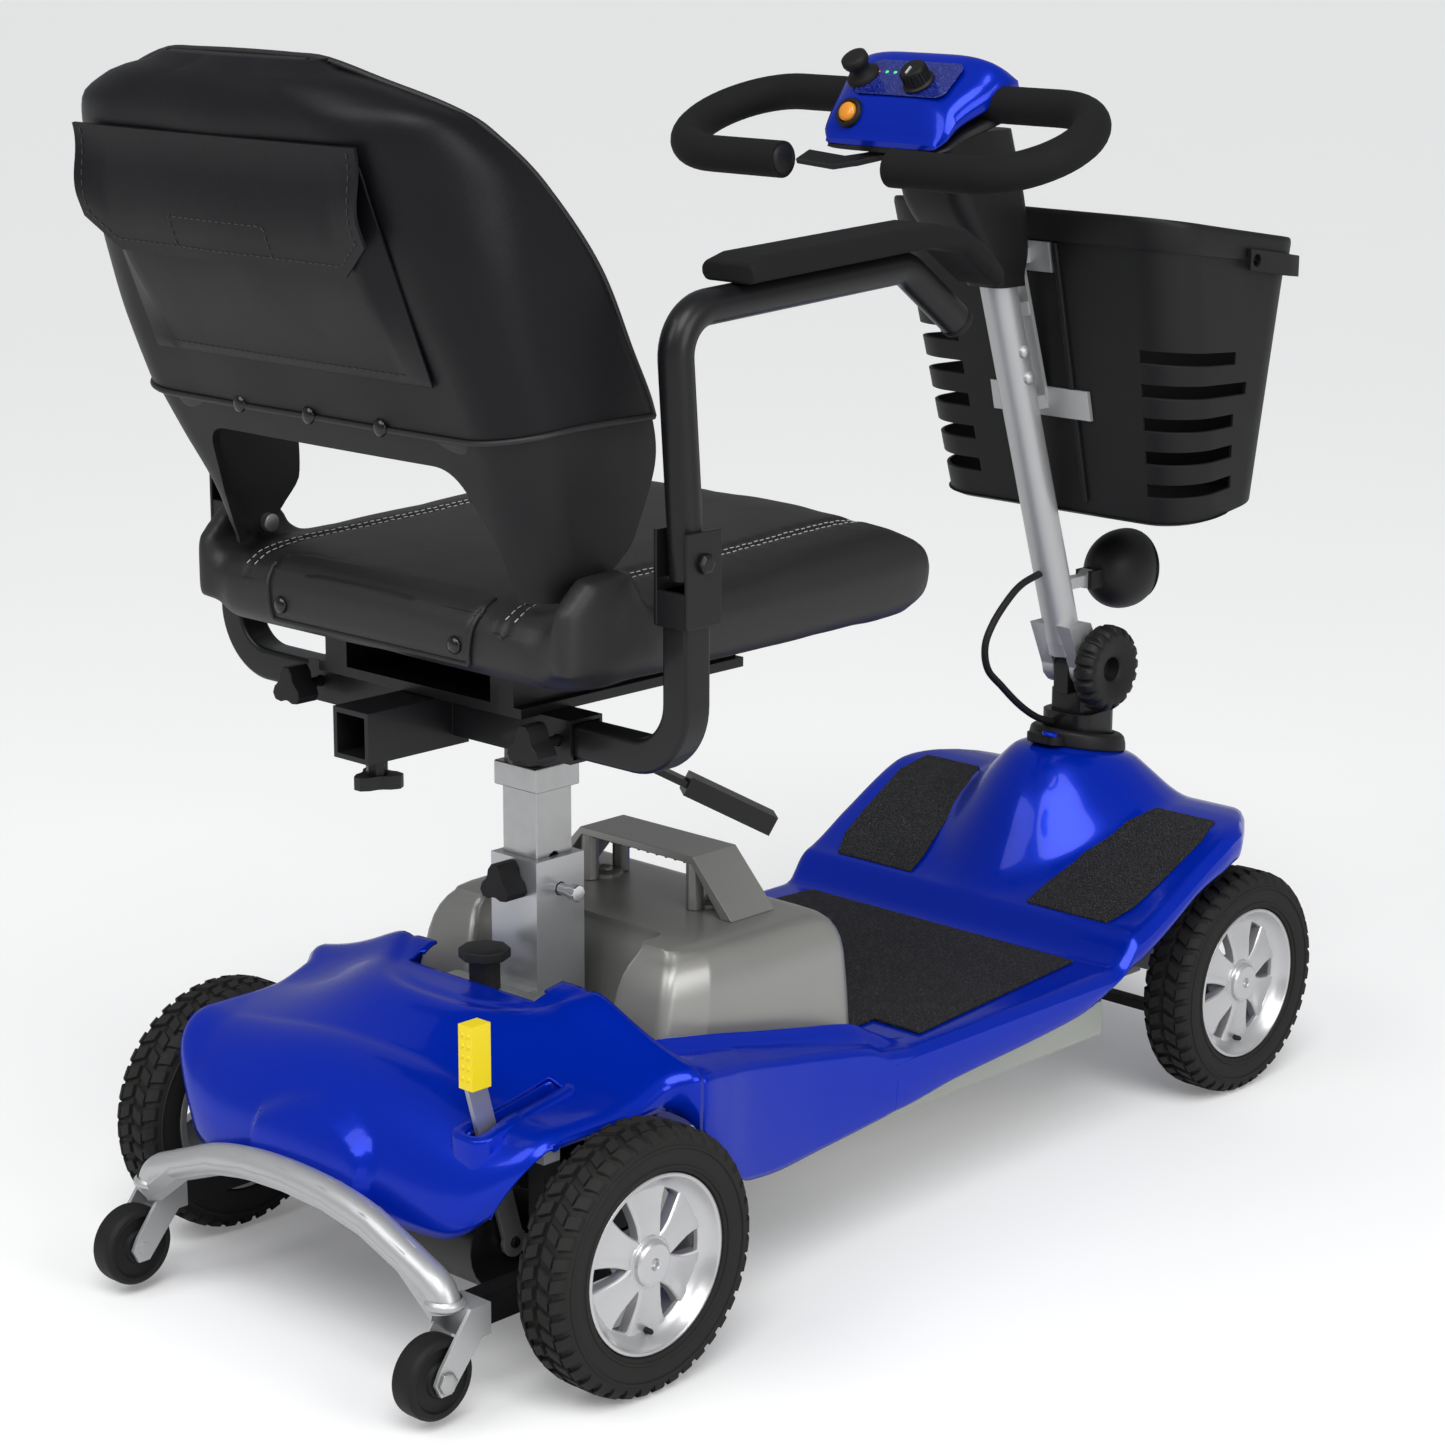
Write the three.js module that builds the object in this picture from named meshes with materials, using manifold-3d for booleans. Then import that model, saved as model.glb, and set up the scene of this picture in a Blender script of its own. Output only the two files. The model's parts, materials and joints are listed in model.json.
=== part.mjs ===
// A four-wheeled travel mobility scooter, as an assembly of separate pieces.
// Lengths are millimetres. +Z is up, the scooter drives towards -Y and the rider's left is +X.
// Pieces are drawn with y = 0 midway between the axles and z = 0 on the floor.
import * as THREE from 'three';
import { mergeVertices } from 'three/addons/utils/BufferGeometryUtils.js';
import Module from 'manifold-3d';

const wasm = await Module();
wasm.setup();

// Clearances and cutting.
const gap = 0.3;
const runningGap = 0.6;
const overrun = 4;
const bite = 1.5;

// Counts of facets.
const roundSides = 12;
const wheelSides = 24;
const smallSides = 8;

// Wheels.
const wheelBase = 808;
const rearAxleY = wheelBase / 2;
const frontAxleY = -wheelBase / 2;
const wheel = {
  radius: 100,
  width: 48,
  shoulder: 11,
  rearTrack: 454,
  frontTrack: 330,
  rimRadius: 67,
  rimWidth: 42,
  rimDepth: 9,
  rimLip: 4,
  hubRadius: 20,
  hubInner: 12,
  hubOuter: 20,
  boreDepth: 10,
  axleRadius: 8,
  spokeWidth: 13,
  spokeInner: 2,
  spokeOuter: 12,
  spokes: 6,
};
const axleZ = wheel.radius;

// Frame rails, tray and seat socket.
const rail = { x: 165, half: 8, bottom: 61, top: 85, front: 325, rear: 505 };
const innerRail = { x: 120, half: 8, bottom: 88, top: 112, front: 66 };
const crossMember = { half: 18, frontY: 84, stepY: 334, stepHalf: 9, legHalf: 7 };
const tray = { top: 151.7, thickness: 5, half: 154, front: 82, rear: 318 };
const post = { y: 281, outer: 50, inner: 37, socketTop: 328, base: 160, collar: 46, collarZ: 381 };
const seatSpigot = { radius: 16, bottom: 400, top: 430 };
const lockPlate = { half: 24, length: 72, bottom: 225, top: 228.3 };
const plunger = { y: 337, stem: 6, foot: 205, body: 12, head: 20, headZ: 256, top: 265 };
const pin = { z: 303, radius: 5, reach: 22, out: 20, ring: 7 };
const shroudPost = { y: 434, half: 8 };

// Drive.
const transaxle = { tube: 15, reach: 198, collar: 13, gearRadius: 50, gearFrom: -45, gearTo: 15 };
const motor = { y: 445, radius: 38, from: -140, to: -40 };
const freewheel = { x: -144, thickness: 4, eye: 11, pin: 4, blade: 18, bladeTop: 228, lean: 35 };
const freewheelGrip = { width: 14, depth: 18, height: 46 };

// Anti-tip wheels and their bow.
const caster = { x: 170, y: 548, z: 38, radius: 30.5, width: 22, bolt: 5 };
const bow = { y: 530, radius: 12.5, crown: 134, foot: 80 };
const fork = { plate: 3, play: 1, blockBack: 524 };

// Front frame, steering and head.
const backbone = { x: 62, half: 8, bottom: 85, top: 112, rear: 62 };
const pan = { half: 132, bottom: 75, top: 105, wall: 3, front: -290, rear: 62, corner: 26 };
const deckStrut = { half: 9, frontY: -150, rearY: 30 };
const beam = { bottom: 92, top: 116, half: 12 };
const kingpin = { x: 128, radius: 7, eye: 12, bottom: 80, top: 123, yokeFoot: 91.4, yokeHead: 116.6 };
const stub = { web: 140.6, webEnd: 146, half: 11, boss: 12 };
const steerArm = { length: 50, half: 8, top: 86, pin: 5, pinFoot: 70 };
const trackRod = { bottom: 71, top: 79.4, half: 6, eye: 10 };
const column = {
  y: -391,
  shaft: 13,
  tube: 20,
  tubeTop: 262,
  socket: 52,
  corner: 13,
  socketFoot: 277,
  socketTop: 321,
  neck: 38,
  neckTop: 340,
};

// Tiller.
const tiller = {
  y: -384,
  z: 364,
  barrel: 20,
  tongueHalf: 8,
  earHalf: 22,
  radius: 15.5,
  leanShare: 0.3235,
  offset: 9.8,
  footZ: 378,
  topZ: 800,
  bolt: 5,
};
const clampKnob = { radius: 39, valley: 35.5, lobes: 18, depth: 23 };
const lampMount = { z: 438, y: -398, half: 5, reach: 14, pin: 4, eye: 9 };
const lamp = { y: -449, z: 440, halfWidth: 31, halfHeight: 37, halfLength: 42, lens: 30 };

// Floor shell.
const floor = {
  halfWidth: 190,
  flare: 215,
  deck: 158,
  wall: 3,
  stepBack: -205,
  stepFront: -231,
  stepRise: 26,
  rampBack: -239,
  rampShare: 0.5,
  crestY: -347,
  crownY: -400,
  crown: 250,
  nose: -512.5,
  noseZ: 170,
  edgeDrop: 8,
  edgeWidth: 14,
  rear: 322,
  railFront: 80,
  railInner: 163,
  railFoot: 154,
};
const dome = { side: 86, back: 129, front: 85, bore: 45, collar: 43, collarZ: 287, leanShare: 0.182 };
const bezel = { inner: 33, outer: 43, height: 13 };
const mat = { thickness: 2.5, front: -200, frontHalf: 148, rear: 29, rearHalf: 172, inset: 124, tail: 70 };

// Rear shroud.
const shroud = {
  halfWidth: 201,
  flat: 203,
  wall: 3,
  front: 322.6,
  ridgeY: 333,
  ridge: 256,
  ringZ: 238,
  lip: 15,
  tailStart: 445,
  tail: 516,
  tailZ: 116,
  tailSideZ: 186,
  sidePull: 21,
  domeY: 290,
  domeOuterX: 140,
  domeOuterY: 150,
  domeInnerX: 98,
  domeInnerY: 110,
  notchHalf: 70,
  notchBack: 352,
  slotBack: 512,
  slotFront: 402,
};

// Battery pack.
const battery = {
  bottom: 152,
  top: 269,
  half: 154,
  rearHalf: 138,
  front: 78,
  rear: 300,
  rearLean: 30,
  notchHalf: 75,
  notchFront: 242,
  taper: 11,
  round: 22,
};
const carry = { foot: 104, flat: 62, top: 313, thickness: 6, front: 126, rear: 175, postX: 58, post: 7 };

// Seat.
const swivel = { radius: 25, top: 473 };
const receiver = { y: 367, z: 457, size: 32, bore: 26.2, half: 142 };
const rearReceiver = { z: 452, size: 38, bore: 30, end: 464, knob: 20, knobZ: 410, knobY: 440 };
const seatPlate = { half: 110, front: 170, rear: 400, top: 479 };
const seatRail = { x: 90, half: 12, top: 504.7 };
const seatLever = { x: -95, y: 318, z: 440, eye: 8, width: 16, thickness: 5, arm: 75, grip: 70, gripWidth: 22 };
const cushion = {
  half: 207,
  front: 40,
  rear: 452,
  bottom: 505,
  frontTop: 578,
  rearTop: 562,
  crown: 8,
  seamX: 140,
  seamDepth: 3,
  seamHalf: 7,
};
const ear = { inner: 187, outer: 207, front: 356, rear: 450, top: 592, bottom: 520 };
const hinge = { y: 395, z: 575, pin: 7, reach: 14 };
const back = {
  wall: 8,
  half: 207,
  windowHalf: 140,
  windowLow: 593,
  windowHigh: 658,
  windowCorner: 24,
};
const backPad = { depth: 52, channelX: 105, channel: 4, channelHalf: 8 };
const pocket = { half: 146, depth: 14 };

// Armrests.
const arm = { x: 240, tube: 25, inner: 62, bend: 42, top: 580 };
const armPivot = { y: 366, z: 600, bolt: 5, plate: 3.5, halfDepth: 17, top: 622 };
const armUpper = { radius: 12.5, foot: 588, back: 386, level: 769, front: 84, droop: 736, bend: 62 };
const armPad = { half: 25, rear: 328, front: 60 };
const armKnob = { x: 128.6, shaft: 4, shaftLength: 14, radius: 17, depth: 20 };

// Console, in a frame tilted like the steering plane.
const stand = { y: -165, z: 871, tilt: 22, plateTilt: 17.4 };
const loop = { tube: 15, centreX: 137, radius: 60, end: 58 };
const neck = { halfWidth: 35.5, foot: 712, head: 846 };
const lever = { pivotV: 48, w: -19, thickness: 5, pin: 5, hub: 13 };
const leverStations = [
  { x: 0, near: 38, far: 60, w: -24 },
  { x: 22, near: 60, far: 78, w: -24 },
  { x: 30, near: 78, far: 96, w: -19 },
  { x: 46, near: 100, far: 118, w: -4 },
];
const dial = { x: -20, radius: 11, height: 16, v: 13 };
const key = { x: 42, radius: 14, height: 22, v: 9, blade: 3, bladeDepth: 14 };
const horn = { x: 38, radius: 8, height: 6, travel: 2 };

// Basket.
const basket = {
  rearY: -351,
  footZ: 508,
  leanShare: 0.237,
  rimZ: 775,
  frontFootY: -468,
  frontRimY: -485,
  frontRimZ: 744,
  frontFootZ: 524,
  footHalf: 142,
  rimHalf: 159,
  wall: 3,
  corner: 42,
};
const carryBand = { x: 162, y: -402, z: 735, thickness: 3.4, height: 18, front: -492, pin: 5, corner: 40 };

// Backrest outline by height: rear face, front edge of the side wing, half width and the rounding of its
// rear corners, across and along.
const backLevels = [
  { z: 568, rear: 446, front: 386.5, half: 179, cornerX: 45, cornerY: 45 },
  { z: 584, rear: 451, front: 370.5, half: 181, cornerX: 45, cornerY: 45 },
  { z: 606, rear: 458, front: 352, half: 184, cornerX: 45, cornerY: 45 },
  { z: 657, rear: 481, front: 352, half: 197, cornerX: 45, cornerY: 45 },
  { z: 695, rear: 498, front: 363, half: 205, cornerX: 46, cornerY: 46 },
  { z: 740, rear: 517, front: 386, half: 207, cornerX: 48, cornerY: 48 },
  { z: 792, rear: 538, front: 412, half: 207, cornerX: 60, cornerY: 60 },
  { z: 857, rear: 565, front: 462, half: 202, cornerX: 82, cornerY: 78 },
  { z: 900, rear: 578, front: 506, half: 184, cornerX: 90, cornerY: 58 },
  { z: 920, rear: 575, front: 532, half: 138, cornerX: 86, cornerY: 34 },
  { z: 934, rear: 560, front: 541, half: 84, cornerX: 60, cornerY: 13 },
];

// Heights through the backrest cushion, with the share of its depth there.
const padLevels = [
  { z: 668, end: 0.6 },
  { z: 680, end: 0.9 },
  { z: 695, end: 1 },
  { z: 740, end: 1 },
  { z: 792, end: 1 },
  { z: 857, end: 1 },
  { z: 900, end: 0.85 },
  { z: 920, end: 0.5 },
];

// Heights through the rear pocket, with the share of its bulge there.
const pocketLevels = [
  { z: 724, bulge: 0.35 },
  { z: 740, bulge: 0.8 },
  { z: 792, bulge: 1 },
  { z: 857, bulge: 0.7 },
  { z: 868, bulge: 0.35 },
];

// Everything is set so that the whole scooter is centred on its own length.
const rearMost = Math.max(caster.y + caster.radius, ...backLevels.map(({ rear }) => rear));
const middle = (rearMost + floor.nose) / 2;

/** Keeps positions only, welds shared points and drops triangles without area. */
function weld(geometry) {
  const bare = geometry.clone();
  for (const name of Object.keys(bare.attributes)) {
    if (name !== 'position') {
      bare.deleteAttribute(name);
    }
  }
  const merged = mergeVertices(bare, gap / 1000);
  const index = merged.index.array;
  const kept = [];
  for (let i = 0; i < index.length; i += 3) {
    const [a, b, c] = [index[i], index[i + 1], index[i + 2]];
    if (a !== b && b !== c && a !== c) {
      kept.push(a, b, c);
    }
  }
  merged.setIndex(kept);
  return merged;
}

/** Turns the faces round if they point inwards. */
function outward(geometry) {
  const welded = weld(geometry);
  const at = welded.attributes.position;
  const index = welded.index.array;
  const [a, b, c] = [new THREE.Vector3(), new THREE.Vector3(), new THREE.Vector3()];
  let volume = 0;
  for (let i = 0; i < index.length; i += 3) {
    a.fromBufferAttribute(at, index[i]);
    b.fromBufferAttribute(at, index[i + 1]);
    c.fromBufferAttribute(at, index[i + 2]);
    volume += a.dot(b.cross(c));
  }
  if (volume < 0) {
    for (let i = 0; i < index.length; i += 3) {
      [index[i + 1], index[i + 2]] = [index[i + 2], index[i + 1]];
    }
  }
  return welded;
}

function toSolid(geometry) {
  const ready = outward(geometry);
  return new wasm.Manifold(
    new wasm.Mesh({
      numProp: 3,
      vertProperties: new Float32Array(ready.attributes.position.array),
      triVerts: new Uint32Array(ready.index.array),
    }),
  );
}

function toGeometry(solid) {
  const mesh = solid.getMesh();
  const geometry = new THREE.BufferGeometry();
  geometry.setAttribute('position', new THREE.BufferAttribute(new Float32Array(mesh.vertProperties), mesh.numProp));
  geometry.setIndex(Array.from(mesh.triVerts));
  return geometry;
}

/** Joins overlapping shapes into one body. */
function join(...shapes) {
  return toGeometry(shapes.map(toSolid).reduce((whole, next) => whole.add(next)));
}

/** Takes the tools away from a shape. */
function cut(shape, ...tools) {
  return toGeometry(tools.map(toSolid).reduce((whole, next) => whole.subtract(next), toSolid(shape)));
}

function mirrored(shape) {
  return outward(shape.clone().applyMatrix4(new THREE.Matrix4().makeScale(-1, 1, 1)));
}

function moved(shape, x, y, z) {
  return shape.clone().translate(x, y, z);
}

function box(x0, x1, y0, y1, z0, z1) {
  const shape = new THREE.BoxGeometry(Math.abs(x1 - x0), Math.abs(y1 - y0), Math.abs(z1 - z0));
  return shape.translate((x0 + x1) / 2, (y0 + y1) / 2, (z0 + z1) / 2);
}

// Where the first, second and third direction of a flat drawing point, for each axis it is pushed along.
const drawingAxes = {
  x: [new THREE.Vector3(0, 1, 0), new THREE.Vector3(0, 0, 1), new THREE.Vector3(1, 0, 0)],
  y: [new THREE.Vector3(1, 0, 0), new THREE.Vector3(0, 0, 1), new THREE.Vector3(0, 1, 0)],
  z: [new THREE.Vector3(1, 0, 0), new THREE.Vector3(0, 1, 0), new THREE.Vector3(0, 0, 1)],
};

/** A flat outline pushed along an axis from one value to another. */
function plate(outline, axis, from, to, holes = []) {
  const shape = new THREE.Shape(outline.map(([u, v]) => new THREE.Vector2(u, v)));
  for (const hole of holes) {
    shape.holes.push(new THREE.Path(hole.map(([u, v]) => new THREE.Vector2(u, v))));
  }
  const solid = new THREE.ExtrudeGeometry(shape, { depth: to - from, bevelEnabled: false, steps: 1 });
  solid.translate(0, 0, from);
  return outward(solid.applyMatrix4(new THREE.Matrix4().makeBasis(...drawingAxes[axis])));
}

/** A profile of [radius, height] points turned round an axis through the given point. */
function turned(profile, axis, [x, y, z], sides = roundSides) {
  const points = profile.map(([r, h]) => new THREE.Vector2(r, h));
  const shape = new THREE.LatheGeometry(points, sides);
  const [u, v, along] = drawingAxes[axis];
  shape.applyMatrix4(new THREE.Matrix4().makeBasis(u, along, v));
  return outward(shape.translate(x, y, z));
}

/** A round bar along an axis between two values, at the two other coordinates. */
function rod(axis, radius, from, to, [u, v], sides = roundSides) {
  const at = { x: [0, u, v], y: [u, 0, v], z: [u, v, 0] }[axis];
  return turned([[0, from], [radius, from], [radius, to], [0, to]], axis, at, sides);
}

/** A cutter for a round hole in which a bar of the given radius turns freely. */
function hole(axis, radius, from, to, at, sides = roundSides) {
  return rod(axis, (radius + gap) / Math.cos(Math.PI / sides), from, to, at, sides);
}

function ring(axis, inner, outer, from, to, at, sides = roundSides) {
  return turned([[inner, from], [outer, from], [outer, to], [inner, to], [inner, from]], axis, at, sides);
}

/** A curve through chosen points, whose sections stand at those points and nowhere else. */
class Route extends THREE.Curve {
  constructor(points) {
    super();
    this.points = points;
  }

  getPoint(t, target = new THREE.Vector3()) {
    const last = this.points.length - 1;
    const step = Math.min(Math.floor(t * last), last - 1);
    return target.lerpVectors(this.points[step], this.points[step + 1], t * last - step);
  }

  getPointAt(u, target) {
    return this.getPoint(u, target);
  }

  getTangentAt(u, target = new THREE.Vector3()) {
    const last = this.points.length - 1;
    const here = Math.round(u * last);
    const before = this.points[Math.max(here - 1, 0)];
    const after = this.points[Math.min(here + 1, last)];
    return target.subVectors(after, before).normalize();
  }
}

/** The corners of a path, each rounded by an arc of the given radius. */
function rounded(corners, radius, steps = 4) {
  const places = corners.map(([x, y, z]) => new THREE.Vector3(x, y, z));
  const path = [places[0]];
  for (let i = 1; i < places.length - 1; i += 1) {
    const behind = places[i - 1].clone().sub(places[i]).normalize();
    const ahead = places[i + 1].clone().sub(places[i]).normalize();
    const half = behind.angleTo(ahead) / 2;
    const centre = places[i].clone().addScaledVector(behind.clone().add(ahead).normalize(), radius / Math.sin(half));
    const start = places[i].clone().addScaledVector(behind, radius / Math.tan(half)).sub(centre);
    const axis = behind.clone().cross(start).normalize();
    for (let k = 0; k <= steps; k += 1) {
      const turn = (k / steps) * (Math.PI - 2 * half);
      path.push(start.clone().applyAxisAngle(axis, turn).add(centre));
    }
  }
  path.push(places[places.length - 1]);
  return path;
}

function sweep(section, path) {
  const shape = new THREE.Shape(section);
  const route = new Route(path);
  return outward(new THREE.ExtrudeGeometry(shape, { steps: path.length - 1, extrudePath: route }));
}

function circle(radius, sides) {
  const turn = (2 * Math.PI) / sides;
  return Array.from({ length: sides }, (_, i) => new THREE.Vector2(radius, 0).rotateAround(new THREE.Vector2(), i * turn));
}

function tube(path, radius, sides = smallSides) {
  return sweep(circle(radius, sides), path);
}

function bar(path, width, height) {
  const [a, b] = [width / 2, height / 2];
  return sweep([[-a, -b], [a, -b], [a, b], [-a, b]].map(([u, v]) => new THREE.Vector2(u, v)), path);
}

function places(corners) {
  return corners.map(([x, y, z]) => new THREE.Vector3(x, y, z));
}

function fromFaces(points, faces) {
  const geometry = new THREE.BufferGeometry();
  geometry.setAttribute('position', new THREE.Float32BufferAttribute(points.flat(), 3));
  geometry.setIndex(faces.flat());
  return outward(geometry);
}

/** A closed body through rings with equally many points, with a flat lid on each end. */
function loft(rings) {
  const count = rings[0].length;
  const faces = [];
  for (let i = 0; i < rings.length - 1; i += 1) {
    for (let k = 0; k < count; k += 1) {
      const [a, b] = [i * count + k, i * count + ((k + 1) % count)];
      faces.push([a, b, b + count], [a, b + count, a + count]);
    }
  }
  const lids = [0, rings.length - 1];
  for (const lid of lids) {
    const drawn = flatten(rings[lid]);
    for (const [a, b, c] of THREE.ShapeUtils.triangulateShape(drawn, [])) {
      const start = lid * count;
      faces.push(lid === 0 ? [start + c, start + b, start + a] : [start + a, start + b, start + c]);
    }
  }
  return fromFaces(rings.flat(), faces);
}

/** A ring seen square to its own plane, turning the same way as the ring does. */
function flatten(ringPoints) {
  const at = places(ringPoints);
  const normal = new THREE.Vector3();
  at.forEach((point, i) => normal.add(point.clone().cross(at[(i + 1) % at.length])));
  normal.normalize();
  const aside = Math.abs(normal.x) > 0.9 ? new THREE.Vector3(0, 1, 0) : new THREE.Vector3(1, 0, 0);
  const u = aside.clone().addScaledVector(normal, -aside.dot(normal)).normalize();
  const v = normal.clone().cross(u);
  return at.map((point) => new THREE.Vector2(point.dot(u), point.dot(v)));
}

/** A thick sheet between two grids of points. A closed grid runs all the way round in each row. */
function sheet(outer, inner, closed = false) {
  const [rows, columns] = [outer.length, outer[0].length];
  const below = rows * columns;
  const faces = [];
  const quad = (a, b, c, d) => faces.push([a, b, c], [a, c, d]);
  const spans = closed ? columns : columns - 1;
  for (let i = 0; i < rows - 1; i += 1) {
    for (let j = 0; j < spans; j += 1) {
      const [a, b] = [i * columns + j, i * columns + ((j + 1) % columns)];
      quad(a, b, b + columns, a + columns);
      quad(a + below, a + columns + below, b + columns + below, b + below);
    }
  }
  for (let j = 0; j < spans; j += 1) {
    const next = (j + 1) % columns;
    const last = (rows - 1) * columns;
    quad(next, j, j + below, next + below);
    quad(last + j, last + next, last + next + below, last + j + below);
  }
  for (let i = 0; i < rows - 1 && !closed; i += 1) {
    const [a, b] = [i * columns, (i + 1) * columns];
    quad(a, b, b + below, a + below);
    quad(b + columns - 1, a + columns - 1, a + columns - 1 + below, b + columns - 1 + below);
  }
  return fromFaces([...outer.flat(), ...inner.flat()], faces);
}

/** A value read off a list of [place, value] pairs, on straight lines between them. */
function along(table, place) {
  const rising = table[0][0] < table[table.length - 1][0];
  const list = rising ? table : [...table].reverse();
  if (place <= list[0][0]) {
    return list[0][1];
  }
  for (let i = 1; i < list.length; i += 1) {
    const [[a, u], [b, v]] = [list[i - 1], list[i]];
    if (place <= b) {
      return u + ((v - u) * (place - a)) / (b - a);
    }
  }
  return list[list.length - 1][1];
}

const scooter = new THREE.Group();
const body = new THREE.Group();
body.position.y = -middle;
scooter.add(body);

const paint = {
  blue: { color: 0x1230c8, roughness: 0.25, metalness: 0.3 },
  silver: { color: 0xb8b9ba, roughness: 0.35, metalness: 0.8 },
  satin: { color: 0xa9a8a4, roughness: 0.45, metalness: 0.3 },
  steel: { color: 0x151515, roughness: 0.4, metalness: 0.6 },
  cream: { color: 0xb9bbb4, roughness: 0.5, metalness: 0.3 },
  plastic: { color: 0x1b1b1c, roughness: 0.6, metalness: 0 },
  rubber: { color: 0x151515, roughness: 0.9, metalness: 0 },
  grit: { color: 0x101010, roughness: 0.95, metalness: 0 },
  vinyl: { color: 0x131315, roughness: 0.5, metalness: 0 },
  foam: { color: 0x1d1d1e, roughness: 0.8, metalness: 0 },
  yellow: { color: 0xf2dc00, roughness: 0.5, metalness: 0 },
  orange: { color: 0xf09a12, roughness: 0.4, metalness: 0 },
};

function add(name, geometry, finish) {
  const mesh = new THREE.Mesh(geometry, new THREE.MeshStandardMaterial(paint[finish]));
  mesh.name = name;
  body.add(mesh);
}

const sides = [['left', 1], ['right', -1]];

/** A shape drawn on the rider's left, for either side. */
function onSide(shape, sign) {
  return sign > 0 ? shape : mirrored(shape);
}

// Wheels: a tyre on a spoked rim, drawn with the axle along X and the outer face towards +X.
function makeTyre() {
  const half = wheel.width / 2;
  const inner = wheel.rimRadius + gap;
  const shoulder = wheel.radius - wheel.shoulder;
  const lip = wheel.rimWidth / 2;
  const profile = [
    [inner, -lip],
    [inner + wheel.rimLip, -half],
    [shoulder, -half],
    [wheel.radius - wheel.rimLip, wheel.shoulder - half],
    [wheel.radius, 0],
    [wheel.radius - wheel.rimLip, half - wheel.shoulder],
    [shoulder, half],
    [inner + wheel.rimLip, half],
    [inner, lip],
    [inner, -lip],
  ];
  return turned(profile, 'x', [0, 0, 0], wheelSides);
}

function makeRim() {
  const half = wheel.rimWidth / 2;
  const well = wheel.rimRadius - wheel.rimDepth;
  const barrel = turned(
    [
      [wheel.rimRadius, -half],
      [wheel.rimRadius, half],
      [wheel.rimRadius - wheel.rimLip, half],
      [well, wheel.spokeOuter],
      [well, -half],
      [wheel.rimRadius, -half],
    ],
    'x',
    [0, 0, 0],
    wheelSides,
  );
  const hub = rod('x', wheel.hubRadius, -wheel.hubInner, wheel.hubOuter, [0, 0]);
  const spokes = [];
  for (let i = 0; i < wheel.spokes; i += 1) {
    const spoke = box(
      wheel.spokeInner,
      wheel.spokeOuter,
      -wheel.spokeWidth / 2,
      wheel.spokeWidth / 2,
      wheel.axleRadius,
      well + bite,
    );
    spokes.push(spoke.rotateX((i / wheel.spokes) * 2 * Math.PI));
  }
  const bore = hole('x', wheel.axleRadius, -wheel.hubInner - overrun, wheel.boreDepth, [0, 0]);
  return cut(join(barrel, hub, ...spokes), bore);
}

function addWheels() {
  const ends = [['front', frontAxleY, wheel.frontTrack / 2], ['rear', rearAxleY, wheel.rearTrack / 2]];
  for (const [end, y, x] of ends) {
    for (const [side, sign] of sides) {
      add(`tyre_${end}_${side}`, onSide(moved(makeTyre(), x, y, axleZ), sign), 'rubber');
      add(`rim_${end}_${side}`, onSide(moved(makeRim(), x, y, axleZ), sign), 'silver');
    }
  }
}

// Anti-tip wheels on a bow across the back.
function addAntiTip() {
  const inner = caster.bolt + gap;
  const half = caster.width / 2;
  const edge = caster.radius - half / 2;
  const tyre = turned(
    [[inner, -half], [edge, -half], [caster.radius, -half / 2], [caster.radius, half / 2], [edge, half], [inner, half], [inner, -half]],
    'x',
    [caster.x, caster.y, caster.z],
  );
  const bowShares = [[1, 0], [0.78, 0.52], [0.52, 0.82], [0.27, 0.96], [0, 1]];
  const rise = bow.crown - bow.foot;
  const halfBow = bowShares.map(([u, v]) => [u * rail.x, bow.y, bow.foot + v * rise]);
  const otherHalf = halfBow.slice(0, -1).map(([x, y, z]) => [-x, y, z]);
  const path = places([...halfBow, ...otherHalf.reverse()]);
  const pieces = [tube(path, bow.radius)];
  const inside = half + fork.play;
  for (const [, sign] of sides) {
    const block = box(
      caster.x - inside - fork.plate,
      caster.x + inside + fork.plate,
      rail.rear + gap,
      fork.blockBack,
      rail.bottom,
      rail.top,
    );
    pieces.push(onSide(block, sign));
    const eye = caster.bolt * 2;
    const outline = [
      [fork.blockBack - eye, rail.bottom],
      [caster.y - eye / 2, caster.z - eye],
      [caster.y + eye / 2, caster.z - eye],
      [caster.y + eye, caster.z],
      [caster.y + eye / 2, caster.z + eye],
      [fork.blockBack, rail.top],
      [fork.blockBack - eye, rail.top],
    ];
    for (const from of [caster.x - inside - fork.plate, caster.x + inside]) {
      pieces.push(onSide(plate(outline, 'x', from, from + fork.plate), sign));
    }
    const reach = inside + fork.plate + fork.play;
    pieces.push(onSide(rod('x', caster.bolt, caster.x - reach, caster.x + reach, [caster.y, caster.z], smallSides), sign));
  }
  add('anti_tip_bar', join(...pieces), 'silver');
  for (const [side, sign] of sides) {
    add(`anti_tip_wheel_${side}`, onSide(tyre, sign), 'rubber');
  }
}

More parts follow.
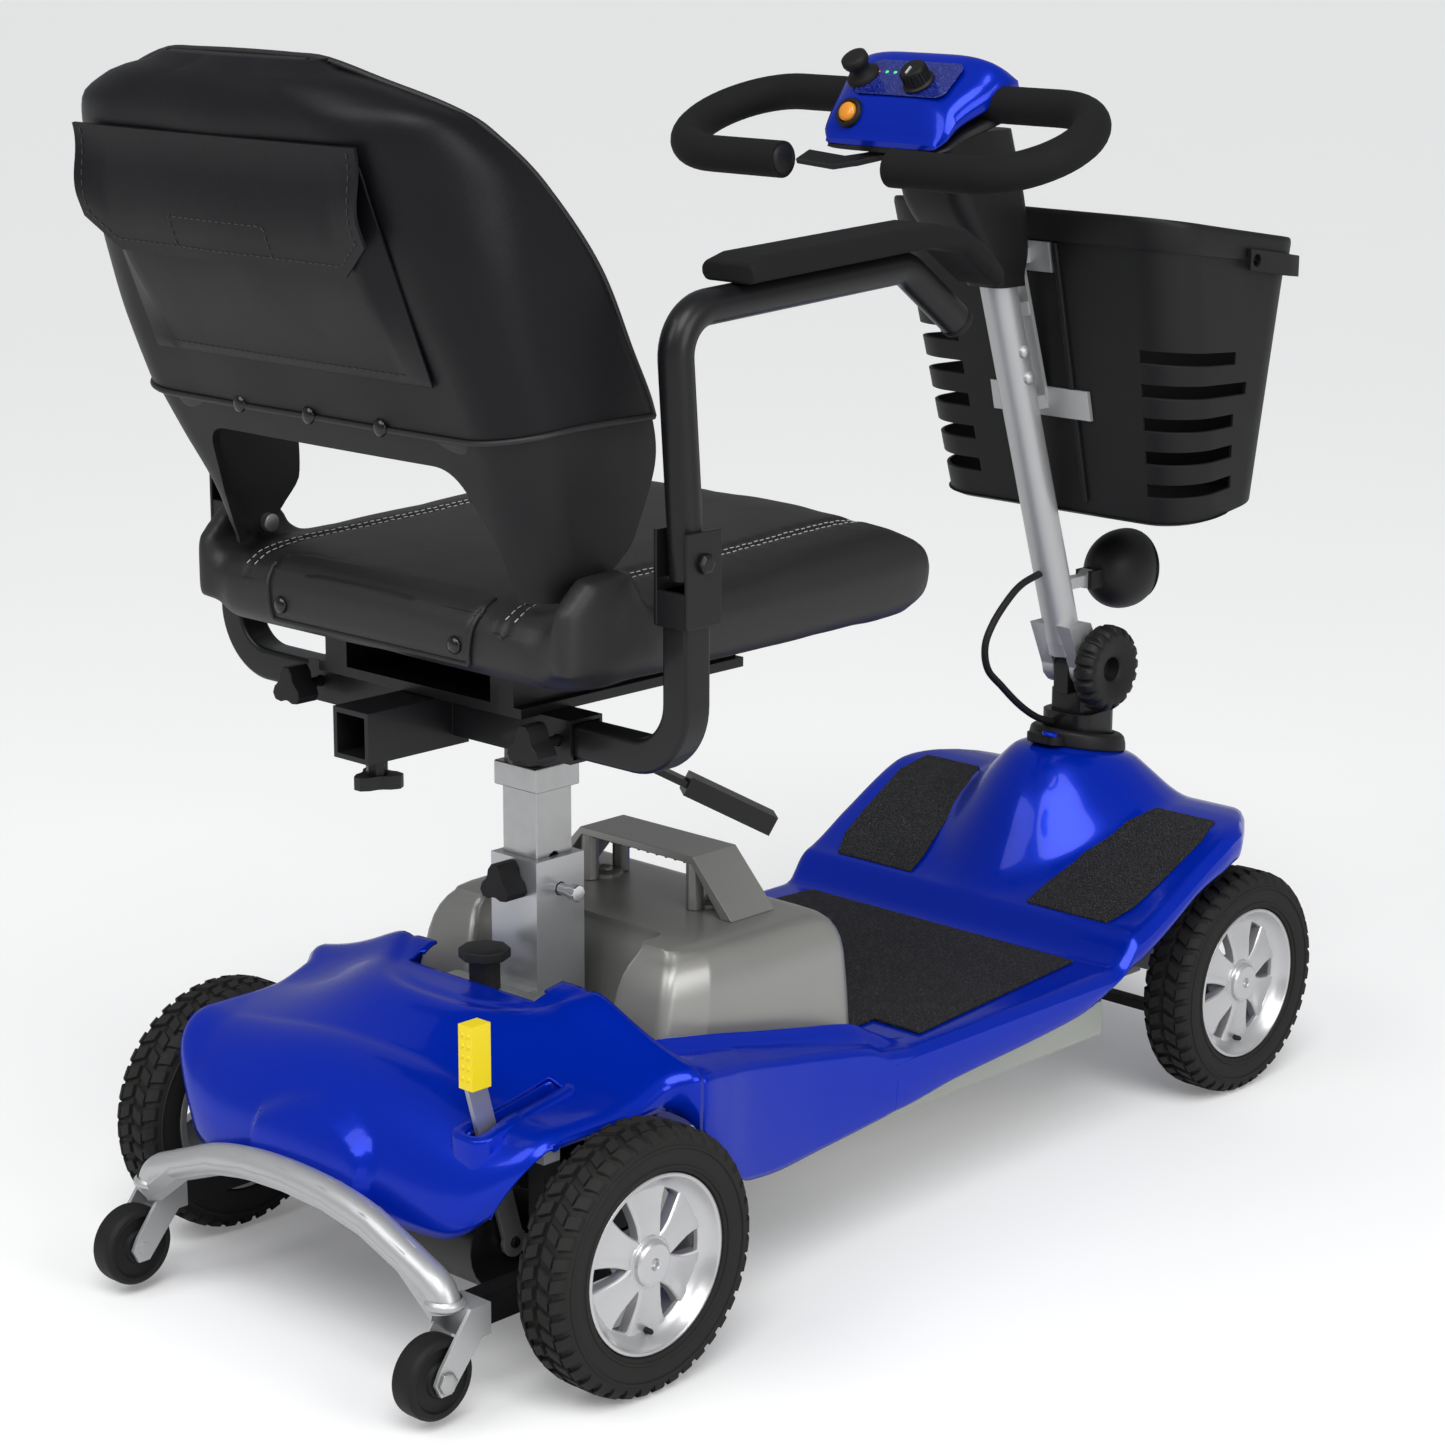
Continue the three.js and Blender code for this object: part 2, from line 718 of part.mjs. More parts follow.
// Rear frame: two rails, cross members, the battery tray and the square seat socket.
function addRearFrame() {
  const pieces = [];
  const legs = [crossMember.frontY, post.y];
  const trayHalf = tray.half;
  for (const [, sign] of sides) {
    pieces.push(onSide(box(rail.x - rail.half, rail.x + rail.half, rail.front, rail.rear, rail.bottom, rail.top), sign));
    const [x0, x1] = [innerRail.x - innerRail.half, innerRail.x + innerRail.half];
    const stepRear = crossMember.stepY + crossMember.stepHalf;
    pieces.push(onSide(box(x0, x1, innerRail.front, stepRear, innerRail.bottom, innerRail.top), sign));
    const saddle = box(
      rail.x - rail.half,
      rail.x + rail.half,
      rearAxleY - transaxle.tube - rail.half,
      rearAxleY + transaxle.tube + rail.half,
      rail.bottom,
      axleZ,
    );
    const seatOfTube = hole('x', transaxle.tube, rail.x - rail.half - overrun, rail.x + rail.half + overrun, [rearAxleY, axleZ]);
    pieces.push(onSide(cut(saddle, seatOfTube), sign));
    const shroudTop = shroud.flat - shroud.wall - gap;
    pieces.push(
      onSide(
        box(rail.x - rail.half, rail.x + rail.half, shroudPost.y - shroudPost.half, shroudPost.y + shroudPost.half, rail.bottom, shroudTop),
        sign,
      ),
    );
    for (const y of legs) {
      const [near, far] = [innerRail.x - crossMember.legHalf, innerRail.x + crossMember.legHalf];
      const [front, rear] = [Math.max(y - crossMember.half, tray.front), y + crossMember.half];
      pieces.push(onSide(box(near, far, front, rear, innerRail.bottom, tray.top - bite), sign));
    }
  }
  for (const y of legs) {
    const [front, rear] = [Math.max(y - crossMember.half, innerRail.front), y + crossMember.half];
    pieces.push(box(-innerRail.x, innerRail.x, front, rear, innerRail.bottom, innerRail.top));
  }
  const [stepFront, stepRear] = [crossMember.stepY - crossMember.stepHalf, crossMember.stepY + crossMember.stepHalf];
  pieces.push(box(-rail.x - rail.half, rail.x + rail.half, stepFront, stepRear, rail.bottom, innerRail.top));
  pieces.push(box(-trayHalf, trayHalf, tray.front, tray.rear, tray.top - tray.thickness, tray.top));
  const outer = post.outer / 2;
  pieces.push(box(-outer, outer, post.y - outer, post.y + outer, innerRail.bottom, post.socketTop));
  pieces.push(box(-lockPlate.half, lockPlate.half, post.y, post.y + lockPlate.length, lockPlate.bottom, lockPlate.top));
  const bore = post.inner / 2 + gap;
  const frame = cut(
    join(...pieces),
    box(-bore, bore, post.y - bore, post.y + bore, post.base, post.socketTop + overrun),
    hole('z', plunger.stem, lockPlate.bottom - overrun, lockPlate.top + overrun, [0, plunger.y], smallSides),
    hole('x', pin.radius, -outer - overrun, 0, [post.y, pin.z], smallSides),
    hole('y', armKnob.shaft, post.y, post.y + outer + overrun, [0, pin.z + pin.ring], smallSides),
  );
  add('rear_frame', frame, 'steel');
}

function addSeatPost() {
  const half = post.inner / 2;
  const collar = post.collar / 2;
  const mid = post.y;
  const square = join(
    box(-half, half, mid - half, mid + half, post.base + gap, post.collarZ + bite),
    box(-collar, collar, mid - collar, mid + collar, post.collarZ, seatSpigot.bottom),
    rod('z', seatSpigot.radius, seatSpigot.bottom - bite, seatSpigot.top, [0, mid]),
  );
  const holes = [-1, 0, 1, 2].map((i) => {
    const z = pin.z - i * pin.reach;
    return hole('x', pin.radius, -half - overrun, half / 2, [mid, z], smallSides);
  });
  add('seat_post', cut(square, ...holes), 'silver');
  const outer = post.outer / 2;
  const locking = join(
    rod('x', pin.radius, -outer - pin.out, -half - gap, [mid, pin.z], smallSides),
    rod('x', pin.ring, -outer - pin.out, -outer - pin.out + pin.ring, [mid, pin.z], smallSides),
  );
  add('post_pin', locking, 'silver');
  const knobZ = pin.z + pin.ring;
  const threaded = rod('y', armKnob.shaft, mid + half + gap, mid + outer + armKnob.shaftLength, [0, knobZ], smallSides);
  const grip = triLobe('y', armKnob.radius, mid + outer + gap * 2, armKnob.depth, [0, knobZ]);
  add('post_knob', join(threaded, grip), 'plastic');
  const button = turned(
    [
      [0, plunger.foot],
      [plunger.stem, plunger.foot],
      [plunger.stem, lockPlate.top + gap],
      [plunger.body, lockPlate.top + gap],
      [plunger.body, plunger.headZ],
      [plunger.head, plunger.headZ],
      [plunger.head, plunger.top - bite],
      [plunger.body, plunger.top],
      [0, plunger.top],
    ],
    'z',
    [0, plunger.y, 0],
    smallSides,
  );
  add('release_plunger', button, 'plastic');
}

/** A three-winged hand knob with its axis along X, Y or Z. */
function triLobe(axis, radius, from, depth, [u, v]) {
  const waistShare = 0.55;
  const outline = [];
  const points = 18;
  for (let i = 0; i < points; i += 1) {
    const turn = (i / points) * 2 * Math.PI;
    const reach = radius * (waistShare + (1 - waistShare) * (0.5 + 0.5 * Math.cos(3 * turn + Math.PI / 2)));
    outline.push([u + reach * Math.cos(turn), v + reach * Math.sin(turn)]);
  }
  return plate(outline, axis, from, from + depth);
}

// Motor, gearbox and rear axle in one unit.
function addTransaxle() {
  const half = wheel.rearTrack / 2;
  const pieces = [
    rod('x', transaxle.tube, -transaxle.reach, transaxle.reach, [rearAxleY, axleZ]),
    rod('x', transaxle.gearRadius, transaxle.gearFrom, transaxle.gearTo, [rearAxleY, axleZ], wheelSides),
    rod('x', motor.radius, motor.from, motor.to, [motor.y, axleZ], wheelSides),
    rod('x', freewheel.pin, freewheel.x - freewheel.thickness, motor.from + bite, [motor.y, axleZ], smallSides),
  ];
  for (const [, sign] of sides) {
    const tip = half + wheel.boreDepth - gap;
    pieces.push(onSide(rod('x', wheel.axleRadius, transaxle.reach - bite, tip, [rearAxleY, axleZ]), sign));
    const shoulder = half - wheel.hubInner - gap;
    pieces.push(onSide(rod('x', transaxle.collar, transaxle.reach - bite, shoulder, [rearAxleY, axleZ]), sign));
  }
  add('transaxle', join(...pieces), 'plastic');
}

function addFreewheelLever() {
  const inner = freewheel.x + freewheel.thickness / 2;
  const outer = freewheel.x - freewheel.thickness / 2;
  const topY = motor.y + freewheel.lean;
  const half = freewheel.blade / 2;
  const blade = plate(
    [
      [motor.y - half, axleZ],
      [motor.y + half, axleZ],
      [topY + half, freewheel.bladeTop],
      [topY - half, freewheel.bladeTop],
    ],
    'x',
    outer,
    inner,
  );
  const eye = rod('x', freewheel.eye, outer, inner, [motor.y, axleZ]);
  const grip = box(
    freewheel.x - freewheelGrip.width / 2,
    freewheel.x + freewheelGrip.width / 2,
    topY - freewheelGrip.depth / 2,
    topY + freewheelGrip.depth / 2,
    freewheel.bladeTop - bite,
    freewheel.bladeTop + freewheelGrip.height,
  );
  const bore = hole('x', freewheel.pin, outer - overrun, inner + overrun, [motor.y, axleZ], smallSides);
  add('freewheel_lever', cut(join(blade, eye, grip), bore), 'yellow');
}

// Front frame: floor pan, two backbone tubes, the kingpin beam and the steering head tube.
function addFrontFrame() {
  const panOutline = (inset) => [
    [-pan.half + inset, pan.rear - inset],
    [-pan.half + inset, pan.front + pan.corner],
    [-pan.half + pan.corner, pan.front + inset],
    [pan.half - pan.corner, pan.front + inset],
    [pan.half - inset, pan.front + pan.corner],
    [pan.half - inset, pan.rear - inset],
  ];
  const floorPan = cut(
    plate(panOutline(0), 'z', pan.bottom, pan.top),
    plate(panOutline(pan.wall), 'z', pan.bottom + pan.wall, pan.top + overrun),
  );
  const pieces = [floorPan];
  const strutTop = floor.deck - floor.wall - gap;
  for (const [, sign] of sides) {
    const [x0, x1] = [backbone.x - backbone.half, backbone.x + backbone.half];
    pieces.push(onSide(box(x0, x1, frontAxleY, backbone.rear, backbone.bottom, backbone.top), sign));
    for (const y of [deckStrut.frontY, deckStrut.rearY]) {
      pieces.push(onSide(box(x0, x1, y - deckStrut.half, y + deckStrut.half, pan.bottom, strutTop), sign));
    }
    pieces.push(onSide(rod('z', kingpin.eye, beam.bottom, beam.top, [kingpin.x, frontAxleY]), sign));
  }
  pieces.push(box(-kingpin.x, kingpin.x, frontAxleY - beam.half, frontAxleY + beam.half, beam.bottom, beam.top));
  pieces.push(rod('z', column.tube, beam.bottom - bite, column.tubeTop, [0, column.y]));
  const bores = sides.map(([, sign]) =>
    hole('z', kingpin.radius, beam.bottom - overrun, beam.top + overrun, [sign * kingpin.x, frontAxleY]),
  );
  const headBore = hole('z', column.shaft, beam.bottom - overrun, column.tubeTop + overrun, [0, column.y]);
  add('front_frame', cut(join(...pieces), ...bores, headBore), 'cream');
}

// Steering: knuckles on kingpins, joined by the track rod to the arm under the column.
function addSteering() {
  for (const [side, sign] of sides) {
    const tip = wheel.frontTrack / 2 + wheel.boreDepth - gap;
    const face = wheel.frontTrack / 2 - wheel.hubInner - gap;
    const y = frontAxleY;
    const knuckle = join(
      rod('z', kingpin.radius, kingpin.bottom, kingpin.top, [kingpin.x, y]),
      rod('z', kingpin.eye, kingpin.bottom, kingpin.yokeFoot, [kingpin.x, y]),
      rod('z', kingpin.eye, kingpin.yokeHead, kingpin.top, [kingpin.x, y]),
      box(kingpin.x, stub.webEnd, y - stub.half, y + stub.half, kingpin.bottom, kingpin.yokeFoot),
      box(kingpin.x, stub.webEnd, y - stub.half, y + stub.half, kingpin.yokeHead, kingpin.top),
      box(stub.web, stub.webEnd, y - stub.half, y + stub.half, kingpin.bottom, kingpin.top),
      rod('x', stub.boss, stub.webEnd - bite, face, [y, axleZ]),
      rod('x', wheel.axleRadius, stub.webEnd - bite, tip, [y, axleZ]),
      box(kingpin.x - steerArm.half, kingpin.x + steerArm.half, y, y + steerArm.length, kingpin.bottom, steerArm.top),
      rod('z', steerArm.half, kingpin.bottom, steerArm.top, [kingpin.x, y + steerArm.length]),
      rod('z', steerArm.pin, steerArm.pinFoot, kingpin.bottom + bite, [kingpin.x, y + steerArm.length], smallSides),
    );
    add(`steering_knuckle_${side}`, onSide(knuckle, sign), 'steel');
  }
  const pinY = frontAxleY + steerArm.length;
  const columnPinY = column.y + steerArm.length;
  const eyes = [[-kingpin.x, pinY], [kingpin.x, pinY], [0, columnPinY]];
  const rodPieces = eyes.map((at) => rod('z', trackRod.eye, trackRod.bottom, trackRod.top, at));
  rodPieces.push(box(-kingpin.x, kingpin.x, pinY - trackRod.half, pinY + trackRod.half, trackRod.bottom, trackRod.top));
  const holes = eyes.map((at) =>
    rod('z', steerArm.pin + runningGap, trackRod.bottom - overrun, trackRod.top + overrun, at, smallSides),
  );
  add('track_rod', cut(join(...rodPieces), ...holes), 'steel');
}

function roundedSquare(half, corner, [cx, cy]) {
  const outline = [];
  const steps = 3;
  for (let quarter = 0; quarter < 4; quarter += 1) {
    for (let k = 0; k <= steps; k += 1) {
      const turn = ((quarter + k / steps) * Math.PI) / 2;
      const [sx, sy] = [[1, 1], [-1, 1], [-1, -1], [1, -1]][quarter];
      const middleX = cx + sx * (half - corner);
      const middleY = cy + sy * (half - corner);
      outline.push([middleX + corner * Math.cos(turn), middleY + corner * Math.sin(turn)]);
    }
  }
  return outline;
}

function addColumn() {
  const half = column.socket / 2;
  const pinY = column.y + steerArm.length;
  const solid = join(
    rod('z', column.shaft, kingpin.bottom, column.socketFoot + bite, [0, column.y]),
    box(-steerArm.half, steerArm.half, column.y, pinY, kingpin.bottom, steerArm.top),
    rod('z', steerArm.half, kingpin.bottom, steerArm.top, [0, pinY]),
    rod('z', steerArm.pin, steerArm.pinFoot, kingpin.bottom + bite, [0, pinY], smallSides),
    plate(roundedSquare(half, column.corner, [0, column.y]), 'z', column.socketFoot, column.socketTop),
    plate(roundedSquare(column.neck / 2, column.corner / 2, [0, column.y]), 'z', column.socketTop - bite, column.neckTop),
    box(
      -tiller.tongueHalf,
      tiller.tongueHalf,
      tiller.y - tiller.barrel,
      tiller.y + tiller.barrel,
      column.neckTop - bite,
      tiller.z,
    ),
    rod('x', tiller.barrel, -tiller.tongueHalf, tiller.tongueHalf, [tiller.y, tiller.z]),
  );
  const bore = hole('x', tiller.bolt, -tiller.earHalf - overrun, tiller.earHalf + overrun, [tiller.y, tiller.z], smallSides);
  add('steering_column', cut(solid, bore), 'steel');
  const face = -tiller.earHalf - gap;
  const outline = [];
  for (let i = 0; i < clampKnob.lobes * 2; i += 1) {
    const turn = (i / (clampKnob.lobes * 2)) * 2 * Math.PI;
    const reach = i % 2 ? clampKnob.valley : clampKnob.radius;
    outline.push([tiller.y + reach * Math.cos(turn), tiller.z + reach * Math.sin(turn)]);
  }
  const knob = join(
    plate(outline, 'x', face - clampKnob.depth, face),
    rod('x', tiller.bolt, face - bite, tiller.earHalf + gap + tiller.bolt, [tiller.y, tiller.z], smallSides),
    rod('x', tiller.barrel / 2, tiller.earHalf + gap, tiller.earHalf + gap + tiller.bolt, [tiller.y, tiller.z], smallSides),
  );
  add('tiller_clamp_knob', knob, 'plastic');
}

/** The y of the tiller tube's axis at a height. */
function tillerY(z) {
  return tiller.y + tiller.offset + tiller.leanShare * (z - tiller.z);
}

/** The y of the basket's rear wall, outside, at a height. */
function basketRearY(z) {
  return basket.rearY + basket.leanShare * (z - basket.footZ);
}

const bracket = { lowZ: 607, midZ: 690, highZ: 735, half: 53, highHalf: 30, height: 26, thickness: 4, spacer: 12, stand: 27.3 };

/** A flat plate that lies against the basket's rear wall. */
function wallPlate(half, z, height, thickness) {
  const [low, high] = [z - height / 2, z + height / 2];
  const slack = gap;
  return plate(
    [
      [basketRearY(low) + slack, low],
      [basketRearY(high) + slack, high],
      [basketRearY(high) + slack + thickness, high],
      [basketRearY(low) + slack + thickness, low],
    ],
    'x',
    -half,
    half,
  );
}

function addTiller() {
  const top = tiller.topZ;
  const main = tube(places([[0, tillerY(tiller.footZ), tiller.footZ], [0, tillerY(top), top]]), tiller.radius, roundSides);
  const ears = [];
  for (const [, sign] of sides) {
    const inside = tiller.tongueHalf + gap;
    ears.push(onSide(rod('x', tiller.barrel, inside, tiller.earHalf, [tiller.y, tiller.z]), sign));
  }
  const crownFoot = tiller.z + tiller.barrel + gap;
  const crown = plate(
    [
      [tiller.y - tiller.barrel / 2, tiller.z + tiller.barrel / 2],
      [tiller.y + tiller.barrel, tiller.z],
      [tillerY(crownFoot + tiller.barrel) + tiller.radius, crownFoot + tiller.barrel],
      [tillerY(crownFoot + tiller.barrel) - tiller.radius, crownFoot + tiller.barrel],
    ],
    'x',
    -tiller.earHalf,
    tiller.earHalf,
  );
  const slot = box(
    -tiller.tongueHalf - gap,
    tiller.tongueHalf + gap,
    tiller.y - tiller.barrel - overrun,
    tiller.y + tiller.barrel + overrun,
    tiller.z - tiller.barrel - overrun,
    crownFoot,
  );
  const lampBack = tillerY(lampMount.z);
  const lampArm = box(-lampMount.half, lampMount.half, lampMount.y, lampBack, lampMount.z - lampMount.half, lampMount.z + lampMount.half);
  const lampEye = rod('x', lampMount.eye, -lampMount.half, lampMount.half, [lampMount.y, lampMount.z]);
  const stripY = (z) => tillerY(z) - bracket.stand;
  const edge = bracket.height / 2;
  const thin = bracket.thickness / 2;
  const strip = plate(
    [
      [stripY(bracket.lowZ) - thin, bracket.lowZ],
      [stripY(bracket.lowZ) + thin, bracket.lowZ],
      [stripY(bracket.highZ + edge) + thin, bracket.highZ + edge],
      [stripY(bracket.highZ + edge) - thin, bracket.highZ + edge],
    ],
    'x',
    -bracket.spacer * 0.8,
    bracket.spacer * 0.8,
  );
  const spacer = (z, from, to) =>
    box(-bracket.spacer * 0.7, bracket.spacer * 0.7, from, to, z - bracket.spacer / 2, z + bracket.spacer / 2);
  const holder = join(
    strip,
    wallPlate(bracket.half, bracket.lowZ, bracket.height, bracket.thickness),
    wallPlate(bracket.highHalf, bracket.highZ, bracket.height, bracket.thickness),
    spacer(bracket.lowZ, basketRearY(bracket.lowZ) + thin, tillerY(bracket.lowZ)),
    spacer(bracket.midZ, stripY(bracket.midZ), tillerY(bracket.midZ)),
    spacer(bracket.highZ, basketRearY(bracket.highZ) + thin, stripY(bracket.highZ)),
  );
  const bolt = hole('x', tiller.bolt, -tiller.earHalf - overrun, tiller.earHalf + overrun, [tiller.y, tiller.z], smallSides);
  const lampBolt = hole('x', lampMount.pin, -lampMount.reach, lampMount.reach, [lampMount.y, lampMount.z], smallSides);
  const whole = join(main, lampArm, lampEye, holder, ...ears, crown);
  add('tiller_tube', cut(whole, slot, bolt, lampBolt), 'silver');
}

function addHeadlight() {
  const shell = new THREE.SphereGeometry(1, roundSides, smallSides);
  shell.rotateX(Math.PI / 2);
  shell.scale(lamp.halfWidth, lamp.halfLength, lamp.halfHeight);
  shell.translate(0, lamp.y, lamp.z);
  const frontCut = box(-lamp.halfWidth, lamp.halfWidth, lamp.y - lamp.halfLength, lamp.y - lamp.halfLength / 2, 0, lamp.z * 2);
  const lens = rod('y', lamp.lens, lamp.y - lamp.halfLength / 2 - bite, lamp.y - lamp.halfLength / 2 + bite, [0, lamp.z]);
  const cheeks = sides.map(([, sign]) => {
    const inside = lampMount.half + gap;
    const outside = lampMount.half * 2;
    return onSide(
      plate(
        [
          [lampMount.y + lampMount.eye, lampMount.z - lampMount.eye],
          [lampMount.y + lampMount.eye, lampMount.z + lampMount.eye],
          [lamp.y + lamp.halfLength / 2, lampMount.z + lampMount.eye],
          [lamp.y + lamp.halfLength / 2, lampMount.z - lampMount.eye],
        ],
        'x',
        inside,
        outside,
      ),
      sign,
    );
  });
  const pivot = rod('x', lampMount.pin, -lampMount.half * 2, lampMount.half * 2, [lampMount.y, lampMount.z], smallSides);
  const room = rod('x', lampMount.eye + runningGap, -lampMount.half - gap, lampMount.half + gap, [lampMount.y, lampMount.z]);
  const pod = cut(join(cut(shell, frontCut), lens), room);
  add('headlight', join(pod, ...cheeks, pivot), 'plastic');
}

// The cable that leaves the tiller above its hinge and enters the column socket.
const cable = { radius: 3.2, exitZ: 453, entryZ: 311, entryX: 8 };
const cableRoute = [
  [0, -305, 447],
  [0, -286, 436],
  [0, -266, 418],
  [1, -257, 399],
  [3, -264, 377],
  [5, -286, 358],
  [7, -314, 336],
  [cable.entryX, -340, 320],
];

function addCable() {
  const exitY = tillerY(cable.exitZ) + tiller.radius * Math.hypot(1, tiller.leanShare) + gap * 2;
  const entryY = column.y + column.socket / 2 + cable.radius / 2;
  const route = [[0, exitY, cable.exitZ], ...cableRoute, [cable.entryX, entryY, cable.entryZ]];
  add('tiller_cable', tube(places(route), cable.radius, 8), 'rubber');
}

/** The height of the floor shell's outside along the middle of each foot ramp. */
function deckZ(y) {
  const ramp = (at) => floor.deck + floor.stepRise + floor.rampShare * (floor.rampBack - at);
  if (y >= floor.stepBack) {
    return floor.deck;
  }
  if (y >= floor.rampBack) {
    return along([[floor.stepBack, floor.deck], [floor.stepFront, ramp(floor.rampBack)], [floor.rampBack, ramp(floor.rampBack)]], y);
  }
  if (y >= floor.crestY) {
    return ramp(y);
  }
  const crestZ = ramp(floor.crestY);
  if (y >= floor.crownY) {
    const share = (floor.crestY - y) / (floor.crestY - floor.crownY);
    return crestZ + (floor.crown - crestZ) * Math.sin((share * Math.PI) / 2);
  }
  const share = (floor.crownY - y) / (floor.crownY - floor.nose);
  return floor.noseZ + (floor.crown - floor.noseZ) * Math.sqrt(Math.max(0, 1 - share * share));
}

// Stations of the floor shell from the battery to the nose, the low edge of its side skirt there and
// its half width, as shares of the wheel base, the deck height and the half width.
const skirtShares = [
  [0.095, 0.7, 1],
  [0, 0.75, 1],
  [-0.12, 0.79, 1],
  [-0.2, 0.83, 1],
  [-0.2537, 0.92, 1],
  [-0.2859, 1.0, 1.005],
  [-0.2958, 1.02, 1.01],
  [-0.3243, 1.09, 1.015],
  [-0.3614, 1.2, 1.02],
  [-0.3936, 1.29, 1.02],
  [-0.4295, 1.35, 1.02],
  [-0.4666, 1.39, 1],
  [-0.495, 1.4, 0.935],
  [-0.545, 1.36, 0.79],
  [-0.585, 1.25, 0.66],
  [-0.615, 1.15, 0.54],
  [-0.6343, 1.05, 0.4],
];
const deckStations = skirtShares.map(([share, low, half]) => {
  const y = Math.max(share * wheelBase, floor.nose);
  return { y, low: low * floor.deck, half: half * floor.halfWidth };
});

/** Points across one station, from the middle to the skirt's low edge on the left. */
function deckSection({ y, low, half }, inset) {
  const top = deckZ(y) - inset;
  const side = half - inset;
  const drop = Math.min(floor.edgeDrop, (deckZ(y) - low) / 2);
  return [
    [0, y, top],
    [side - floor.edgeWidth, y, top],
    [side - floor.edgeWidth / 3, y, top - drop / 3],
    [side, y, top - drop],
    [side, y, Math.min(low, top - drop - bite)],
  ];
}

function wholeSection(half) {
  const other = half.slice(1).map(([x, y, z]) => [-x, y, z]);
  return [...other.reverse(), ...half];
}

// The side rails beside the battery: place along, rail top, outer half width and skirt edge, as shares.
const sideRailShares = [
  [0.093, 0.98, 1, 0.7],
  [0.109, 1.16, 1, 0.69],
  [0.2, 1.24, 1.01, 0.66],
  [0.26, 1.3, 1.03, 0.65],
  [0.317, 1.36, 1.06, 0.68],
  [0.36, 1.4, 1.1, 0.84],
  [0.3985, 1.43, 1.13, 1.06],
];

function sideRailSheet() {
  const rows = sideRailShares.map(([share, top, half, low]) => ({
    y: Math.min(share * wheelBase, floor.rear),
    top: top * floor.deck,
    half: half * floor.halfWidth,
    low: low * floor.deck,
  }));
  const section = ({ y, top, half, low }, inset) => [
    [floor.railInner + inset, y, floor.railFoot],
    [floor.railInner + inset, y, top - inset],
    [floor.railInner + (half - floor.railInner) / 2, y, top - inset - floor.wall / 2],
    [half - inset, y, (top * 2 + low) / 3 - inset],
    [half - inset, y, low],
  ];
  return sheet(rows.map((row) => section(row, 0)), rows.map((row) => section(row, floor.wall)));
}

const domeSides = 20;

/** A ring of the steering dome. Share 0 is its foot on the ramps and 1 its collar. */
function domeRing(share, rise, inset) {
  const points = [];
  for (let i = 0; i < domeSides; i += 1) {
    const turn = (i / domeSides) * 2 * Math.PI;
    const [c, s] = [Math.cos(turn), Math.sin(turn)];
    const footY = s > 0 ? dome.back : dome.front;
    const foot = 1 / Math.hypot(c / dome.side, s / footY);
    const reach = foot + (dome.collar - foot) * share - inset;
    const y = column.y + s * reach;
    const footZ = deckZ(column.y + s * foot) - bite;
    const collarZ = dome.collarZ + dome.leanShare * s * reach;
    points.push([c * reach, y, footZ + (collarZ - footZ) * rise]);
  }
  return points;
}

function makeDome() {
  const levels = [[0, 0], [0.42, 0.45], [0.75, 0.82], [1, 1]];
  return sheet(
    levels.map(([share, rise]) => domeRing(share, rise, 0)),
    levels.map(([share, rise]) => domeRing(share, rise, floor.wall)),
    true,
  );
}

function addFloorShell() {
  const deck = sheet(
    deckStations.map((station) => wholeSection(deckSection(station, 0))),
    deckStations.map((station) => wholeSection(deckSection(station, floor.wall))),
  );
  const bore = rod('z', dome.bore, floor.deck, floor.crown + overrun, [0, column.y], domeSides);
  const sideRail = sideRailSheet();
  add('floor_shell', join(cut(deck, bore), makeDome(), sideRail, mirrored(sideRail)), 'blue');
  const seat = dome.collarZ + dome.leanShare * dome.collar;
  const collar = ring('z', bezel.inner, bezel.outer, seat, seat + bezel.height, [0, column.y, 0], domeSides);
  const lean = new THREE.Matrix4().makeShear(0, 0, 0, dome.leanShare, 0, 0);
  collar.translate(0, -column.y, 0);
  collar.applyMatrix4(lean);
  collar.translate(0, column.y, gap - dome.leanShare * dome.collar);
  add('tiller_bezel', outward(collar), 'plastic');
}

function addMats() {
  const centre = [
    [-mat.frontHalf, mat.front],
    [mat.frontHalf, mat.front],
    [mat.rearHalf, mat.rear],
    [mat.inset, mat.rear],
    [mat.inset, mat.tail],
    [-mat.inset, mat.tail],
    [-mat.inset, mat.rear],
    [-mat.rearHalf, mat.rear],
  ];
  const low = floor.deck + gap;
  add('mat_center', plate(centre, 'z', low, low + mat.thickness), 'grit');
  // Inner and outer edge of a side mat at each ramp station, as shares of the half width.
  const edgeShares = [[0.345, 0.8], [0.36, 0.86], [0.4, 0.88], [0.415, 0.89], [0.46, 0.9], [0.53, 0.86]];
  const stations = deckStations.filter(({ y }) => y <= floor.rampBack + gap && y > floor.crownY + overrun);
  const grid = (lift) =>
    stations.map(({ y }, i) => {
      const [inner, outer] = edgeShares[i].map((share) => share * floor.halfWidth);
      return [[inner, y, deckZ(y) + lift], [outer, y, deckZ(y) + lift]];
    });
  const side = sheet(grid(gap + mat.thickness), grid(gap));
  add('mat_left', side, 'grit');
  add('mat_right', mirrored(side), 'grit');
}

/** How far out a place is from the middle of the shroud's raised ring: below 1 is inside. */
function roundShare(x, y, halfX, halfY) {
  const power = 3;
  const [u, v] = [Math.abs(x) / halfX, Math.max(0, y - shroud.domeY) / halfY];
  return (u ** power + v ** power) ** (1 / power);
}

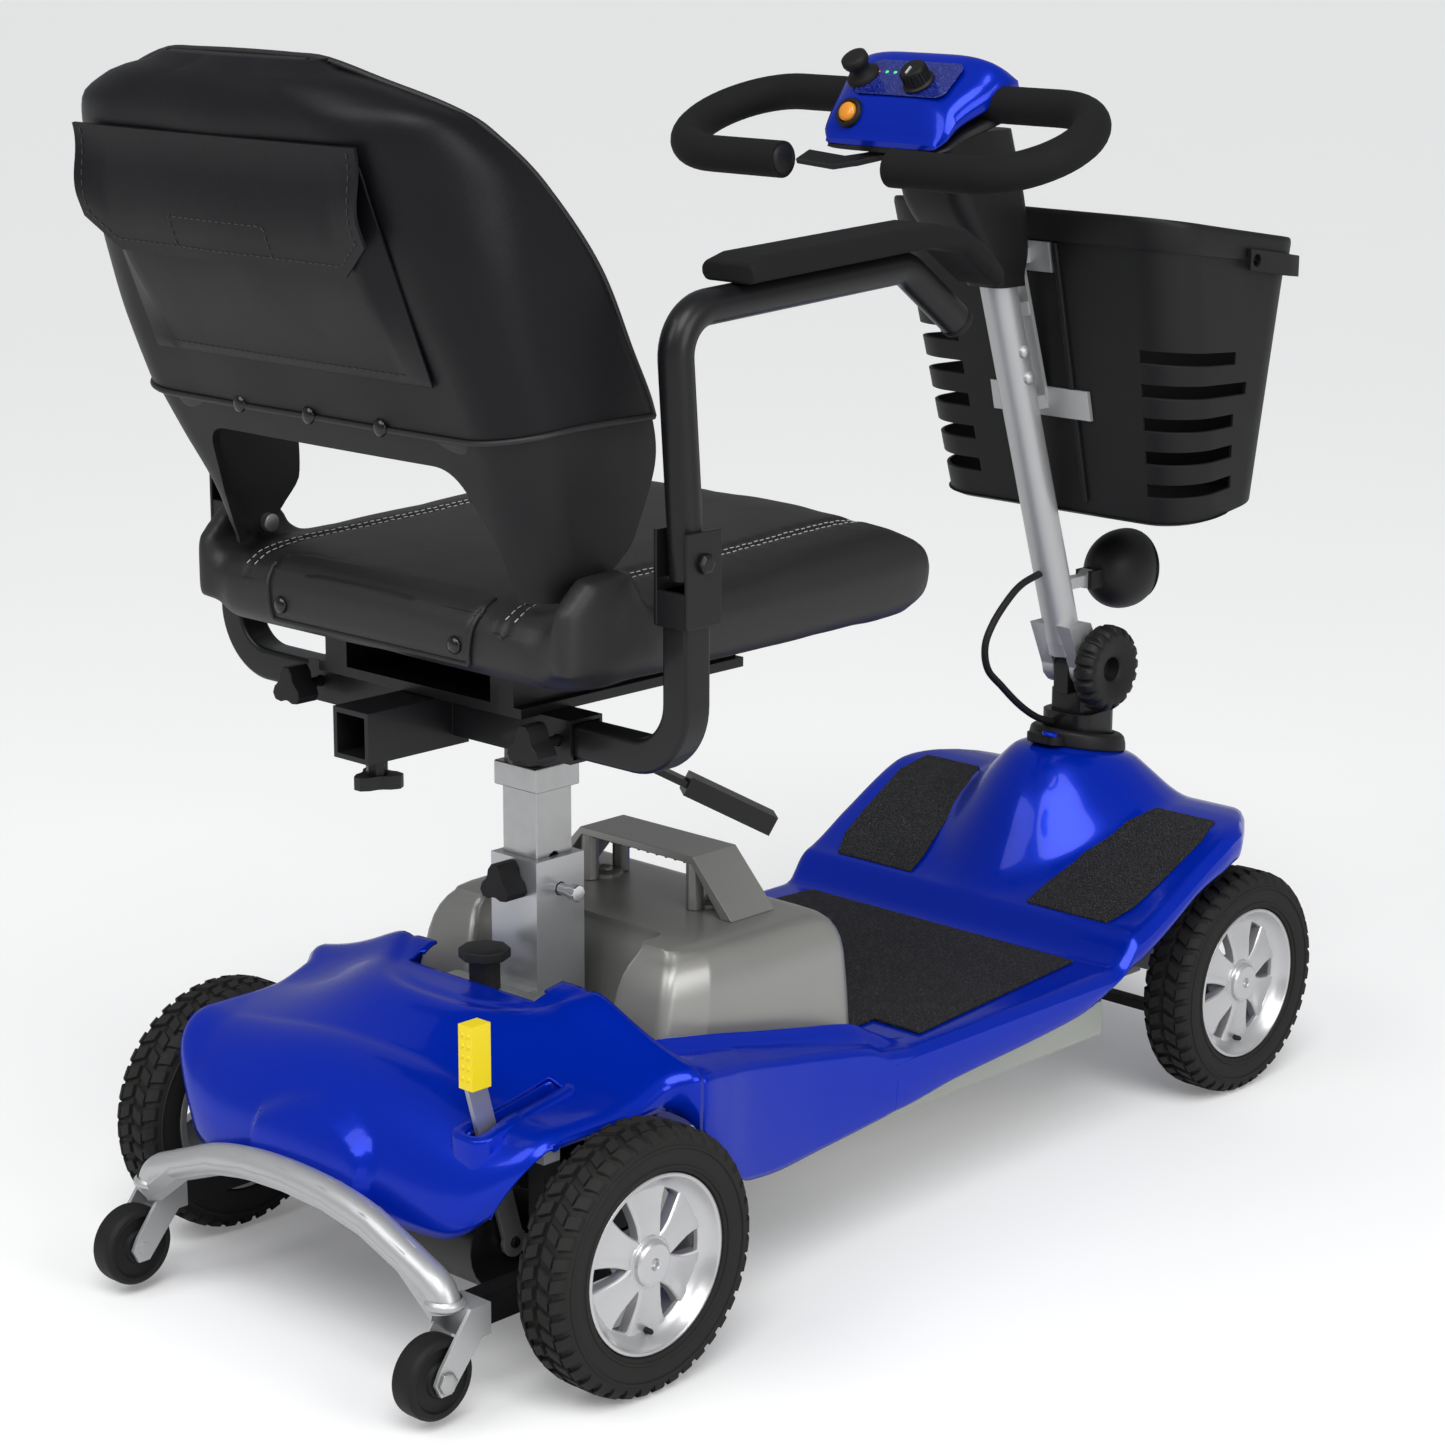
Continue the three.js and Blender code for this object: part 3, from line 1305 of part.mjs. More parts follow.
function shroudZ(x, y) {
  const inside = roundShare(x, y, shroud.domeInnerX, shroud.domeInnerY);
  const outside = roundShare(x, y, shroud.domeOuterX, shroud.domeOuterY);
  const raised = y <= shroud.ridgeY ? shroud.ridge : shroud.ringZ;
  const reach = y <= shroud.ridgeY ? (outside * shroud.domeOuterX) / (shroud.domeOuterX + shroud.lip) : outside;
  if (inside <= 1 || (y <= shroud.ridgeY && reach <= 1)) {
    return raised;
  }
  if (outside >= 1) {
    return shroud.flat;
  }
  const share = (inside - 1) / (inside - 1 + (1 - outside));
  return raised + (shroud.flat - raised) * share;
}

function makeShroudSheet() {
  const columnShares = [0, 0.2, 0.36, 0.48, 0.6, 0.7, 0.78, 0.9, 1];
  const rowShares = [0, 0.085, 0.135, 0.25, 0.4, 0.55, 0.7, 0.85, 1];
  const tailTurns = [0.33, 0.66, 1];
  const reach = shroud.tailStart - shroud.front;
  const half = shroud.halfWidth;
  const rows = (inset) => {
    const flat = rowShares.map((share) => {
      const y = shroud.front + share * reach;
      const row = columnShares.map((u) => [u * (half - inset), y, shroudZ(u * half, y) - inset]);
      return [...row, [half - inset, y, shroud.flat - shroud.lip]];
    });
    const tail = tailTurns.map((share) => {
      const turn = (share * Math.PI) / 2;
      const point = (u) => {
        const endY = shroud.tail - shroud.sidePull * u * u;
        const rise = Math.max(0, u - columnShares[5]) / (1 - columnShares[5]);
        const endZ = shroud.tailZ + (shroud.tailSideZ - shroud.tailZ) * rise;
        const y = shroud.tailStart + (endY - shroud.tailStart) * Math.sin(turn) - inset * Math.sin(turn);
        const z = endZ + (shroud.flat - endZ) * Math.cos(turn) - inset * Math.cos(turn);
        return [u * (half - inset), y, z];
      };
      const row = columnShares.map(point);
      const [x, y, z] = row[row.length - 1];
      return [...row, [x, y, Math.min(z - bite, shroud.flat - shroud.lip)]];
    });
    return [...flat, ...tail].map((row) => wholeSection(row));
  };
  return sheet(rows(0), rows(shroud.wall));
}

function addRearShroud() {
  const postNotch = box(-shroud.notchHalf, shroud.notchHalf, shroud.front - overrun, shroud.notchBack, shroud.tailZ, post.socketTop);
  const half = freewheelGrip.width / 2;
  const slot = box(freewheel.x - half, freewheel.x + half, shroud.slotFront, shroud.slotBack, shroud.tailZ - overrun * 4, post.socketTop);
  add('rear_shroud', cut(makeShroudSheet(), postNotch, slot), 'blue');
}

// Battery pack with a notch for the seat post, and its carrying handle.
function addBattery() {
  const outline = (z, inset) => {
    const rise = (z - battery.bottom) / (battery.top - battery.bottom);
    const [half, rearHalf] = [battery.half - inset, battery.rearHalf - inset];
    const [front, rear] = [battery.front + inset / 4, battery.rear - battery.rearLean * rise - inset / 4];
    const corner = battery.round;
    const [notch, deep] = [battery.notchHalf + inset / 4, battery.notchFront - inset / 4];
    const right = [
      [notch, deep],
      [notch, rear],
      [rearHalf - corner, rear],
      [rearHalf - corner / 4, rear - corner / 4],
      [rearHalf, rear - corner],
      [half, front + corner],
      [half - corner / 4, front + corner / 4],
      [half - corner, front],
    ];
    const left = right.map(([x, y]) => [-x, y]).reverse();
    return [...right, ...left].map(([x, y]) => [x, y, z]);
  };
  const levels = [
    [battery.bottom, 0],
    [battery.top - battery.round, battery.taper * 0.7],
    [battery.top - battery.round / 3, battery.taper],
    [battery.top, battery.taper + battery.round / 2],
  ];
  add('battery_pack', loft(levels.map(([z, inset]) => outline(z, inset))), 'satin');
  const foot = battery.top + gap;
  const under = carry.top - carry.thickness;
  const arch = plate(
    [
      [-carry.foot, foot],
      [-carry.flat, carry.top],
      [carry.flat, carry.top],
      [carry.foot, foot],
      [carry.foot - carry.thickness * 2, foot],
      [carry.flat - bite, under],
      [-carry.flat + bite, under],
      [-carry.foot + carry.thickness * 2, foot],
    ],
    'y',
    carry.front,
    carry.rear,
  );
  const posts = [];
  for (const [, sign] of sides) {
    for (const y of [carry.front + carry.post, carry.rear - carry.post]) {
      posts.push(rod('z', carry.post, foot, under + bite, [sign * carry.postX, y], smallSides));
    }
  }
  add('battery_handle', join(arch, ...posts), 'satin');
}

// Seat frame: swivel housing, plate, rails and the square receivers.
function addSeatFrame() {
  const low = seatSpigot.bottom + gap;
  const size = receiver.size / 2;
  const rear = rearReceiver.size / 2;
  const plateFoot = swivel.top - bite;
  const pieces = [
    rod('z', swivel.radius, low, swivel.top, [0, post.y]),
    box(-seatPlate.half, seatPlate.half, seatPlate.front, seatPlate.rear, plateFoot, seatPlate.top),
    box(-receiver.half, receiver.half, receiver.y - size, receiver.y + size, receiver.z - size, receiver.z + size),
    box(-rear, rear, receiver.y, rearReceiver.end, rearReceiver.z - rear, rearReceiver.z + rear),
    rod('z', armKnob.shaft * 2, rearReceiver.knobZ, rearReceiver.z - rear + bite, [0, rearReceiver.knobY], smallSides),
    triLobe('z', rearReceiver.knob, rearReceiver.knobZ, rearReceiver.knob / 2, [0, rearReceiver.knobY]),
    rod('x', seatLever.eye / 2, seatLever.x - seatLever.eye, -swivel.radius / 2, [seatLever.y, seatLever.z], smallSides),
  ];
  for (const [, sign] of sides) {
    const [x0, x1] = [seatRail.x - seatRail.half, seatRail.x + seatRail.half];
    pieces.push(onSide(box(x0, x1, seatPlate.front, seatPlate.rear, swivel.top, seatRail.top), sign));
  }
  pieces.push(box(-swivel.radius, swivel.radius, post.y, receiver.y, receiver.z - size, swivel.top));
  const bore = receiver.bore / 2;
  const inner = rearReceiver.bore / 2;
  const arms = [
    box(bore * 3, receiver.half + overrun, receiver.y - bore, receiver.y + bore, receiver.z - bore, receiver.z + bore),
    box(-bore * 3, -receiver.half - overrun, receiver.y - bore, receiver.y + bore, receiver.z - bore, receiver.z + bore),
  ];
  const knobHoles = sides.map(([, sign]) =>
    hole('y', armKnob.shaft, receiver.y, receiver.y + size + overrun, [sign * armKnob.x, receiver.z], smallSides),
  );
  const solid = cut(
    join(...pieces),
    hole('z', seatSpigot.radius, low - overrun, seatSpigot.top + gap, [0, post.y]),
    ...arms,
    ...knobHoles,
    box(-inner, inner, receiver.y + size + bite, rearReceiver.end + overrun, rearReceiver.z - inner, rearReceiver.z + inner),
  );
  add('seat_frame', solid, 'steel');
}

function addSeatLever() {
  const away = new THREE.Vector3(-0.62, -0.78, -0.52).normalize();
  const across = new THREE.Vector3(0, 0, 1).cross(away).normalize();
  const upward = away.clone().cross(across);
  const at = new THREE.Vector3(seatLever.x - seatLever.eye, seatLever.y, seatLever.z);
  const turn = new THREE.Matrix4().makeBasis(away, across, upward).setPosition(at);
  const [flat, thin] = [seatLever.width / 2, seatLever.thickness / 2];
  const strip = box(0, seatLever.arm, -flat, flat, -thin, thin).applyMatrix4(turn);
  const gripHalf = seatLever.gripWidth / 2;
  const grip = box(seatLever.arm - bite, seatLever.arm + seatLever.grip, -gripHalf, gripHalf, -thin * 3, thin * 3);
  const eye = rod('x', seatLever.eye, seatLever.x - seatLever.eye * 2, seatLever.x + seatLever.eye / 2, [seatLever.y, seatLever.z]);
  const pinRadius = seatLever.eye / 2 + gap;
  const bore = rod('x', pinRadius, seatLever.x - seatLever.eye - gap, seatLever.x + overrun * 2, [seatLever.y, seatLever.z], smallSides);
  add('seat_lever', cut(join(strip, grip.applyMatrix4(turn), eye), bore), 'steel');
}

// Seat cushion: crowned, drawn in at the sides and the ends, with two sewn seams.
function addCushion() {
  // Place along the cushion, then the share of the half width and of the thickness there.
  const stationShares = [
    [0, 0.93, 0.45],
    [0.02, 0.97, 0.75],
    [0.07, 0.99, 0.95],
    [0.15, 1, 1],
    [0.3, 1, 1],
    [0.45, 1, 1],
    [0.6, 1, 1],
    [0.75, 1, 1],
    [0.87, 0.985, 1],
    [0.95, 0.94, 0.96],
    [0.985, 0.88, 0.78],
    [1, 0.8, 0.45],
  ];
  const seams = [-cushion.seamHalf, 0, cushion.seamHalf];
  const across = [-0.96, -0.86].map((share) => share * cushion.half);
  seams.forEach((step) => across.push(step - cushion.seamX));
  [-0.4, 0, 0.4].forEach((share) => across.push(share * cushion.half));
  seams.forEach((step) => across.push(step + cushion.seamX));
  [0.86, 0.96].forEach((share) => across.push(share * cushion.half));
  const rings = stationShares.map(([place, wide, thick]) => {
    const y = cushion.front + place * (cushion.rear - cushion.front);
    const full = cushion.frontTop + place * (cushion.rearTop - cushion.frontTop);
    const centreZ = cushion.bottom + (full - cushion.bottom) * 0.45;
    const [top, low] = [centreZ + (full - centreZ) * thick, centreZ - (centreZ - cushion.bottom) * thick];
    const upper = across.map((x) => {
      const share = x / cushion.half;
      const seam = Math.abs(Math.abs(x) - cushion.seamX) < 1 ? cushion.seamDepth : 0;
      const edge = share ** 6 * cushion.crown;
      return [x * wide, y, top + (cushion.crown * (1 - share ** 2)) / 2 - seam - edge];
    });
    const half = cushion.half * wide;
    const right = [[half, y, centreZ + (top - centreZ) * 0.35], [half * 0.985, y, low + (centreZ - low) * 0.4], [half * 0.93, y, low]];
    const left = right.map(([x, , z]) => [-x, y, z]).reverse();
    return [...upper, ...right, ...left];
  });
  const ears = sides.map(([, sign]) => {
    const rise = ear.top - ear.bottom;
    const outline = [
      [ear.front, ear.bottom],
      [ear.rear, ear.bottom],
      [ear.rear, ear.top - rise / 3],
      [ear.rear - rise / 3, ear.top],
      [ear.front + rise / 3, ear.top],
      [ear.front, ear.top - rise / 2],
    ];
    const shape = onSide(plate(outline, 'x', ear.inner, ear.outer), sign);
    const reach = [ear.inner - overrun, ear.inner + hinge.reach + gap];
    return cut(shape, onSide(hole('x', hinge.pin, ...reach, [hinge.y, hinge.z]), sign));
  });
  const pad = loft(rings);
  const trim = sides.map(([, sign]) =>
    onSide(box(ear.inner - bite, cushion.half + overrun, ear.front - bite, cushion.rear + overrun, ear.bottom + bite, ear.top), sign),
  );
  add('seat_cushion', join(cut(pad, ...trim), ...ears), 'vinyl');
}

const backTable = (name) => backLevels.map((level) => [level.z, level[name]]);

function backAt(z) {
  const names = ['rear', 'front', 'half', 'cornerX', 'cornerY'];
  return Object.fromEntries([['z', z], ...names.map((name) => [name, along(backTable(name), z)])]);
}

/** The rounded rear corner of the backrest at a level, from its rear face round to its left side. */
function backCorner({ z, rear, half, cornerX, cornerY }, inset) {
  return [0, 30, 60, 90].map((angle) => {
    const turn = THREE.MathUtils.degToRad(angle);
    const x = half - cornerX + (cornerX - inset) * Math.sin(turn);
    return [x, rear - cornerY + (cornerY - inset) * Math.cos(turn), z];
  });
}

/** Half a section of the backrest shell, from the middle of its rear face to the front of its left wing. */
function backSection(level, inset) {
  return [[0, level.rear - inset, level.z], ...backCorner(level, inset), [level.half - inset, level.front, level.z]];
}

function addBackrest() {
  const shell = sheet(
    backLevels.map((level) => wholeSection(backSection(level, 0))),
    backLevels.map((level) => wholeSection(backSection(level, back.wall))),
  );
  const { windowHalf, windowLow, windowHigh, windowCorner } = back;
  const middleZ = (windowLow + windowHigh) / 2;
  const height = (windowHigh - windowLow) / 2;
  const opening = roundedSquare(height, windowCorner, [0, 0]).map(([u, v]) => [
    u + Math.sign(u) * (windowHalf - height),
    v + middleZ,
  ]);
  const lowY = backLevels[0].rear - back.wall * 2;
  const opened = cut(shell, plate(opening, 'y', lowY, rearMost));
  const pins = sides.map(([, sign]) => {
    const inside = backAt(hinge.z).half - back.wall / 2;
    return onSide(rod('x', hinge.pin, inside, ear.inner + hinge.reach, [hinge.y, hinge.z]), sign);
  });
  add('back_shell', join(opened, ...pins), 'vinyl');

  const channels = [-backPad.channelHalf, 0, backPad.channelHalf];
  const rings = padLevels.map(({ z, end }) => {
    const level = backAt(z);
    const inset = back.wall + gap * 3;
    const [x, y] = [level.half - inset, level.rear - inset];
    const corner = backCorner(level, inset).reverse();
    const frontEdge = Math.min(y - (y - level.front) * end, corner[0][1] - bite);
    const face = Math.max(y - backPad.depth * end, frontEdge);
    const leftSide = [[x * 0.97, frontEdge, z], ...corner];
    const rightSide = leftSide.map(([u, v]) => [-u, v, z]).reverse();
    const wing = x * 0.8;
    const narrowing = x / back.half;
    const channelRow = channels.map((step) => (step - backPad.channelX) * narrowing);
    const frontRow = [-wing, -x * 0.66, ...channelRow, 0];
    const mirroredRow = frontRow.slice(0, -1).map((u) => -u).reverse();
    const facePoints = [...frontRow, ...mirroredRow].map((u) => {
      const channel = Math.abs(Math.abs(u) - backPad.channelX * narrowing) < 1 ? backPad.channel : 0;
      const bolster = Math.abs(u) >= wing - 1 ? (face - frontEdge) * 0.55 : 0;
      return [u, face + channel - bolster, z];
    });
    return [...rightSide, ...facePoints, ...leftSide].reverse();
  });
  add('back_cushion', loft(rings), 'vinyl');

  const pocketRings = pocketLevels.map(({ z, bulge }) => {
    const y = backAt(z).rear + gap;
    const out = pocket.depth * bulge;
    const half = pocket.half;
    return [[-half, y, z], [half, y, z], [half - out / 2, y + out, z], [0, y + out, z], [-half + out / 2, y + out, z]];
  });
  add('back_pocket', loft(pocketRings), 'vinyl');
}

// Armrests: a square lower tube, a tilting round tube, a pad and a clamp knob on each side.
function addArmrests() {
  const lowPath = rounded([[arm.inner, receiver.y, receiver.z], [arm.x, receiver.y, receiver.z], [arm.x, receiver.y, arm.top]], arm.bend);
  const outer = arm.tube / 2 + armPivot.plate + gap;
  const inner = arm.tube / 2 + gap;
  const at = [armPivot.y, armPivot.z];
  const foot = arm.top - arm.tube;
  const [front, rear] = [armPivot.y - armPivot.halfDepth, armPivot.y + armPivot.halfDepth];
  const lower = join(
    bar(lowPath, arm.tube, arm.tube),
    box(arm.x - outer, arm.x + outer, front, rear, foot, arm.top),
    box(arm.x - outer, arm.x - inner, front, rear, foot, armPivot.top),
    box(arm.x + inner, arm.x + outer, front, rear, foot, armPivot.top),
    rod('x', armPivot.bolt, arm.x - outer, arm.x + outer, at, smallSides),
  );
  const upperPath = rounded(
    [
      [arm.x, armPivot.y, armUpper.foot],
      [arm.x, armUpper.back - armUpper.radius / 2, armUpper.level],
      [arm.x, armUpper.front + armUpper.bend, armUpper.level + armUpper.radius],
      [arm.x, armUpper.front, armUpper.droop],
    ],
    armUpper.bend / 2,
    5,
  );
  const upper = cut(
    tube(upperPath, armUpper.radius, roundSides),
    hole('x', armPivot.bolt, arm.x - outer, arm.x + outer, at, smallSides),
  );
  // The pad from back to front: place along, then its underside and its top over the tube's level.
  const padShares = [[0, 1.26, 2.4], [0.06, 1.32, 2.8], [0.5, 1.81, 3.2], [0.72, 2.04, 3.45], [0.85, 1.5, 3], [0.94, 0.1, 1.9], [1, -0.7, 0.6]];
  const padRings = padShares.map(([place, low, high]) => {
    const y = armPad.rear + place * (armPad.front - armPad.rear);
    const [z0, z1] = [armUpper.level + low * armUpper.radius + gap, armUpper.level + high * armUpper.radius];
    const round = (z1 - z0) * 0.3;
    const half = armPad.half;
    const right = [[half - round, z0], [half, z0 + round], [half, z1 - round], [half - round, z1]];
    const left = right.map(([x, z]) => [-x, z]).reverse();
    return [...right, ...left].map(([x, z]) => [arm.x + x, y, z]);
  });
  const pad = loft(padRings);
  const faceY = receiver.y + receiver.size / 2 + gap * 2;
  const knob = join(
    rod('y', armKnob.shaft, receiver.y + arm.tube / 2 + gap, faceY + armKnob.shaftLength + bite, [armKnob.x, receiver.z], smallSides),
    triLobe('y', armKnob.radius, faceY + armKnob.shaftLength, armKnob.depth, [armKnob.x, receiver.z]),
  );
  for (const [side, sign] of sides) {
    add(`arm_lower_${side}`, onSide(lower, sign), 'steel');
    add(`arm_upper_${side}`, onSide(upper, sign), 'steel');
    add(`arm_pad_${side}`, onSide(pad, sign), 'foam');
    add(`arm_knob_${side}`, onSide(knob, sign), 'plastic');
  }
}

// Console frame: v runs towards the rider and down, w stands on the plane of the handlebar loops.
const consoleFrame = new THREE.Matrix4()
  .makeRotationX(THREE.MathUtils.degToRad(-stand.tilt))
  .setPosition(0, stand.y, stand.z);

function onConsole(shape) {
  return outward(shape.clone().applyMatrix4(consoleFrame));
}

/** A section across the console at v: half width, underside and top. */
function consoleRing(v, half, low, high, shoulderShare) {
  const shoulder = half * shoulderShare;
  const right = [[half * 0.86, low], [half, low + (high - low) * 0.3], [half, low + (high - low) * 0.55], [shoulder, high]];
  const left = right.map(([x, w]) => [-x, w]).reverse();
  return [...right, ...left].map(([x, w]) => [x, v, w]);
}

function addConsole() {
  // Shares of the half width (80) and of the tube radius: v, half width, underside, split and top.
  const full = loop.centreX - loop.end + bite;
  const stationShares = [
    [-2, 0.62, -1.0, -0.2, 0.4, 0.7],
    [-1.6, 0.97, -1.3, -0.2, 1.5, 0.75],
    [-0.6, 1, -1.4, -0.2, 2.45, 0.74],
    [0.6, 0.97, -1.3, -0.25, 2.1, 0.72],
    [2.7, 0.84, -1.2, -0.4, 1.4, 0.74],
    [3.9, 0.8, -1.1, -0.6, 0.3, 0.85],
    [4.5, 0.72, -1.0, -0.7, -0.35, 0.9],
  ];
  const r = loop.tube;
  const base = loft(stationShares.map(([v, half, low, split]) => consoleRing(v * r, half * full, low * r, split * r, 1)));
  const cover = loft(
    stationShares.map(([v, half, , split, high, shoulder]) =>
      consoleRing(v * r, half * full, split * r + gap, high * r, shoulder),
    ),
  );
  const grooveReach = loop.centreX;
  const groove = hole('x', r, -grooveReach, grooveReach, [0, 0]);
  // The neck: height, then the middle and the half depth of its section, as shares of the tube radius.
  const neckShares = [[0, 0.13, 1.29, 0.55], [0.25, 0.77, 2.13, 0.85], [0.62, 1.48, 2.97, 1], [1, 1.48, 2.9, 1]];
  const neckRings = (inset) =>
    neckShares.map(([rise, shift, deep, wide]) => {
      const z = neck.foot + rise * (neck.head - neck.foot);
      const [halfX, halfY] = [neck.halfWidth * wide - inset, deep * tiller.radius - inset];
      const y = tillerY(z) + shift * tiller.radius;
      const corner = Math.min(halfX, halfY) / 2.5;
      const cornerShares = [[1, 0], [0.7, 0.7], [0, 1]];
      const quarter = cornerShares.map(([u, v]) => [halfX - corner + u * corner, halfY - corner + v * corner]);
      const all = [
        ...quarter,
        ...quarter.map(([u, v]) => [-u, v]).reverse(),
        ...quarter.map(([u, v]) => [-u, -v]),
        ...quarter.map(([u, v]) => [u, -v]).reverse(),
      ];
      return all.map(([u, v]) => [u, y + v, z]);
    });
  const roomFoot = neck.foot - overrun * 4;
  const tubeRoom = tube(
    places([[0, tillerY(roomFoot), roomFoot], [0, tillerY(tiller.topZ + overrun), tiller.topZ + overrun]]),
    tiller.radius + gap,
    roundSides,
  );
  const pivot = rod('z', lever.pin, lever.w - lever.thickness - bite, lever.w + lever.thickness, [0, lever.pivotV], smallSides);
  const tub = join(cut(onConsole(base), onConsole(groove)), loft(neckRings(0)), onConsole(pivot));
  add('console_base', cut(tub, tubeRoom, onConsole(groove)), 'plastic');

  const plateFrame = new THREE.Matrix4()
    .makeRotationX(THREE.MathUtils.degToRad(-stand.plateTilt))
    .setPosition(0, r * 0.9, r * 2.02);
  const onPlate = (shape) => onConsole(outward(shape.clone().applyMatrix4(plateFrame)));
  const keyHole = onPlate(hole('z', key.blade, -key.bladeDepth - gap, overrun * 2, [key.x, key.v], smallSides));
  const dialHole = onPlate(hole('z', key.blade, -key.bladeDepth - gap, overrun * 2, [dial.x, dial.v], smallSides));
  const slopeFrame = new THREE.Matrix4()
    .makeRotationX(THREE.MathUtils.degToRad(-stand.tilt * 2.1))
    .setPosition(0, r * 3.55, r * 0.75);
  const onSlope = (shape) => onConsole(outward(shape.clone().applyMatrix4(slopeFrame)));
  const hornHole = onSlope(hole('z', horn.radius, -horn.height - horn.travel, overrun * 2, [horn.x, 0]));
  add('console_top', cut(onConsole(cover), onConsole(groove), keyHole, dialHole, hornHole), 'blue');

  const path = [];
  const arcSteps = 10;
  for (let i = 0; i <= arcSteps; i += 1) {
    const turn = (i / arcSteps) * Math.PI;
    path.push([loop.centreX + loop.radius * Math.sin(turn), loop.radius * (1 + Math.cos(turn)), 0]);
  }
  const leftHalf = [[loop.end, loop.radius * 2, 0], ...path];
  const rightHalf = leftHalf.map(([x, v, w]) => [-x, v, w]).reverse();
  add('handlebar', onConsole(tube(places([...leftHalf, ...rightHalf]), loop.tube, 12)), 'foam');

  const low = lever.w - lever.thickness;
  const paddle = loft(
    leverStations.map(({ x, near, far, w }) => {
      const high = w + lever.thickness - gap;
      return [[x, near, w], [x, far, w], [x, far, high], [x, near, high]];
    }),
  );
  const hub = rod('z', lever.hub, low, lever.w - gap, [0, lever.pivotV]);
  const leverBore = hole('z', lever.pin, low - overrun, lever.w + overrun, [0, lever.pivotV], smallSides);
  add('throttle_lever', onConsole(cut(join(paddle, mirrored(paddle), hub), leverBore)), 'plastic');

  const seat = r * 0.1;
  const speedKnob = join(
    rod('z', dial.radius, seat, seat + dial.height, [dial.x, dial.v]),
    rod('z', key.blade, -key.bladeDepth, seat + bite, [dial.x, dial.v], smallSides),
  );
  add('speed_knob', onPlate(speedKnob), 'plastic');
  const keyBody = join(
    rod('z', key.radius, seat, seat + key.height, [key.x, key.v]),
    rod('z', key.blade, -key.bladeDepth, seat + bite, [key.x, key.v], smallSides),
  );
  add('ignition_key', onPlate(keyBody), 'plastic');
  add('horn_button', onSlope(rod('z', horn.radius, -horn.height + gap * 2, horn.height, [horn.x, 0])), 'orange');
}

// Basket: an open tray whose walls lean with the bracket, and the carrying band round its rim.
function basketRing(share, inset) {
  const rearZ = basket.footZ + share * (basket.rimZ - basket.footZ);
  const frontZ = basket.frontFootZ + share * (basket.frontRimZ - basket.frontFootZ);
  const rearY = basketRearY(rearZ) - inset;
  const frontY = basket.frontFootY + share * (basket.frontRimY - basket.frontFootY) + inset;
  const half = basket.footHalf + share * (basket.rimHalf - basket.footHalf) - inset;
  const middleY = (rearY + frontY) / 2;
  const outline = [];
  const steps = 4;
  const corner = basket.corner;
  for (const [sx, sy, start] of [[1, 1, 0], [-1, 1, 1], [-1, -1, 2], [1, -1, 3]]) {
    for (let k = 0; k <= steps; k += 1) {
      const turn = ((start + k / steps) * Math.PI) / 2;
      const x = sx * (half - corner) + corner * Math.cos(turn);
      const y = middleY + sy * ((rearY - frontY) / 2 - corner) + corner * Math.sin(turn);
      const z = frontZ + ((rearZ - frontZ) * (y - frontY)) / (rearY - frontY);
      outline.push([x, y, z]);
    }
  }
  return outline;
}

function addBasket() {
  const shares = [0, 0.06, 0.35, 0.7, 1];
  const pull = (share) => (share === 0 ? basket.corner / 5 : 0);
  const outer = loft(shares.map((share) => basketRing(share, pull(share))));
  const floorShare = basket.wall / (basket.rimZ - basket.footZ);
  const innerShares = [floorShare, 0.07, 0.35, 0.7, 1.02];
  const inner = loft(innerShares.map((share) => basketRing(share, basket.wall + (share === floorShare ? basket.corner / 5 : 0))));
  const bosses = sides.map(([, sign]) =>
    onSide(rod('x', carryBand.pin, basket.rimHalf - basket.wall - bite, carryBand.x + carryBand.thickness, [carryBand.y, carryBand.z], smallSides), sign),
  );
  add('basket', join(cut(outer, inner), ...bosses), 'plastic');
  const slope = (basket.rimZ - basket.frontRimZ) / (basketRearY(basket.rimZ) - basket.frontRimY);
  const z = carryBand.z;
  const half = carryBand.x + carryBand.thickness / 2;
  const outline = (out) => {
    const steps = 3;
    const points = [[half + out, carryBand.y + carryBand.height / 2]];
    for (let k = 0; k <= steps; k += 1) {
      const turn = (k / steps) * (Math.PI / 2);
      const reach = carryBand.corner + out;
      points.push([half - carryBand.corner + reach * Math.cos(turn), carryBand.front + carryBand.corner - reach * Math.sin(turn)]);
    }
    return [...points, ...points.map(([x, y]) => [-x, y]).reverse()];
  };
  const wall = carryBand.thickness / 2;
  const flat = (points) => points.map(([x, y]) => [x, y, 0]);
  const grid = (out) => {
    const line = flat(outline(out));
    const lift = (y) => z + slope * (y - carryBand.y);
    return [-1, 1].map((sign) => line.map(([x, y]) => [x, y, lift(y) + (sign * carryBand.height) / 2]));
  };
  const band = sheet(grid(wall), grid(-wall));
  const eyes = sides.map(([, sign]) => {
    const at = [carryBand.y, carryBand.z];
    return onSide(hole('x', carryBand.pin, basket.rimHalf - overrun, half + overrun * 2, at, smallSides), sign);
  });
  add('basket_handle', cut(band, ...eyes), 'plastic');
}

addWheels();
addAntiTip();
addRearFrame();
addSeatPost();
addTransaxle();
addFreewheelLever();
addFrontFrame();
addSteering();
addColumn();
addTiller();
addHeadlight();
addCable();
addFloorShell();
addMats();
addRearShroud();
addBattery();
addSeatFrame();
addSeatLever();
addCushion();
addBackrest();
addArmrests();
addConsole();
addBasket();

export default scooter;
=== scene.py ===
"""A travel mobility scooter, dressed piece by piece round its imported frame.

Lengths in this file are millimetres with y = 0 midway between the axles, and each piece is brought into the
frame, in metres, when its object is made.
"""

import json
import logging
import math
from dataclasses import dataclass, field
from enum import Enum
from typing import Any, Callable, Iterable, Optional, Sequence, Union

import bmesh
import bpy
from mathutils import Matrix, Vector
from mathutils.bvhtree import BVHTree

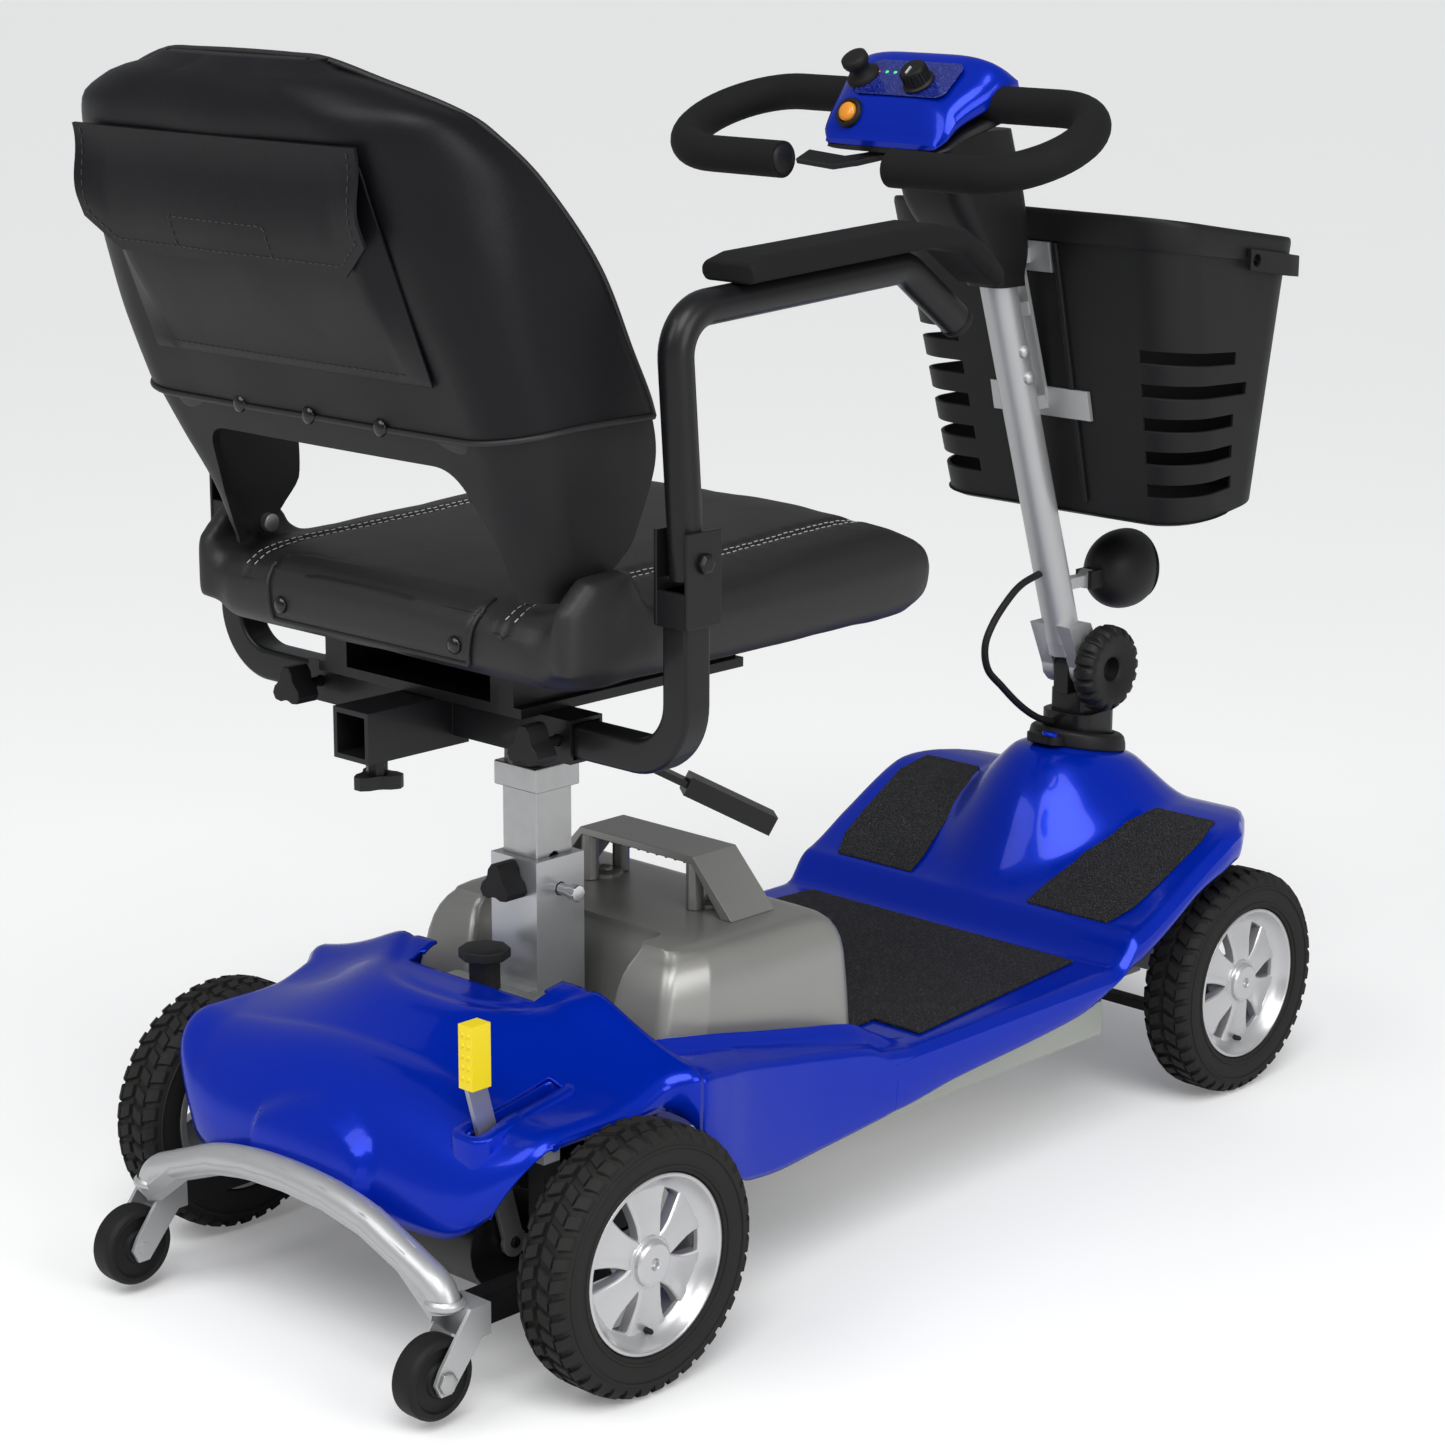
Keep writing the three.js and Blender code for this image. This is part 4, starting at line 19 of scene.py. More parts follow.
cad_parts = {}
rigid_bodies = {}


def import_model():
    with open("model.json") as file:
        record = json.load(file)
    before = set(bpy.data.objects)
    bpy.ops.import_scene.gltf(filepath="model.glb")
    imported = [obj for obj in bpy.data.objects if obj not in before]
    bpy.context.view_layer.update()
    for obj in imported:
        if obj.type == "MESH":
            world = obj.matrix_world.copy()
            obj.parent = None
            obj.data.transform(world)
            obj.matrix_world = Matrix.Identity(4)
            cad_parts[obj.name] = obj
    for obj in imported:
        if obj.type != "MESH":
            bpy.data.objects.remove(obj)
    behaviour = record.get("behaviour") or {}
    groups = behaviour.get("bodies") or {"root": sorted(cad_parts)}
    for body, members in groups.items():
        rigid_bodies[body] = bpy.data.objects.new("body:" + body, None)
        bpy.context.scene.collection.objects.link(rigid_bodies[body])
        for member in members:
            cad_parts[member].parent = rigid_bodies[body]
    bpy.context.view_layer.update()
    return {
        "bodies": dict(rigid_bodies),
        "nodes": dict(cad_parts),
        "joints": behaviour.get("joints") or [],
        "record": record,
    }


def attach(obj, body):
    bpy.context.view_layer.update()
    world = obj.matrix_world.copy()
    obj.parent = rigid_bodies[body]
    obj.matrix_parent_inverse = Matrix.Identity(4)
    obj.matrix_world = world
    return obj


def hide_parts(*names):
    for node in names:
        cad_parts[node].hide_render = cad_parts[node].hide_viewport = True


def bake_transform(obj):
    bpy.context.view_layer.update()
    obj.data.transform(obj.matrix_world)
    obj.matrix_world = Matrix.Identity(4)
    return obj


LOG = logging.getLogger("scooter")
MIDDLE = 33.0
SCALE = 0.001
SIDES = (("left", 1.0), ("right", -1.0))

Point = tuple[float, float, float]
Flat = tuple[float, float]
Colour = tuple[float, float, float]
Number = Union[int, float, "Value"]


# Shader values and finishes.


class Value:
    """A shader socket that can stand in a Python expression."""

    def __init__(self, graph: "Graph", socket: Any) -> None:
        """Keeps the graph and the output socket."""
        self.graph = graph
        self.socket = socket

    def __add__(self, other: Number) -> "Value":
        """The sum."""
        return self.graph.math("ADD", self, other)

    def __radd__(self, other: Number) -> "Value":
        """The sum, with the number first."""
        return self.graph.math("ADD", other, self)

    def __sub__(self, other: Number) -> "Value":
        """The difference."""
        return self.graph.math("SUBTRACT", self, other)

    def __rsub__(self, other: Number) -> "Value":
        """The difference, with the number first."""
        return self.graph.math("SUBTRACT", other, self)

    def __mul__(self, other: Number) -> "Value":
        """The product."""
        return self.graph.math("MULTIPLY", self, other)

    def __rmul__(self, other: Number) -> "Value":
        """The product, with the number first."""
        return self.graph.math("MULTIPLY", other, self)

    def __gt__(self, other: Number) -> "Value":
        """1 where this value is the larger."""
        return self.graph.math("GREATER_THAN", self, other)

    def __lt__(self, other: Number) -> "Value":
        """1 where this value is the smaller."""
        return self.graph.math("LESS_THAN", self, other)

    def sine(self) -> "Value":
        """The sine of this value."""
        return self.graph.math("SINE", self)


class Graph:
    """A material's nodes."""

    def __init__(self, material: bpy.types.Material) -> None:
        """Empties the tree and adds the shader and the object coordinates."""
        material.use_nodes = True
        self.tree = material.node_tree
        self.tree.nodes.clear()
        self.shader = self.tree.nodes.new("ShaderNodeBsdfPrincipled")
        out = self.tree.nodes.new("ShaderNodeOutputMaterial")
        self.tree.links.new(self.shader.outputs[0], out.inputs[0])
        self.place = self.node("ShaderNodeTexCoord", {}, {}, "Object")

    def feed(self, socket: Any, value: Any) -> None:
        """Links a value into a socket, or sets the socket to a plain number or colour.

        Args:
            socket: The input socket.
            value: A Value, a number or a colour.
        """
        if isinstance(value, Value):
            self.tree.links.new(value.socket, socket)
        elif socket.type == "RGBA" and len(value) == 3:
            socket.default_value = (*value, 1.0)
        else:
            socket.default_value = value

    def node(self, kind: str, settings: dict[str, Any], inputs: dict[Any, Any], output: Any = 0) -> Value:
        """Adds a node.

        Args:
            kind: The node's type.
            settings: Its properties, set first.
            inputs: Values by input name or number.
            output: The output that is wanted.

        Returns:
            The output as a Value.
        """
        made = self.tree.nodes.new(kind)
        for name, setting in settings.items():
            if name == "stops":
                ramp = made.color_ramp
                for spot, (where, grey) in zip((ramp.elements[0], ramp.elements[1]), setting):
                    spot.position = where
                    spot.color = (grey, grey, grey, 1.0)
            else:
                setattr(made, name, setting)
        for name, value in inputs.items():
            self.feed(made.inputs[name], value)
        return Value(self, made.outputs[output])

    def math(self, operation: str, *values: Number) -> Value:
        """Adds a Math node."""
        return self.node("ShaderNodeMath", {"operation": operation}, dict(enumerate(values)))

    def mix(self, factor: Number, first: Any, second: Any) -> Value:
        """Mixes two colours."""
        settings = {"data_type": "RGBA", "blend_type": "MIX"}
        return self.node("ShaderNodeMix", settings, {0: factor, 6: first, 7: second}, 2)

    def noise(self, scale: float, detail: float = 4.0, rough: float = 0.55) -> Value:
        """Noise on the object's own coordinates, at a scale per metre."""
        inputs = {"Vector": self.place, "Scale": scale, "Detail": detail, "Roughness": rough}
        return self.node("ShaderNodeTexNoise", {}, inputs, 0)

    def cells(self, scale: float, feature: str = "F1") -> Value:
        """Cell distances on the object's own coordinates."""
        return self.node("ShaderNodeTexVoronoi", {"feature": feature}, {"Vector": self.place, "Scale": scale}, 0)

    def along(self, axis: int) -> Value:
        """One of the object's coordinates, in metres."""
        return self.node("ShaderNodeSeparateXYZ", {}, {0: self.place}, axis)


class Grain(Enum):
    """How a surface is grained."""

    NOISE = "noise"
    CELLS = "cells"
    EDGES = "edges"
    BRUSHED = "brushed"


@dataclass(frozen=True)
class Bump:
    """One layer of relief: its grain, scale per metre, height in millimetres and strength."""

    grain: Grain
    scale: float
    height: float
    strength: float = 0.5
    detail: float = 4.0


@dataclass(frozen=True)
class Zone:
    """A stretch along one axis, in frame metres, that has its own colour."""

    axis: int
    low: float
    high: float
    colour: Colour
    roughness: float
    metallic: float = 0.0


@dataclass(frozen=True)
class Finish:
    """A finish with colour variation, uneven gloss, relief and zones."""

    name: str
    colour: Colour
    roughness: float
    metallic: float = 0.0
    coat: float = 0.0
    sheen: float = 0.0
    second: Optional[Colour] = None
    patches: float = 30.0
    amount: float = 0.5
    uneven: float = 0.06
    bumps: tuple[Bump, ...] = ()
    zones: tuple[Zone, ...] = ()
    speck: Optional[Colour] = None
    speck_scale: float = 2500.0
    speck_level: float = 0.68
    glow: float = 0.0
    shine: float = 0.5
    slot: str = ""

    def relief(self, graph: Graph) -> Optional[Value]:
        """Stacks the bump layers.

        Args:
            graph: The material's nodes.

        Returns:
            The bent normal, or None without bumps.
        """
        normal: Optional[Value] = None
        for bump in self.bumps:
            if bump.grain is Grain.NOISE:
                height = graph.noise(bump.scale, bump.detail)
            elif bump.grain is Grain.CELLS:
                height = graph.cells(bump.scale)
            elif bump.grain is Grain.EDGES:
                cells = graph.cells(bump.scale, "DISTANCE_TO_EDGE")
                height = graph.node("ShaderNodeValToRGB", {"stops": ((0.0, 0.0), (0.22, 1.0))}, {0: cells})
            else:
                mapping = {"Vector": graph.place, "Scale": (bump.scale, bump.scale, bump.scale * 0.02)}
                stretched = graph.node("ShaderNodeMapping", {}, mapping)
                height = graph.node("ShaderNodeTexNoise", {}, {"Vector": stretched, "Scale": 1.0, "Detail": 2.0})
            inputs = {"Height": height, "Strength": bump.strength, "Distance": bump.height * SCALE}
            if normal is not None:
                inputs["Normal"] = normal
            normal = graph.node("ShaderNodeBump", {}, inputs)
        return normal

    def material(self) -> bpy.types.Material:
        """Makes the material, or finds it if it was made before.

        Returns:
            The material.
        """
        known = bpy.data.materials.get(self.name)
        if known:
            return known
        made = bpy.data.materials.new(self.name)
        graph = Graph(made)
        patch = graph.noise(self.patches)
        second = self.second or tuple(part * 0.86 for part in self.colour)
        colour = graph.mix(patch * self.amount, self.colour, second)
        roughness: Any = patch * self.uneven * 2.0 + (self.roughness - self.uneven)
        metallic: Any = self.metallic
        if self.speck:
            grains = graph.noise(self.speck_scale, 2.0) > self.speck_level
            colour = graph.mix(grains, colour, self.speck)
        for zone in self.zones:
            here = graph.along(zone.axis)
            inside = (here > zone.low) * (here < zone.high)
            colour = graph.mix(inside, colour, zone.colour)
            roughness = roughness * (1.0 - inside) + inside * zone.roughness
            metallic = (1.0 - inside) * metallic + inside * zone.metallic
        sockets = graph.shader.inputs
        graph.feed(sockets["Base Color"], colour)
        graph.feed(sockets["Roughness"], roughness)
        graph.feed(sockets["Metallic"], metallic)
        sockets["Coat Weight"].default_value = self.coat
        sockets["Coat Roughness"].default_value = 0.06
        sockets["Sheen Weight"].default_value = self.sheen
        sockets["Specular IOR Level"].default_value = self.shine
        if self.glow:
            sockets["Emission Color"].default_value = (*self.colour, 1.0)
            sockets["Emission Strength"].default_value = self.glow
        normal = self.relief(graph)
        if normal is not None:
            graph.feed(sockets["Normal"], normal)
        made.diffuse_color = (*self.colour, 1.0)
        return made


PEBBLE = (Bump(Grain.EDGES, 1400.0, 0.05, 0.3), Bump(Grain.NOISE, 300.0, 0.1, 0.25))
BLUE = Finish("blue_gloss", (0.0, 0.022, 0.46), slot="body_blue", roughness=0.24, metallic=0.35, coat=0.22, shine=0.12, second=(0.0, 0.016, 0.35), patches=6.0, amount=0.4,
              uneven=0.02, bumps=(Bump(Grain.NOISE, 45.0, 0.12, 0.12, 1.0),))
SILVER = Finish("tube_silver", (0.5, 0.505, 0.51), slot="silver_paint", roughness=0.42, metallic=0.6, coat=0.2, patches=14.0, amount=0.35, uneven=0.04,
                speck=(0.58, 0.58, 0.59), speck_scale=5200.0, bumps=(Bump(Grain.NOISE, 900.0, 0.02, 0.2),))
ALLOY = Finish("wheel_alloy", (0.6, 0.6, 0.61), slot="alloy", roughness=0.32, metallic=0.7, coat=0.15, patches=20.0, amount=0.4, uneven=0.05,
               speck=(0.72, 0.72, 0.73), speck_scale=4800.0, bumps=(Bump(Grain.NOISE, 700.0, 0.03, 0.3),))
SATIN = Finish("battery_satin", (0.33, 0.326, 0.31), slot="satin_cover", roughness=0.36, metallic=0.5, coat=0.08, second=(0.29, 0.286, 0.272), patches=8.0, uneven=0.03,
               speck=(0.42, 0.415, 0.4), speck_scale=5200.0, bumps=(Bump(Grain.NOISE, 1500.0, 0.02, 0.3),))
POWDER = Finish("black_powder", (0.007, 0.007, 0.008), slot="black_steel", roughness=0.38, metallic=0.0, coat=0.08, shine=0.3, uneven=0.05,
                bumps=(Bump(Grain.NOISE, 1800.0, 0.04, 0.4), Bump(Grain.NOISE, 60.0, 0.1, 0.1)))
MOULDED = Finish("grained_plastic", (0.008, 0.008, 0.0085), slot="black_plastic", roughness=0.5, shine=0.28, uneven=0.06, bumps=PEBBLE)
GLOSSBLACK = Finish("gloss_black", (0.006, 0.006, 0.007), slot="black_plastic", roughness=0.18, metallic=0.0, coat=0.2, shine=0.4, uneven=0.03,
                    bumps=(Bump(Grain.NOISE, 80.0, 0.05, 0.1),))
TREAD = Finish("tyre_rubber", (0.011, 0.011, 0.0115), slot="tyre", roughness=0.72, shine=0.25, second=(0.021, 0.0195, 0.0175), patches=40.0, amount=0.8,
               uneven=0.08, bumps=(Bump(Grain.NOISE, 1300.0, 0.08, 0.5), Bump(Grain.NOISE, 120.0, 0.15, 0.2)))
RUBBER = Finish("soft_rubber", (0.009, 0.009, 0.0095), slot="rubber", roughness=0.6, shine=0.25, uneven=0.06, bumps=(Bump(Grain.NOISE, 1200.0, 0.05, 0.4),))
GRIT = Finish("grit_sheet", (0.008, 0.008, 0.009), slot="grit", roughness=0.85, shine=0.25, speck=(0.16, 0.16, 0.17), speck_scale=1900.0, speck_level=0.62,
              uneven=0.1, bumps=(Bump(Grain.CELLS, 1500.0, 0.35, 0.9), Bump(Grain.NOISE, 2600.0, 0.2, 0.7)))
VINYL = Finish("black_vinyl", (0.0125, 0.0118, 0.0115), slot="upholstery", roughness=0.48, shine=0.42, second=(0.018, 0.0165, 0.016), patches=16.0,
               uneven=0.05, bumps=(Bump(Grain.EDGES, 900.0, 0.1, 0.35), Bump(Grain.NOISE, 28.0, 1.6, 0.35, 3.0),
                                   Bump(Grain.NOISE, 110.0, 0.5, 0.2, 3.0)))
POLY = Finish("back_cloth", (0.0045, 0.0043, 0.0058), slot="upholstery", roughness=0.42, shine=0.22, patches=22.0, uneven=0.05,
              bumps=(Bump(Grain.CELLS, 1700.0, 0.12, 0.5), Bump(Grain.NOISE, 24.0, 1.4, 0.35, 3.0)))
FOAM = Finish("grip_foam", (0.009, 0.009, 0.0095), slot="foam", roughness=0.82, shine=0.2, uneven=0.05,
              bumps=(Bump(Grain.CELLS, 1100.0, 0.25, 0.6), Bump(Grain.NOISE, 2400.0, 0.1, 0.5)))
CHROME = Finish("bright_plate", (0.75, 0.75, 0.76), slot="chrome", roughness=0.16, metallic=1.0, uneven=0.03, bumps=(Bump(Grain.BRUSHED, 900.0, 0.02, 0.2),))
STEEL = Finish("zinc_steel", (0.5, 0.5, 0.5), slot="chrome", roughness=0.34, metallic=0.9, uneven=0.08, patches=90.0,
               bumps=(Bump(Grain.NOISE, 500.0, 0.03, 0.3),))
CREAM = Finish("pale_pan", (0.45, 0.47, 0.42), slot="frame_grey", roughness=0.45, metallic=0.1, uneven=0.06, bumps=(Bump(Grain.NOISE, 700.0, 0.05, 0.3),))
YELLOW = Finish("yellow_grip", (0.86, 0.66, 0.0), slot="yellow", roughness=0.42, uneven=0.05, bumps=(Bump(Grain.NOISE, 900.0, 0.04, 0.3),))
ORANGE = Finish("orange_button", (0.85, 0.3, 0.02), slot="orange", roughness=0.25, metallic=0.0, coat=0.3, uneven=0.03, bumps=(Bump(Grain.NOISE, 300.0, 0.03, 0.2),))
THREAD = Finish("pale_thread", (0.5, 0.5, 0.49), 0.7, patches=600.0, bumps=(Bump(Grain.NOISE, 4000.0, 0.05, 0.5),))
DARKTHREAD = Finish("dark_thread", (0.03, 0.03, 0.032), 0.7, patches=600.0, bumps=(Bump(Grain.NOISE, 4000.0, 0.05, 0.5),))
PANEL = Finish("dotted_panel", (0.002, 0.008, 0.16), 0.3, 0.0, 0.5, speck=(0.05, 0.09, 0.5), speck_scale=900.0,
               speck_level=0.6, uneven=0.02, bumps=(Bump(Grain.CELLS, 900.0, 0.05, 0.4),))
GREEN = Finish("green_light", (0.05, 0.7, 0.12), 0.2, 0.0, 0.4, glow=0.4, bumps=(Bump(Grain.NOISE, 300.0, 0.02, 0.2),))
RED = Finish("red_light", (0.6, 0.03, 0.02), 0.2, 0.0, 0.4, glow=0.1, bumps=(Bump(Grain.NOISE, 300.0, 0.02, 0.2),))
CLEAR = Finish("lamp_lens", (0.62, 0.64, 0.66), 0.08, 0.35, 0.8, uneven=0.02, bumps=(Bump(Grain.CELLS, 220.0, 0.3, 0.5),))
REARFRAME = Finish("rear_frame_paint", (0.008, 0.008, 0.009), slot="black_steel", roughness=0.4, shine=0.3, uneven=0.05,
                   bumps=(Bump(Grain.NOISE, 900.0, 0.05, 0.3),),
                   zones=(Zone(2, 0.165, 0.34, (0.55, 0.56, 0.57), 0.3, 0.75),))
FREEWHEEL = Finish("freewheel_finish", (0.5, 0.5, 0.5), 0.35, 0.8, uneven=0.05, slot="yellow",
                   bumps=(Bump(Grain.NOISE, 700.0, 0.04, 0.3),), zones=(Zone(2, 0.2262, 0.3, (0.86, 0.66, 0.0), 0.42),))


# Shapes.


@dataclass
class Shape:
    """Points in millimetres and the faces between them."""

    points: list[Point] = field(default_factory=list)
    faces: list[tuple[int, ...]] = field(default_factory=list)

    def plus(self, *others: "Shape") -> "Shape":
        """Joins shapes into one list of faces.

        Args:
            others: The shapes to add after this one.

        Returns:
            A new shape.
        """
        whole = Shape(list(self.points), list(self.faces))
        for other in others:
            start = len(whole.points)
            whole.points.extend(other.points)
            whole.faces.extend(tuple(i + start for i in face) for face in other.faces)
        return whole

    def moved(self, change: Callable[[Point], Point], flip: bool = False) -> "Shape":
        """Moves every point, and turns the faces round where the change mirrors them."""
        faces = [tuple(reversed(face)) for face in self.faces] if flip else list(self.faces)
        return Shape([change(point) for point in self.points], faces)

    def at(self, x: float, y: float, z: float) -> "Shape":
        """The same shape, shifted."""
        return self.moved(lambda p: (p[0] + x, p[1] + y, p[2] + z))

    def side(self, sign: float) -> "Shape":
        """The shape as drawn on the rider's left, or its mirror image for the right."""
        return self if sign > 0 else self.moved(lambda p: (-p[0], p[1], p[2]), True)

    def turned(self, matrix: Matrix) -> "Shape":
        """The shape after a rotation, scale or shift given as a matrix."""
        return self.moved(lambda p: tuple(matrix @ Vector(p)))


def grid(rows: Sequence[Sequence[Point]], closed: bool = False, capped: bool = False, skip: Iterable[tuple[int, int]] = ()) -> Shape:
    """A sheet of quads over rows of points.

    Args:
        rows: Rows of equally many points.
        closed: Whether each row runs all the way round.
        capped: Whether the first and the last row are filled.
        skip: Quads that are left out, as row and column.

    Returns:
        The sheet.
    """
    count = len(rows[0])
    gone = set(skip)
    shape = Shape([tuple(p) for row in rows for p in row])
    for i in range(len(rows) - 1):
        for j in range(count if closed else count - 1):
            if (i, j) not in gone:
                k = (j + 1) % count
                shape.faces.append((i * count + j, i * count + k, (i + 1) * count + k, (i + 1) * count + j))
    if capped:
        last = (len(rows) - 1) * count
        shape.faces.append(tuple(reversed(range(count))))
        shape.faces.append(tuple(range(last, last + count)))
    return shape


AXES = {"x": (1, 2, 0), "y": (2, 0, 1), "z": (0, 1, 2)}


def turn(profile: Sequence[Flat], axis: str, centre: Point, sides: int = 48, capped: bool = False) -> Shape:
    """Turns a profile of radius and height round an axis.

    Args:
        profile: Radius and height, in order.
        axis: The letter of the axis.
        centre: A point on the axis that counts as height zero.
        sides: How many facets go round.
        capped: Whether the ends are filled.

    Returns:
        The turned shape.
    """
    a, b, c = AXES[axis]
    rows = []
    for radius, height in profile:
        row = []
        for i in range(sides):
            angle = 2 * math.pi * i / sides
            point = [0.0, 0.0, 0.0]
            point[a] = centre[a] + radius * math.cos(angle)
            point[b] = centre[b] + radius * math.sin(angle)
            point[c] = centre[c] + height
            row.append(tuple(point))
        rows.append(row)
    return grid(rows, True, capped)


def rod(axis: str, radius: float, low: float, high: float, centre: Flat, edge: float = 1.0, sides: int = 32) -> Shape:
    """A round bar with rounded edges between two values along an axis."""
    at = {"x": (0.0, *centre), "y": (centre[0], 0.0, centre[1]), "z": (*centre, 0.0)}[axis]
    soft = edge * 0.3
    profile = [(radius - edge, low), (radius - soft, low + soft), (radius, low + edge)]
    profile += [(radius, high - edge), (radius - soft, high - soft), (radius - edge, high)]
    return turn(profile, axis, at, sides, True)


def smooth_path(points: Sequence[Point], steps: int = 8) -> list[Vector]:
    """A smooth curve through the points.

    Args:
        points: The points to pass through.
        steps: Steps between each two.

    Returns:
        Points along the curve.
    """
    at = [Vector(p) for p in points]
    at = [at[0] * 2 - at[1], *at, at[-1] * 2 - at[-2]]
    path = []
    for i in range(1, len(at) - 2):
        a, b, c, d = at[i - 1:i + 3]
        for k in range(steps):
            t = k / steps
            path.append(0.5 * (2 * b + (c - a) * t + (2 * a - 5 * b + 4 * c - d) * t * t + (3 * b - a - 3 * c + d) * t ** 3))
    return [*path, at[-2]]


def bent(corners: Sequence[Point], radius: float, steps: int = 8) -> list[Vector]:
    """Straight runs joined by arcs of one radius."""
    at = [Vector(p) for p in corners]
    path = [at[0]]
    for i in range(1, len(at) - 1):
        back, ahead = (at[i - 1] - at[i]).normalized(), (at[i + 1] - at[i]).normalized()
        half = back.angle(ahead) / 2
        centre = at[i] + (back + ahead).normalized() * (radius / math.sin(half))
        start = at[i] + back * (radius / math.tan(half)) - centre
        end = at[i] + ahead * (radius / math.tan(half)) - centre
        full = start.angle(end)
        for k in range(steps + 1):
            t = k / steps
            path.append(centre + (start * math.sin((1 - t) * full) + end * math.sin(t * full)) / math.sin(full))
    return [*path, at[-1]]


def circle(radius: float, sides: int = 20) -> list[Flat]:
    """A circle's points."""
    return [(radius * math.cos(2 * math.pi * i / sides), radius * math.sin(2 * math.pi * i / sides)) for i in range(sides)]


def soft_square(width: float, height: float, corner: float, steps: int = 4) -> list[Flat]:
    """A rectangle with round corners, centred on zero, turning anticlockwise."""
    outline = []
    for quarter, (sx, sy) in enumerate(((1, 1), (-1, 1), (-1, -1), (1, -1))):
        for k in range(steps + 1):
            angle = (quarter + k / steps) * math.pi / 2
            x = sx * (width / 2 - corner) + corner * math.cos(angle)
            outline.append((x, sy * (height / 2 - corner) + corner * math.sin(angle)))
    return outline


def sweep(section: Sequence[Flat], path: Sequence[Vector], up: Point = (0, 0, 1), taper: Optional[Callable[[float], float]] = None,
          closed: bool = False) -> Shape:
    """Carries a section along a path, keeping its second direction near the given one.

    Args:
        section: The section's points.
        path: The points of the path.
        up: The direction that the section's second axis stays near.
        taper: The section's scale at a share of the path.
        closed: Whether the path joins its own start.

    Returns:
        The swept shape.
    """
    at = [Vector(p) for p in path]
    last = len(at) - 1
    rows = []
    for i, here in enumerate(at):
        before = at[i - 1] if i or closed else here
        after = at[(i + 1) % len(at)] if i < last or closed else here
        ahead = (after - before).normalized()
        across = Vector(up).cross(ahead)
        across = across.normalized() if across.length > 1e-6 else Vector((1, 0, 0))
        rise = ahead.cross(across)
        size = taper(i / last) if taper else 1.0
        rows.append([tuple(here + across * u * size + rise * v * size) for u, v in section])
    if closed:
        rows.append(rows[0])
    return grid(rows, True, not closed)


def slab(outline: Sequence[Flat], axis: str, low: float, high: float) -> Shape:
    """A flat outline given thickness along an axis."""
    a, b, c = {"x": (1, 2, 0), "y": (0, 2, 1), "z": (0, 1, 2)}[axis]
    rows = []
    for level in (low, high):
        row = []
        for u, v in outline:
            point = [0.0, 0.0, 0.0]
            point[a], point[b], point[c] = u, v, level
            row.append(tuple(point))
        rows.append(row)
    return grid(rows, True, True)


def block(x0: float, x1: float, y0: float, y1: float, z0: float, z1: float) -> Shape:
    """A block between two corners. Its edges are rounded when its object is made."""
    return slab([(x0, y0), (x1, y0), (x1, y1), (x0, y1)], "z", z0, z1)


def ease(value: float) -> float:
    """A smooth step from 0 to 1."""
    t = min(1.0, max(0.0, value))
    return t * t * (3 - 2 * t)


def read(table: Sequence[Flat], place: float) -> float:
    """A value read off a smooth curve through pairs of place and value.

    Args:
        table: Pairs in rising order of place.
        place: Where to read.

    Returns:
        The value there.
    """
    if place <= table[0][0]:
        return table[0][1]
    if place >= table[-1][0]:
        return table[-1][1]
    i = max(k for k in range(len(table) - 1) if table[k][0] <= place)
    (a, u), (b, v) = table[i], table[i + 1]

    def slope(k: int) -> float:
        """The curve's slope at a pair, kept from overshooting."""
        if k in (0, len(table) - 1):
            return 0.0
        one = (table[k][1] - table[k - 1][1]) / (table[k][0] - table[k - 1][0])
        two = (table[k + 1][1] - table[k][1]) / (table[k + 1][0] - table[k][0])
        return 0.0 if one * two <= 0 else 2 * one * two / (one + two)

    t, w = (place - a) / (b - a), b - a
    m, n = slope(i) * w, slope(i + 1) * w
    return u * (2 * t ** 3 - 3 * t * t + 1) + m * (t ** 3 - 2 * t * t + t) + v * (3 * t * t - 2 * t ** 3) + n * (t ** 3 - t * t)


# Objects.


def mesh_of(name: str, shape: Shape, finish: Finish, merge: bool = True, flat: bool = False) -> bpy.types.Object:
    """Makes an object in the frame's metres, with closed seams and faces that point outwards.

    Args:
        name: The object's name.
        shape: Its points and faces.
        finish: Its finish.
        merge: Whether doubled points are merged and the faces turned outwards.
        flat: Whether triangles that lie in one plane are joined.

    Returns:
        The object, not yet riding on anything.
    """
    mesh = bpy.data.meshes.new(name)
    points = [(x * SCALE, (y - MIDDLE) * SCALE, z * SCALE) for x, y, z in shape.points]
    mesh.from_pydata(points, [], [face for face in shape.faces if len(set(face)) > 2])
    if merge:
        work = bmesh.new()
        work.from_mesh(mesh)
        bmesh.ops.remove_doubles(work, verts=work.verts, dist=1e-6)
        if not flat:
            bmesh.ops.recalc_face_normals(work, faces=work.faces)
        if flat:
            bmesh.ops.dissolve_limit(work, angle_limit=math.radians(1), verts=work.verts, edges=work.edges)
        work.to_mesh(mesh)
        work.free()
    mesh.materials.append(finish.material())
    made = bpy.data.objects.new(name, mesh)
    bpy.context.scene.collection.objects.link(made)
    return made


